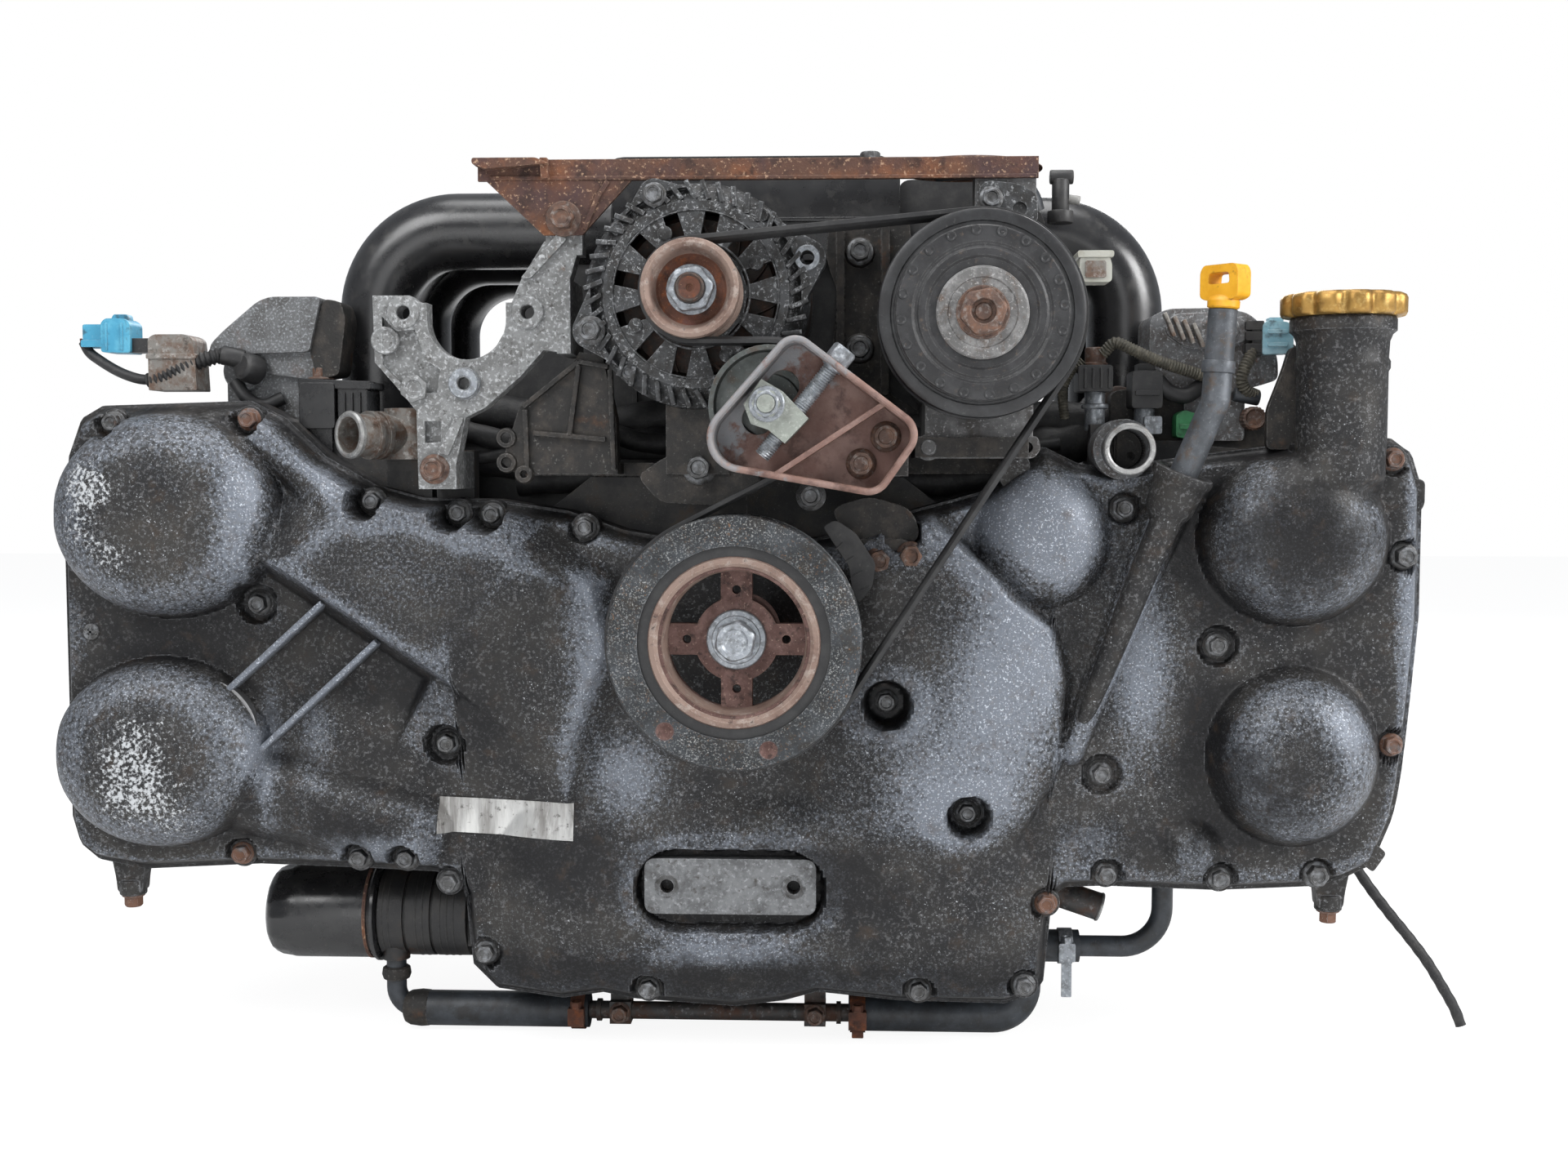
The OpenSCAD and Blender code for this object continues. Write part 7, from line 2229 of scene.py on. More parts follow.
@dataclass
class Tensioner:
    """Belt tensioner: stamped tray, sliding block on an adjuster screw, idler pulley."""

    plate_y: float = -445.0
    x: float = 20.0
    z: float = 136.5
    slant: Point = (0.6198, 0.0, 0.7848)
    lip_y: float = -469.0
    screw_off: float = 15.5

    @staticmethod
    def zinc_left(points: Array) -> Array:
        """The share of zinc left, which grows from the lower right to the upper left."""
        return (points[:, 2] - 110 - (points[:, 0] - 30) * 1.1) / 60

    def tray(self) -> None:
        """The tray: its CAD form, with zinc left on the rim's upper left, and a rolled lip."""
        form = node_shape("tensioner_bracket")
        zinc = self.zinc_left(form.points) + (form.points[:, 1] < -466) * 0.25
        tray = coated("tensioner_bracket", RUST_TRAY, 26, {"zinc": np.clip(zinc, 0, 0.8)})
        loop = round_loop([(36, 162, 10.6), (6, 117.5, 17.6), (77, 99, 11.6),
                           (90.5, 119, 12.1)], 14)
        path = np.insert(loop, 1, self.lip_y, axis=1)
        zinc = self.zinc_left(path) + 0.2
        lip = swept(path, round_section(1.9, 10), Y_AXIS, True)
        values = np.repeat(np.concatenate([zinc, zinc[:1]]), 10)
        lip.build("tray_lip", RUST_TRAY, marks={"zinc": np.clip(values, 0, 0.85)})

    def slider(self) -> None:
        """The sliding block with its nut and stud."""
        block_piece = coated("tensioner_slider", ZINC_GREEN, 28)
        y0 = self.plate_y - 20
        nut = hexagon((self.x, y0 - 1.4, self.z), TO_FRONT, 14, 7.0, 8, 0, 4.9)
        washer = turned_profile([(5, 0), (9.6, 0), (10.2, 0.5), (10.2, 1.6), (5, 1.6)],
                                (self.x, y0 - 1.8, self.z), Y_AXIS, 36, True)
        stud = threaded((self.x, y0, self.z), (self.x, y0 - 10.6, self.z), 4.9, 1.25)
        total([nut, washer, stud]).build("slider_nut", ZINC, "slider")

    def screw(self) -> None:
        """The adjuster: a threaded rod with a hexagon head on a collar."""
        u = np.array(self.slant)
        mid = np.array([self.x + self.screw_off * u[2], self.plate_y - 11,
                        self.z - self.screw_off * u[0]])
        parts = [threaded(mid - 24.8 * u, mid + 40 * u, 4.88, 1.5),
                 rod(mid + 38 * u, mid + 43 * u, 6.2, 0.5),
                 hexagon(mid + 43 * u, u, 13, 8.9, 10, 0.8)]
        screw = total(parts).build("adjuster_rod", ZINC, "adjuster",
                                   instead_of=("adjuster_screw",))

    def make(self) -> None:
        """Makes the tensioner and its bolts."""
        self.tray()
        self.slider()
        self.screw()
        coated("idler_pulley", IDLER_STEEL, 24)
        heads = [bolt((87, self.plate_y, 118.5), TO_FRONT, 13, 10, 0.68),
                 bolt((73, self.plate_y, 103.2), TO_FRONT, 13, 35, 0.68)]
        total(heads).build("tray_bolts", BOLT_RUST)


@dataclass
class Belt:
    """Ribbed belt round damper, compressor, alternator and, by its back, the idler."""

    front: float = -438.2
    rear: float = -417.2
    thick: float = 4.1
    sunk: float = 2.2
    back: float = 4.3
    air: float = 0.45
    step: float = 3.0
    touch: float = 0.3
    clear: float = 2.0
    damper: Point = (0, 0, 74)
    compressor: Point = (141, 188, 59)
    alternator: Point = (-24.7, 203, 28.5)
    idler: Point = (20, 136.5, 35)

    def line(self) -> Array:
        """The belt's inner line, a point every 3 mm, anticlockwise from the damper.

        It lies sunk below the rims of the three wheels that its ribs run on, and the belt's
        own back away from the idler's rim, in both cases with a little air.
        """
        inside = [(x, z, r - self.sunk + self.air)
                  for x, z, r in (self.damper, self.compressor, self.alternator)]
        x, z, r = self.idler
        loop = round_loop([*inside, (x, z, -r - self.back - self.air)], 40)
        ring = np.vstack([loop, loop[:1]])
        run = run_along(ring)
        at = np.linspace(0, run[-1], int(run[-1] / self.step), endpoint=False)
        return np.stack([np.interp(at, run, ring[:, k]) for k in range(2)], 1)

    def section(self) -> Array:
        """Flat back and six V ribs on the inner side, as (across, outwards)."""
        ribs = np.array([(self.front + (self.rear - self.front) * t, 0.0 if k % 2 else 1.5)
                         for k, t in enumerate(np.linspace(0.0, 1.0, 13))])
        back = np.array([(self.rear, self.thick - 0.3), (self.rear - 0.5, self.thick),
                         (self.front + 0.5, self.thick), (self.front, self.thick - 0.3)])
        return np.vstack([ribs, back])

    def follow(self, piece: bpy.types.Object, line: Array, fixed: int, held: Array) -> None:
        """Works out how far a slack run could reach towards its idler's arc, which is not
        used, and bakes the run's transform into its points.

        Args:
            piece: the run.
            line: the belt's inner line.
            fixed: number of the point at which it leaves its fixed wheel.
            held: numbers of its points on the idler.
        """
        way = unit(line[held[0 if fixed else -1]] - line[fixed])
        reach = ((line[held] - line[fixed]) @ way).min() - self.clear
        far = line[fixed] + way * reach
        far[0] * MM
        far[1] * MM
        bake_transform(piece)

    def make(self) -> None:
        """Makes the fixed run on the engine, and the two slack runs, which ride on no body."""
        line = self.line()
        along = unit(np.roll(line, -1, 0) - np.roll(line, 1, 0))
        out = np.stack([along[:, 1], -along[:, 0]], 1)
        section = self.section()
        flat = line[:, None] + out[:, None] * section[None, :, 1:]
        points = np.stack([flat[..., 0], np.broadcast_to(section[:, 0], flat.shape[:2]),
                           flat[..., 1]], -1)
        gaps = (self.air - self.sunk, self.air + self.back)
        touching = [np.flatnonzero(np.abs(np.hypot(line[:, 0] - x, line[:, 1] - z) - r - more)
                                   < self.touch)
                    for (x, z, r), more in zip((self.alternator, self.idler), gaps)]
        leaves, wrap = touching[0][-1], touching[1]
        middle = wrap[len(wrap) // 2]
        m = len(section)
        for name, rows, fixed in (
                ("belt_main_run", np.arange(leaves + 1), None),
                ("belt_upper_slack", np.arange(leaves, middle + 1), leaves),
                ("belt_lower_slack", np.r_[middle:len(line), 0], 0)):
            n = len(rows)
            caps = np.stack([np.arange(m)[::-1], np.arange(m) + (n - 1) * m])
            run = Shape(points[rows].reshape(-1, 3), [grid_faces(n, m, True), caps])
            piece = run.build(name, RUBBER, ride=fixed is None, instead_of=("drive_belt",))
            if fixed is not None:
                held = wrap[wrap <= middle] if fixed else wrap[wrap >= middle]
                self.follow(piece, line, fixed, held)


# ---------------------------------------------------------------- brackets and intake

@dataclass
class Brackets:
    """Pump bracket, top rail, cover plates and the timing pointer."""

    pump_y: float = -396.5
    rail_y: float = -398.4
    rail_z: float = 284.0
    rail_bolts_y: float = -372.0
    pointer_y: float = -404.0
    pointer_reach: tuple[float, float] = (77.5, 84.0)
    wall_y: float = -299.0
    dark_y: float = -386.5

    def pump_bracket(self) -> None:
        """The bright cast bracket with its turned faces and bosses."""
        coated("pump_bracket", CAST_BRIGHT, 28)
        y = self.pump_y
        faces = [turned_profile([(4.3, 0), (4.9, -0.7), (9.2, -0.7), (9.9, 0), (10.2, 3)],
                                (x, y, 194.2), Y_AXIS, 36) for x in (-202.8, -127.4)]
        disc = turned_profile([(0, 1.6), (5.4, 1.6), (6.2, 0.8), (7.6, 0.4), (8.4, 1.0),
                               (8.6, 4)], (-214.5, -396.2, 177.5), Y_AXIS, 32)
        knob = hexagon((-196.5, -396, 148.5), TO_FRONT, 15, 3.0, 10, 1.2)
        total(faces + [disc]).build("bracket_faces", CAST_BRIGHT, outwards=False)
        knob.build("bracket_knob", CAST_BRIGHT)
        ring = turned_profile([(4.0, 3.6), (4.2, -0.2), (5.0, -0.9), (8.6, -0.9), (9.4, 0.2),
                               (9.8, 3)], (-166, -399, 151.5), Y_AXIS, 40)
        ring.build("bracket_socket", ZINC, outwards=False)
        rib = [[(-131, 214), (-125, 214), (-103, 237), (-108, 241)],
               [(-172, 131), (-166, 131), (-176, 108), (-182, 110)]]
        total([plate(rounded(r, 1.5, 3), -398.5, -394) for r in rib]).build(
            "bracket_ribs", CAST_BRIGHT, bevel=1.2)
        heads = [bolt((-185, -395, 100), TO_FRONT, 13, 10, 0.7),
                 bolt((-104.7, -398, 249), TO_FRONT, 13, 25, 0.82)]
        total(heads).build("bracket_bolt_heads", BOLT_RUST, instead_of=("bracket_bolts",))

    def rail(self) -> None:
        """The rusted rail: folded plate with a rolled edge, flange at its tip, washers."""
        rail = coated("top_rail", RUST_RAIL, 26)
        tip = plate(rounded([(-158, 284), (-120, 284), (-112, 280.5), (-150, 277.5),
                             (-158, 280.5)], 1.5, 4), -406, -397)
        fold = plate(rounded([(-118, 284.2), (-113, 284.2), (-113, 272), (-117, 272)], 1.0,
                             3), -404, -397)
        y = self.rail_y
        crease = swept(np.array([[-78, y, 271], [-84, y, 262], [-92, y, 243]]),
                       box_section(1.6, 3.0, 0.6), Y_AXIS)
        y += 0.2
        edge = swept(np.array([[-148, y, 273.2], [-60, y, 272.8], [60, y, 272.6],
                               [176, y, 272.6]]), box_section(1.8, 2.4, 0.6), Y_AXIS)
        total([tip, fold, crease, edge]).build("rail_edges", RUST_RAIL, bevel=0.6)
        stack = []
        for x in (122, 152, 168):
            stack.append(turned_profile([(0, 2.4), (5, 2.4), (8.4, 1.6), (9.4, 0.8), (9.4, 0)],
                                        (x, self.rail_bolts_y, self.rail_z), Z_AXIS, 32))
        stack.append(turned_profile([(0, 1.6), (44, 1.6), (46, 0.6), (46, 0)],
                                    (138, -350, self.rail_z), Z_AXIS, 48))
        total(stack).build("rail_washers", RUST_RAIL)
        stud = bolt((78, self.rail_bolts_y, self.rail_z), Z_AXIS, 11, 10, 0.75, 0.55)
        stud.build("rail_stud", BOLT)

    def pointer(self) -> None:
        """The timing pointer beside the damper, a bent plate on two bolts, bare of figures."""
        outline = [(50, 66), (58, 70), (70, 62), (82, 44), (80, 30), (72, 20), (68, 26),
                   (66, 42), (58, 54)]
        y = self.pointer_y
        plate(rounded(outline, 3, 4), y, y + 3).build("timing_pointer", PLASTIC_DULL, bevel=0.8)
        ridges = []
        for k in range(7):
            ends = [around(0, 0, r, 42 - k * 7.0, y - 0.4) for r in self.pointer_reach]
            ridges.append(swept(np.array(ends), box_section(0.9, 1.0, 0.3), Y_AXIS))
        total(ridges).build("pointer_notches", PLASTIC_DULL)
        stay = plate(rounded([(70, 58), (100, 58), (112, 48), (108, 38), (78, 40)], 5, 5),
                     -390, -384)
        hump = plate(rounded([(54, 76), (78, 84), (104, 76), (110, 58), (92, 50), (66, 58)], 8,
                             5), -386, -366)
        (stay + hump).build("pointer_stay", CAST_SOOTY, bevel=1.5)
        total([bolt((84, -390, 45), TO_FRONT, 12, 12),
               bolt((103, -390, 48), TO_FRONT, 12, 30)]).build("pointer_bolts", BOLT_RUST)
        back = plate(rounded([(-62, 96), (-44, 108), (-14, 112), (8, 106), (14, 88), (-10, 78),
                              (-48, 80)], 6, 5), -396, -386)
        back.build("front_stay", CAST_SOOTY, bevel=1.5)
        total([bolt((-24, -396, 101), TO_FRONT, 13, 14, 0.8),
               bolt((43, -396, 84), TO_FRONT, 12, 40, 0.75)]).build("stay_bolts", BOLT)

    def stay_wall(self) -> None:
        """The dark ribbed bracket between alternator and compressor, with its two bolts."""
        y = self.wall_y
        web = plate(rounded([(52, 262), (104, 262), (106, 236), (92, 214), (90, 150),
                             (128, 128), (128, 112), (20, 112), (30, 140), (52, 158),
                             (58, 214), (50, 236)], 6, 5), y, y + 9)
        ribs = [block((x, x + 5), (y - 9, y + 1), (148, 256), 1.6) for x in (57, 86)]
        pads = [turned_profile([(0, -6), (8.6, -6), (9.4, -5), (9.8, 2)], (72, y, z), Y_AXIS, 32)
                for z in (240, 178)]
        total([web, *ribs, *pads]).build("stay_wall", CAST_SOOTY, bevel=1.6)
        total([bolt((72, y - 6, 240), TO_FRONT, 12, 12),
               bolt((72, y - 6, 178), TO_FRONT, 12, 40)]).build("stay_wall_bolts", BOLT)

    def dark_plate(self) -> None:
        """The dark cast plate right of the pump bracket with its ribs and holes."""
        y = self.dark_y
        lines = [((-132, 138), (-98, 165)), ((-98, 165), (-80, 162)), ((-131, 136), (-130, 100)),
                 ((-79, 160), (-77, 100)), ((-126, 122), (-82, 118)), ((-98, 163), (-104, 120))]
        ribs = [swept(np.array([[a[0], y, a[1]], [(a[0] + b[0]) / 2, y, (a[1] + b[1]) / 2],
                                [b[0], y, b[1]]]), box_section(5.0, 3.2, 1.0), Y_AXIS)
                for a, b in lines]
        total(ribs).build("plate_ribs", CAST_SOOTY, bevel=0.6)
        rims = [turned_profile([(3.2, 2), (3.4, -0.8), (5.6, -0.8), (6.2, 0.4), (6.4, 2)],
                               (x, y, z), Y_AXIS, 28) for x, z in ((-143, 119), (-143, 104))]
        rims.append(turned_profile([(2.2, 2), (2.4, -2.6), (5.0, -2.6), (5.8, -1), (6, 2)],
                                   (-132, y, 97), Y_AXIS, 28))
        total(rims).build("plate_bosses", CAST_SOOTY, outwards=False)

    def make(self) -> None:
        """Makes the brackets."""
        self.pump_bracket()
        self.rail()
        self.pointer()
        self.stay_wall()
        self.dark_plate()


@dataclass
class Intake:
    """Black plastic manifold, throttle body and the fittings on the plenum."""

    lid_at: Point = (24, -232, 299.2)
    seam: Point = (97.6, -296.6, 262)
    vent: tuple[float, float] = (201, -300)

    def make(self) -> None:
        """Coats the CAD parts, and adds the lid, the seam, the T fitting and the hose."""
        manifold = coated("intake_manifold", PLASTIC, 32)
        coated("throttle_body", THROTTLE_CAST, 30)
        coated("throttle_plate", BRASS, 30)
        lid = turned_profile([(0, 6.6), (26, 6.2), (40, 5.0), (47, 2.6), (49, 0), (49, -3)],
                             self.lid_at, Z_AXIS, 64)
        lid.build("plenum_lid", PLASTIC_DULL, outwards=False)
        x, y, z = self.seam
        swept(np.array([[-x, y, z], [x, y, z]]), box_section(2, 3, 0.6), Y_AXIS).build(
            "plenum_seam", PLASTIC, bevel=0.5)
        x, y = self.vent
        stem = rod((x, y, 262), (x, y, 286), 5.6, 0.8)
        bar = rod((x - 7, y, 287.5), (x + 8, y, 287.5), 4.6, 0.8)
        base = rod((x, y, 258), (x, y, 266), 8.4, 0.8)
        (stem + bar + base).build("vent_fitting", PLASTIC_DULL)
        rod((x + 5, y, 273.5), (x + 12.5, y, 272.5), 3.0, 0.4).build("vent_tube",
                                                                     PLASTIC_GREY)
        tube([(120, -322, 288), (150, -326, 289), (166, -328, 286), (178, -328, 272),
              (182, -326, 262)], 6.4, 40, Y_AXIS, 18).build("breather_hose", HOSE)


@dataclass
class Fittings:
    """Coolant stubs, oil cap, dipstick, filter, cooler and the pipes under the engine."""

    cap_at: Point = (360.5, -381.0, 190.0)
    inlet_at: Point = (233, -395, 112)
    outlet_at: Point = (-241.0, -383, 121)
    outlet_from: Point = (-212.0, -347, 121)
    stick_top: Point = (286.5, -395, 194.0)
    stick_bend: Point = (283.0, -395, 140)
    grip_turn: float = -48.0
    filter_at: Point = (-243.0, -305.0, -194.7)
    pipe_y: float = -317.0
    pipe_z: float = -257.0
    lowest: float = -269.6

    def coolant(self) -> None:
        """The two coolant stubs: bright worn lips, rust-tinted ribbed necks."""
        coated("coolant_outlet", SENSOR_STEEL, 26)
        mouth, back = np.array(self.outlet_at), np.array(self.outlet_from)
        run = unit(back - mouth)
        lip = turned_profile([(11.1, 3), (11.3, -0.4), (12.4, -0.9), (14.0, -0.6), (14.8, 0.8),
                              (14.4, 3.2), (13.1, 4.4)], mouth, run, 56)
        lip.build("outlet_lip", SILVER, outwards=False)
        turned_profile([(11.05, 1), (11.0, 30)], mouth, run, 48).build(
            "outlet_bore", RUSTY, outwards=False)
        inlet = coated("coolant_inlet", CAST_OXIDE, 26)
        rim = turned_profile([(12.1, 3), (12.2, -0.3), (13.2, -0.8), (14.8, -0.5), (15.6, 0.8),
                              (15.2, 2.8), (14.1, 3.6)], self.inlet_at, Y_AXIS, 56)
        rim.build("inlet_lip", SILVER, outwards=False)
        turned_profile([(12.05, 1), (12.0, 34)], self.inlet_at, Y_AXIS, 48).build(
            "inlet_bore", CAST_SOOTY, outwards=False)
        flap = plate(circle(233, 112, 11.6, 40), -366, -364.8, [circle(238, 108, 2.6, 20)])
        pin = rod((228, -366.5, 104), (228, -366.5, 121), 1.1, 0.2, 14)
        (flap + pin).build("inlet_flap", CAST_SOOTY)

    def cap(self) -> None:
        """The scalloped oil cap with a raised grip across its top.

        The radius at an angle is r − d · (0.5 − 0.5 cos 12 a)³, cut into the rim as scallops.
        """
        a = np.linspace(0, 2 * np.pi, 192, endpoint=False)
        cut = 3.4 * (0.5 + 0.5 * np.cos(12 * a + np.pi)) ** 3
        rows = [(0.0, 0.3, 0), (33.0, 0.3, 0), (35.8, 0.9, 1), (36.9, 2.2, 1),
                (37.0, 10.8, 1), (36.0, 12.8, 1), (33.6, 13.9, 0.6), (30.0, 14.2, 0.2),
                (26.0, 13.9, 0), (24.2, 12.0, 0), (22, 11.4, 0), (0, 11.4, 0)]
        disc = scalloped(rows, cut, self.cap_at, (X_AXIS, Y_AXIS, Z_AXIS))
        x, y, z = self.cap_at
        grip = swept(np.array([[x - 24, y, z + 13], [x + 24, y, z + 13]]),
                     box_section(8.0, 3.6, 1.4), Y_AXIS)
        plug = rod((x, y, z - 9), (x, y, z + 1), 19.4, 1.0, 48)
        cap = total([disc, grip, plug]).build("oil_cap_disc", GOLD, "cap",
                                              instead_of=("oil_cap",), smooth=40)

    def stick(self) -> None:
        """The dipstick's handle: a yellow grip with a window, turned on its tube."""
        top, bend = np.array(self.stick_top), np.array(self.stick_bend)
        u = unit(top - bend)
        coated("dipstick_tube", TUBE_STEEL, 40)
        clip = turned_profile([(8.6, -3), (9.6, -3), (9.8, -2), (9.8, 3), (9.4, 4), (8.6, 4)],
                              top - 34 * u, u, 36, True)
        clip.build("tube_clip", TUBE_STEEL, "engine")
        c = top + 15.5 * u
        outer = np.array([(-13.4, -8), (-9, -10), (9, -10), (13.4, -8), (13.4, 7),
                          (11.0, 10.8), (-11.0, 10.8), (-13.4, 7)])
        inner = np.array([(-7.6, -0.5), (7.6, -0.5), (7.0, 6.0), (-7.0, 6.0)])
        grip = plate(rounded(outer + c[[0, 2]], 3.0, 5), c[1] - 6.4, c[1] + 6.4,
                     [rounded(inner + c[[0, 2]], 1.8, 4)])
        turn = math.radians(self.grip_turn)
        away = grip.points - c
        grip.points[:, 0] = c[0] + away[:, 0] * math.cos(turn) - away[:, 1] * math.sin(turn)
        grip.points[:, 1] = c[1] + away[:, 0] * math.sin(turn) + away[:, 1] * math.cos(turn)
        foot = turned_profile([(0, 0.4), (8.0, 0.4), (9.4, 1.4), (9.5, 5), (8.2, 7), (5.2, 8.6),
                               (5.0, 10), (0, 10)], top, u, 36)
        low = rod(top - 10 * u, top - 4 * u, 6.0, 0.6, 24)
        wire = rod(top - 50 * u, top + 2 * u, 1.6, 0.3, 12)
        total([grip, foot, low]).build("dipstick_grip", YELLOW, "stick",
                                       instead_of=("dipstick",), bevel=0.8)
        wire.build("dipstick_blade", GROUND_STEEL, "stick")

    def filter(self) -> None:
        """The spin-on oil filter: deep-drawn can with a rolled seam and a fluted end."""
        y, z = self.filter_at[1:]
        a = np.linspace(0, 2 * np.pi, 120, endpoint=False)
        rows = [(0, 0, 0), (29, 0, 0), (31.6, 0.4, 0), (33.0, 1.6, 0), (33.0, 3.6, 0),
                (31.6, 5.0, 0), (30.7, 6.4, 0), (31.0, 8, 0), (31.0, 56, 0), (30.9, 59, 0),
                (30.2, 62, 1), (29.4, 68, 1), (27.6, 72, 1), (24, 74.6, 0.5), (18, 76.6, 0),
                (10, 78.0, 0), (0, 78.4, 0)]
        flute = 0.55 * np.abs(np.cos(7.5 * a))
        can = scalloped(rows, flute, self.filter_at, (Y_AXIS, Z_AXIS, (-1.0, 0.0, 0.0))).build(
            "filter_can", FILTER_PAINT, instead_of=("oil_filter",), smooth=40)
        turned_profile([(30.9, 0), (31.4, -0.2), (31.4, -2.2), (30.9, -2.4)],
                       (-249.5, y, z), X_AXIS, 90, True).build("filter_seam", RUST_RAIL)
        coated("oil_cooler", PAN_BLACK, 28)
        fins = [turned_profile([(28.4, 0), (29.2, 0.3), (29.2, 1.3), (28.4, 1.6)],
                               (x, y, z), X_AXIS, 72, True) for x in
                (-240, -236, -218, -213.5, -202, -197.5, -193)]
        total(fins).build("cooler_beads", PAN_BLACK)

    def clamp(self, at: Point, radius: float, wide: float,
              tail: float) -> Shape:
        """A worm-drive clamp: a band, the screw housing, and the band's tail below it.

        Args:
            at: middle of the band on the pipe's axis.
            radius: the hose's radius.
            wide: width of the band.
            tail: length of the tail.

        Returns:
            The clamp.
        """
        x, y, z = at
        band = turned_profile([(radius, -wide / 2), (radius + 1.1, -wide / 2),
                               (radius + 1.1, wide / 2), (radius, wide / 2)], at, X_AXIS,
                              48, True)
        box = block((x - wide / 2 - 0.8, x + wide / 2 + 0.8), (y - radius - 5.6, y - radius),
                    (z - 6.5, z + 5.5), 1.2)
        screw = hexagon((x, y - radius - 3.4, z + 5.5), Z_AXIS, 6.4, 4.4, 0, 0.8)
        end = block((x - wide / 2 + 1.2, x + wide / 2 - 1.2),
                    (y - radius - 2.4, y - radius - 1.4),
                    (max(z - 6.5 - tail, self.lowest), z - 5.5), 0.8)
        return total([band, box, screw, end])

    def pipes(self) -> None:
        """Steel pipe, hoses, clamps and the two stays under the sump."""
        coated("coolant_pipe", PIPE_STEEL, 26)
        coated("coolant_hoses", HOSE, 50)
        y, z = self.pipe_y, self.pipe_z
        total([self.clamp((-112, y, z), 11.5, 9, 0),
               self.clamp((72, y, z), 11.5, 10, 8)]).build("hose_clamps", RUSTY)
        self.clamp((207, -315, -211), 10.5, 9, 24).build("stub_clamp", ZINC)
        lumps = [turned_profile([(6.4, 0), (9.5, 1.5), (11.4, 5), (12.2, 12), (11.8, 17),
                                 (10.4, 18), (6.4, 18)], (-229, y, z), X_AXIS, 28),
                 turned_profile([(6.4, 0), (8.6, 1), (9.6, 4), (9.0, 8), (7.6, 9), (6.4, 9)],
                                (-234, y, z + 19), Z_AXIS, 28)]
        total(lumps).build("elbow_collars", CAST_SOOTY, outwards=False)
        heads = [bolt((x, y - 7.4, z + 0.6), TO_FRONT, 10, 10, 0.7) for x in (-84, 44)]
        total(heads).build("stay_bolt_heads", BOLT_RUST)
        ring = turned_profile([(7.3, -0.2), (9.2, -0.2), (9.6, 0.6), (9.2, 1.6), (7.3, 1.6)],
                              (228, -320, -183.5), unit(np.array([74.6, -3.0, -24.5])), 40,
                              True)
        ring.build("stub_lip", SILVER)

    def make(self) -> None:
        """Makes the fittings."""
        self.coolant()
        self.cap()
        self.stick()
        self.filter()
        self.pipes()


@dataclass
class Looms:
    """Taped looms over the crankcase, the web between the runners, the manifold's wall."""

    runs: tuple[tuple[float, tuple[Point, ...]], ...] = (
        (15.0, ((-224, -296, 122), (-190, -304, 112), (-120, -309, 108), (-40, -306, 114),
                (50, -309, 108), (130, -306, 106), (196, -304, 114), (222, -296, 124))),
        (12.0, ((-214, -300, 138), (-160, -302, 136), (-100, -300, 128), (-30, -298, 138),
                (40, -300, 132), (110, -302, 124), (180, -300, 132), (238, -302, 130))),
        (10.0, ((-150, -310, 92), (-90, -314, 96), (-20, -312, 92), (60, -314, 96),
                (120, -312, 92), (176, -308, 100))),
        (7.0, ((-196, -318, 128), (-150, -322, 118), (-104, -320, 126), (-60, -318, 116),
               (0, -322, 124), (60, -320, 116), (104, -322, 120), (150, -316, 112))),
        (4.0, ((-188, -322, 104), (-130, -326, 112), (-70, -324, 102), (10, -326, 110),
               (80, -324, 102), (140, -322, 110), (200, -318, 116))))
    swell: float = 0.04
    winding: float = 23.0
    wall_y: tuple[float, float] = (-285.5, -281)

    def across(self) -> None:
        """The looms, whose radius is r · (1 + swell · sin(2π · length / winding))."""
        made = []
        for radius, route in self.runs:
            path = smooth_path(route, 120)
            wave = self.swell * np.sin(2 * np.pi * run_along(path) / self.winding)
            made.append(swept(path, round_section(radius, 18), Z_AXIS, scale=1 + wave))
        total(made).build("crankcase_looms", CABLE, smooth=50)

    def web(self) -> None:
        """A thin web along the runners' centre line, which joins the three of a bank."""
        made = []
        for side in (-1, 1):
            a = np.linspace(0, np.pi / 2, 16)
            bend = np.stack([side * (195 + 55 * np.sin(a)), 203 + 55 * np.cos(a)], 1)
            line = np.vstack([[side * 92.0, 258.0], bend, [side * 250.0, 126.0]])
            path = np.insert(line, 1, -163.0 if side < 0 else -150.0, axis=1)
            made.append(swept(path, box_section(228.0 if side < 0 else 236.0, 22.0, 6.0),
                              Y_AXIS))
        total(made).build("runner_web", PLASTIC)

    def front_wall(self) -> None:
        """The manifold's black front wall over the crankcase, stiffened by upright ribs."""
        wall = plate(rounded([(-198, 74), (-198, 118), (-180, 140), (-176, 170),
                              (-150, 214), (-120, 262), (94, 262), (98, 289), (172, 288),
                              (194, 262), (184, 214), (184, 74)], 8, 5), *self.wall_y)
        ribs = [block((x, x + 3), (-289, -285), (82, 256), 1.0) for x in range(-105, 140, 27)]
        total([wall, *ribs]).build("manifold_front_wall", PLASTIC_DULL, bevel=1.0)

    def make(self) -> None:
        """Makes the looms, the web and the wall behind them."""
        self.across()
        self.web()
        self.front_wall()


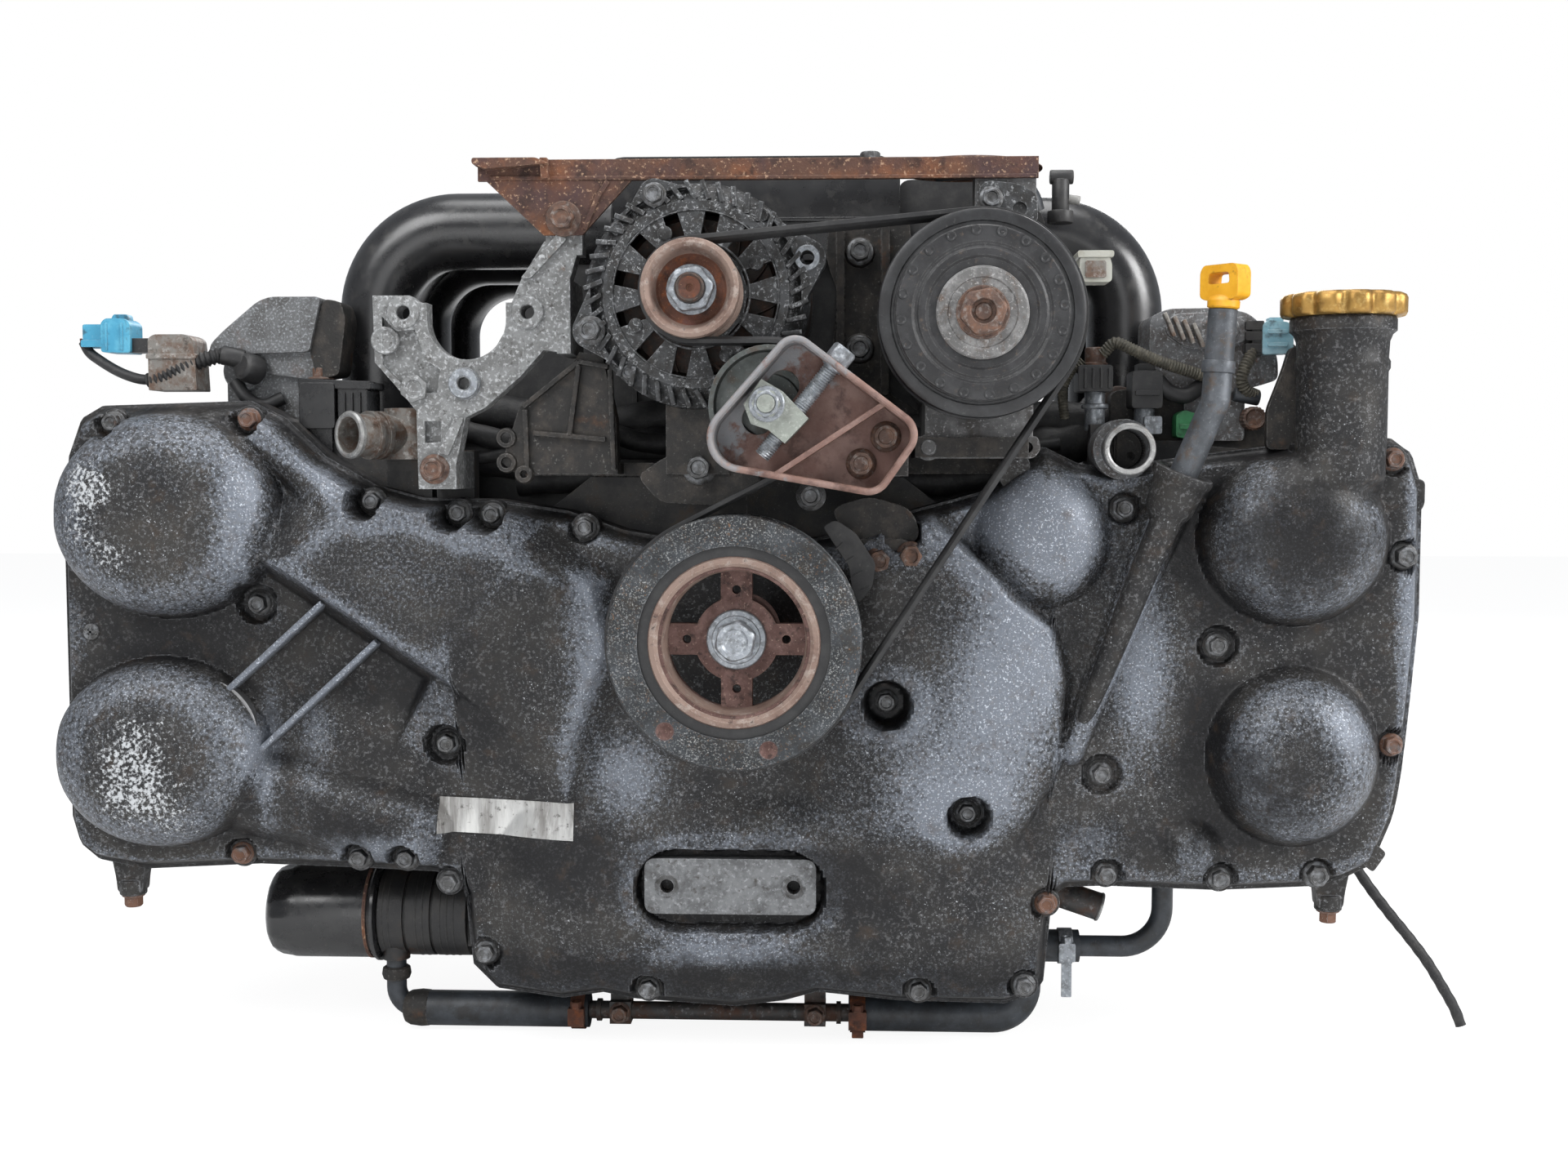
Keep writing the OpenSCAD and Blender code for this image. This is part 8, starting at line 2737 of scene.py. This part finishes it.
@dataclass
class LeftElectrics:
    """What stands on the front of the left head: valve box, sensor, connector, coil, leads."""

    front: float = -334.0
    plug_y: tuple[float, float] = (-342.0, -322.0)
    sensor_y: tuple[float, float] = (-346.0, -322.0)
    coil_y: tuple[float, float] = (-338.0, -306.0)
    lead: float = 3.3
    conduit: float = 4.7
    conduit_step: float = 3.1
    conduit_depth: float = 0.13

    def valve_box(self) -> None:
        """The cast box: a pale bevelled face, a darker underside, and its shaded end."""
        face = plate(rounded([(-345, 173), (-344, 180), (-336, 188), (-313, 207), (-305, 210),
                              (-272, 210), (-280, 175)], [4, 4, 6, 7, 5, 4, 3], 5),
                     self.front, -304)
        under = plate(rounded([(-343, 178), (-338, 168), (-300, 160), (-276, 157), (-274, 178)],
                              3.0, 4), self.front + 5, -303)
        leg = block((-337, -288), (-324, -303), (112, 166), 3.0)
        ear = turned_profile([(0, 3.0), (9.0, 2.6), (12.2, 0.8), (13.6, 3.5), (14, 9),
                              (14, 26), (0, 26)], (-325, -330, 163), Y_AXIS, 40)
        total([face, under, leg, ear]).build("valve_box_casting", VALVE_CAST, bevel=2.4,
                                             instead_of=("valve_box_left",))
        end = plate(rounded([(-281, 176), (-271, 209), (-260, 207), (-257, 196), (-262, 160),
                             (-276, 158)], 4.0, 4), self.front + 3, -304)
        end.build("valve_box_end", CAST_SOOTY, bevel=2.0)

    def connector(self) -> None:
        """The blue plug with its latch, ribs and windows, and the metal blades behind it."""
        y0, y1 = self.plug_y
        wide = plate(rounded([(-412, 174.5), (-393, 174), (-393, 193), (-397, 196),
                              (-409, 196), (-412, 193)], 2.0, 4), y0, y1)
        nose = block((-425, -411), (-339, -325), (181, 192.5), 1.6)
        jaw = [block((-426, -412), (y, y + 3.2), (178, 182.5), 0.9) for y in (-340, -333, -326)]
        ribs = [block((x, x + 1.4), (y0 - 0.9, y0 + 1), (176, 193), 0.5) for x in (-409, -399)]
        latch = plate(rounded([(-408, 195), (-396, 195), (-397, 199), (-406, 199)], 1.2, 3),
                      -336, -328)
        total([wide, nose, *jaw, *ribs, latch]).build("blue_connector", BLUE, bevel=0.6)
        blades = [block((-394, -378), (y, y + 1.6), (z, z + 3.2), 0.4)
                  for y in (-337, -331) for z in (175.5, 180.5)]
        total(blades).build("connector_blades", ZINC, bevel=0.3)
        block((-395, -379), (-339, -325), (174.5, 183.5), 1.0).build("connector_shroud",
                                                                     PLASTIC_DULL)

    def sensor(self) -> None:
        """The flaking steel sensor block on its seat."""
        outline = [(-380, 150), (-380, 183), (-376, 185.5), (-356, 185.5), (-351, 183),
                   (-350, 172), (-349, 150)]
        y0, y1 = self.sensor_y
        body = plate(rounded(outline, [1, 3, 3, 3, 4, 3, 1], 5), y0, y1)
        lip = plate(rounded([(-381, 170), (-381, 173), (-349, 173), (-349, 170)], 0.8, 3),
                    y0 - 1, y1 + 1)
        (body + lip).build("position_sensor", SENSOR_STEEL, bevel=1.4)

    def leads(self) -> None:
        """The cut lead, its corrugated conduit and the dark fitting that it runs to."""
        tube([(-427, -333, 181.5), (-423, -334, 175), (-416, -336, 170), (-406, -337, 164),
              (-397, -338, 160), (-388, -339, 157.5), (-379, -340, 157)], self.lead, 60,
             Y_AXIS, 18).build("cut_sensor_lead", RUBBER)
        end = np.array([-427.5, -333, 182.2])
        cores = [rod(end + (a, b, 1.6), end + (a + 0.4, b, -2), 0.8, 0.1, 12)
                 for a, b in ((-1.0, -0.8), (1.0, -0.6), (0.0, 1.0))]
        total(cores).build("lead_cores", COPPER)
        tube([(-382, -341, 156), (-372, -342, 158.5), (-362, -342, 163), (-352, -341, 167.5),
              (-342, -339, 171), (-334, -336, 173)], self.conduit, 150, Y_AXIS, 20,
             self.conduit_step, self.conduit_depth).build("sensor_conduit", CABLE)
        total([turned_profile([(0, 0), (6.4, 0), (8.4, 1.4), (9.4, 4), (9.4, 13), (0, 15)],
                              (-322, -341, 166), unit(np.array([0.5, 0.8, -0.2])), 36),
               rod((-336, -337, 173), (-322, -334, 170), 6.2, 1.2)]).build(
            "conduit_fitting", PLASTIC_DULL)

    def coil(self) -> None:
        """The coil's glossy black body, its rusty bolt, and the box and lead beside it."""
        y0, y1 = self.coil_y
        body = plate(rounded([(-286, 126), (-286, 155), (-263, 155), (-263, 126)], 3.0, 5),
                     y0, y1)
        shelf = plate(rounded([(-287, 152), (-287, 158), (-240, 156), (-240, 151)], 1.5, 4),
                      y0 + 2, y1 + 2)
        case = plate(rounded([(-262, 132), (-262, 153), (-243, 152), (-243, 134)], 2.5, 4),
                     y0 + 4, y1 + 2)
        slots = [block((x, x + 1.2), (-336, -333), (136, 149), 0.4) for x in (-258, -253, -248)]
        foot = block((-282, -266), (-334, -306), (108, 128), 3.0)
        total([body, shelf, case, *slots, foot]).build("coil_body", FILTER_PAINT, bevel=1.2)
        bolt((-275, -326, 157.5), Z_AXIS, 10.5, 12, 0.8, 0.6).build("coil_bolt", BOLT_RUST)
        tube([(-300, -326, 146), (-312, -330, 141), (-322, -332, 146), (-330, -330, 156)],
             4.2, 40, Y_AXIS, 16).build("coil_lead", RUBBER)

    def make(self) -> None:
        """Makes all of it."""
        self.valve_box()
        self.connector()
        self.sensor()
        self.leads()
        self.coil()


@dataclass
class RightElectrics:
    """What stands on the front of the right head: casting, injectors, plugs and conduits."""

    casting_y: tuple[float, float] = (-331.0, -284.0)
    first: tuple[float, float] = (220.5, -330.0)
    second: tuple[float, float] = (251.5, -330.0)
    plug_y: tuple[float, float] = (-342.0, -324.0)
    round_at: Point = (317.5, -346.0, 131.5)
    braid: float = 3.6
    braid_thin: float = 3.0
    braid_step: float = 1.9
    braid_depth: float = 0.1

    def casting(self) -> None:
        """The oxidised casting with its diagonal fins, a boss and its leg."""
        outline = [(254, 172), (254.5, 196), (266, 200.5), (297, 201), (315, 198), (324, 190),
                   (334, 171), (334.5, 156), (322, 152), (307, 148.5), (284, 148.5),
                   (263, 151)]
        body = plate(rounded(outline, [5, 5, 4, 6, 7, 7, 7, 4, 5, 4, 4, 5], 5),
                     *self.casting_y)
        crown = plate(rounded([(262, 186), (268, 197), (296, 198), (312, 194), (318, 182),
                               (300, 176), (276, 176)], 7, 5), -335, -328)
        leg = block((278, 316), (-322, -288), (118, 152), 3.0)
        boss = turned_profile([(0, 1.4), (4.6, 1.4), (5.6, 0), (8.4, 0.6), (9, 3), (9, 8),
                               (0, 8)], (300, -338, 187), Y_AXIS, 36)
        total([body, crown, leg, boss]).build("head_casting", CAST_OXIDE, bevel=3.0,
                                              instead_of=("valve_box_right",))
        fins = [swept(np.array([[262 + 6 * k, -337.5, 197 - 2.2 * k],
                                [265 + 6 * k, -338.5, 190 - 2.2 * k],
                                [268 + 6 * k, -337.5, 183 - 2.2 * k]]),
                      box_section(6.0, 2.6, 1.0), Y_AXIS) for k in range(4)]
        total(fins).build("casting_fins", SENSOR_STEEL, bevel=0.8)
        apron = plate(rounded([(232, 96), (232, 150), (262, 152), (290, 140), (330, 136),
                               (350, 118), (350, 96)], 6, 4), -318, -300)
        stay = plate(rounded([(320, 112), (320, 136), (329, 160), (333, 174), (350, 176),
                              (352, 112)], 4, 4), -366, -360)
        (apron + stay).build("head_apron", CAST_SOOTY, bevel=1.6)

    def injectors(self) -> None:
        """Two injectors with their plugs, on the seats beside the casting."""
        x, y = self.first
        cap = [rod((x, y, 165), (x, y, 176.5), 6.6, 1.2), rod((x, y, 160), (x, y, 167), 7.8, 0.8)]
        total(cap).build("injector_cap", BOLT_RUST)
        bodies = [plate(rounded([(208.5, 148.5), (208.5, 165), (230, 165), (230, 148.5)], 2.5,
                                4), -342, -318),
                  plate(rounded([(242, 138), (242, 161.5), (261, 161.5), (261, 138)], 2.5, 4),
                        -342, -318),
                  *[block((x, x + 1.6), (-344, -341), (150.5, 163), 0.4)
                    for x in (212, 217, 222, 227)],
                  block((244, 259), (-344, -341), (146, 149), 0.5),
                  plate(rounded([(246, 160), (246, 166), (257, 166), (257, 160)], 1, 3),
                        -336, -324)]
        total(bodies).build("injector_plugs", PLASTIC_DULL, bevel=0.8)
        x2, y2 = self.second
        necks = [rod((x, y, 124), (x, y, 149), 6.4, 0.8),
                 rod((x, y, 138), (x, y, 141), 8.6, 0.8),
                 rod((x2, y2, 120), (x2, y2, 139), 6.4, 0.8),
                 block((250, 261), (-341, -325), (122, 133), 1.5)]
        total(necks).build("injector_necks", ZINC)
        rod((240, -300, 143), (240, -180, 143), 11, 1.5).build("fuel_rail", PIPE_STEEL)

    def plugs(self) -> None:
        """The green plug, the pale plug with its dark contacts, and the worn round bolt."""
        green = [plate(rounded([(270, 120), (270, 134), (275, 137), (284, 134), (284, 124),
                                (278, 119)], 2, 4), -340, -324),
                 block((272, 282), (-342, -339), (125, 128), 0.5)]
        total(green).build("green_connector", GREEN, bevel=0.8)
        pale = [plate(rounded([(322, 171), (322, 190), (326, 192.5), (338, 191), (341, 186),
                               (341, 172)], 2, 4), *self.plug_y),
                block((325, 337), (-344, -341), (176, 178.4), 0.5),
                block((325, 337), (-344, -341), (184, 186.4), 0.5),
                block((327, 336), (-336, -328), (191, 194.5), 0.8)]
        total(pale).build("pale_connector", BLUE_PALE, bevel=0.8)
        dark = [block((312, 323), (y, y + 5), (z, z + 5.5), 0.8)
                for y in (-341, -333) for z in (172.5, 180, 186.5)]
        total([*dark, block((316, 324), (-340, -326), (171, 191), 1)]).build(
            "plug_contacts", PLASTIC_DULL)
        a = np.linspace(0, 2 * np.pi, 96, endpoint=False)
        rows = [(0, 1.2, 0), (4.6, 1.2, 0), (6.0, 0, 0), (7.4, 1.0, 1), (7.6, 12, 1),
                (7.0, 13, 0), (0, 13, 0)]
        scalloped(rows, 0.45 * (np.cos(20 * a) > 0), self.round_at,
                  (X_AXIS, Z_AXIS, Y_AXIS)).build("round_bolt", BOLT_RUST)

    def conduits(self) -> None:
        """The braided conduits: fine ridges across, a swell where each is tied."""
        runs = [((224, -338, 172), (231, -341, 178.5), (240, -343, 175), (252, -343, 169.5),
                 (264, -342, 165), (277, -340, 161), (290, -338, 157)),
                ((318, -336, 176), (315, -340, 170), (311, -342, 162), (309.5, -342, 155),
                 (313, -340, 149), (320, -336, 146)),
                ((212, -334, 168), (204, -334, 160), (200, -332, 148), (202, -328, 132))]
        sizes = (self.braid, self.braid, self.braid_thin)
        total([tube(run, size, 170, Y_AXIS, 16, self.braid_step, self.braid_depth)
               for run, size in zip(runs, sizes)]).build("braided_conduits", BRAID)
        rod((306, -336, 147), (322, -336, 144), 4.6, 1.0).build("conduit_elbow", HOSE)
        tube([(286, -334, 152), (276, -338, 146), (266, -338, 148), (258, -336, 156)], 5.0, 50,
             Y_AXIS, 16).build("rail_hose", RUBBER)
        tube([(339, -334, 176), (346, -334, 168), (348, -334, 150), (344, -332, 128)], 4.2, 50,
             Y_AXIS, 16).build("plug_lead", RUBBER)

    def make(self) -> None:
        """Makes all of it."""
        self.casting()
        self.injectors()
        self.plugs()
        self.conduits()


@dataclass
class HiddenSides:
    """Joint bands and bolts on the sides, the rear and the sump, which the front hides."""

    flange_x: float = 342.0
    flange_z: float = 114.0
    flange_y: tuple[float, ...] = (-328.0, -170.0, -10.0)
    screw_step: int = 58
    rib_x: float = 416.0
    rib_z: float = 40.0
    rib_y: tuple[float, ...] = (-300.0, -170.0, -40.0)
    retainer: float = 46.5
    plug_x: float = 270.0
    plug_z: float = 62.0
    sump: Outline = ((-146, -328), (156, -328), (156, -7), (-146, -7))
    sump_z: float = -103.0
    swage_z: tuple[float, float] = (-248, -122)

    def cam_covers(self, side: int) -> None:
        """The cam cover's flange bands with their screws, one every step.

        Args:
            side: 1 for the right bank, -1 for the left.
        """
        name = "right" if side > 0 else "left"
        x, levels = side * self.flange_x, (-self.flange_z, self.flange_z)
        bands = [swept(np.array([[x, y, z] for y in self.flange_y]),
                       box_section(7.0, 9.0, 1.4), X_AXIS) for z in levels]
        total(bands).build(f"cam_flange_{name}", CAST_CAM)
        screws = [bolt((x + side * 3.5, y, z), (side, 0, 0), 10, 17 * k, 0.8, 0.6)
                  for k, y in enumerate(range(-304, -10, self.screw_step)) for z in levels]
        total(screws).build(f"cam_screws_{name}", BOLT)

    def cam_ribs(self, side: int) -> None:
        """Two low ribs along a cam cover.

        Args:
            side: 1 for the right bank, -1 for the left.
        """
        name = "right" if side > 0 else "left"
        ribs = [swept(np.array([[side * self.rib_x, y, z] for y in self.rib_y]),
                      box_section(3.0, 5.0, 1.2), X_AXIS) for z in (-self.rib_z, self.rib_z)]
        total(ribs).build(f"cam_ribs_{name}", CAST_CAM)

    def rear(self) -> None:
        """The rear main seal's retainer with its bolts, and the heads' core plugs."""
        turned_profile([(36, -0.5), (36, 1.6), (37, 2.6), (51, 2.6), (52, 1.8), (52, -0.5)],
                       (0, -5, 0), Y_AXIS, 96, True).build("seal_retainer", CAST_GREY,
                                                           outwards=False)
        screws = [bolt(around(0, 0, self.retainer, a, -2.6), Y_AXIS, 8, 20, 0.4, 0.6)
                  for a in range(15, 375, 60)]
        total(screws).build("retainer_screws", BOLT)
        plugs = [turned_profile([(0, -1.6), (12.5, -1.6), (14.6, -0.2), (15.6, 1.4),
                                 (17.2, 1.6), (18.0, -0.5)],
                                (side * self.plug_x, -8, level * self.plug_z), Y_AXIS, 48)
                 for side in (-1, 1) for level in (-1, 1)]
        total(plugs).build("core_plugs", SENSOR_STEEL, outwards=False)

    def oil_pan(self) -> None:
        """The sump's flange band, its screws from below, and its upright swages."""
        path = np.insert(rounded(self.sump, 10, 6), 2, self.sump_z, axis=1)
        swept(path, box_section(5.0, 15.0, 1.2), Z_AXIS, True).build("sump_flange", CAST_DARK)
        screws = [bolt((x, y, self.sump_z - 2.5), DOWN, 8, 11 * k, 0.7, 0.6)
                  for k, y in enumerate(range(-310, -10, 48)) for x in (-149, 159)]
        total(screws).build("sump_screws", BOLT)
        swages = [block(span, (y, y + 26), self.swage_z, 2.4)
                  for y in range(-296, -40, 52) for span in ((-146.5, -142), (152, 156.5))]
        swages += [block((x, x + 30), (-8, -2.5), self.swage_z, 2.4)
                   for x in range(-112, 110, 58)]
        total(swages).build("sump_swages", CAST_DARK, bevel=1.0)

    def make(self) -> None:
        """Makes all of it."""
        for side in (-1, 1):
            self.cam_covers(side)
            self.cam_ribs(side)
        self.rear()
        self.oil_pan()


def main() -> None:
    """Builds the studio and each sub-assembly in order."""
    logging.basicConfig(level=logging.INFO, format="%(name)s: %(message)s")
    Studio().make()
    for assembly in (CutCable(), FrontCover(), Castings(), Damper(), Alternator(),
                     Compressor(), Tensioner(), Belt(), Brackets(), Intake(), Fittings(),
                     Looms(), LeftElectrics(), RightElectrics(), HiddenSides()):
        log.info("making %s", type(assembly).__name__)
        assembly.make()


if __name__ == "__main__":
    main()
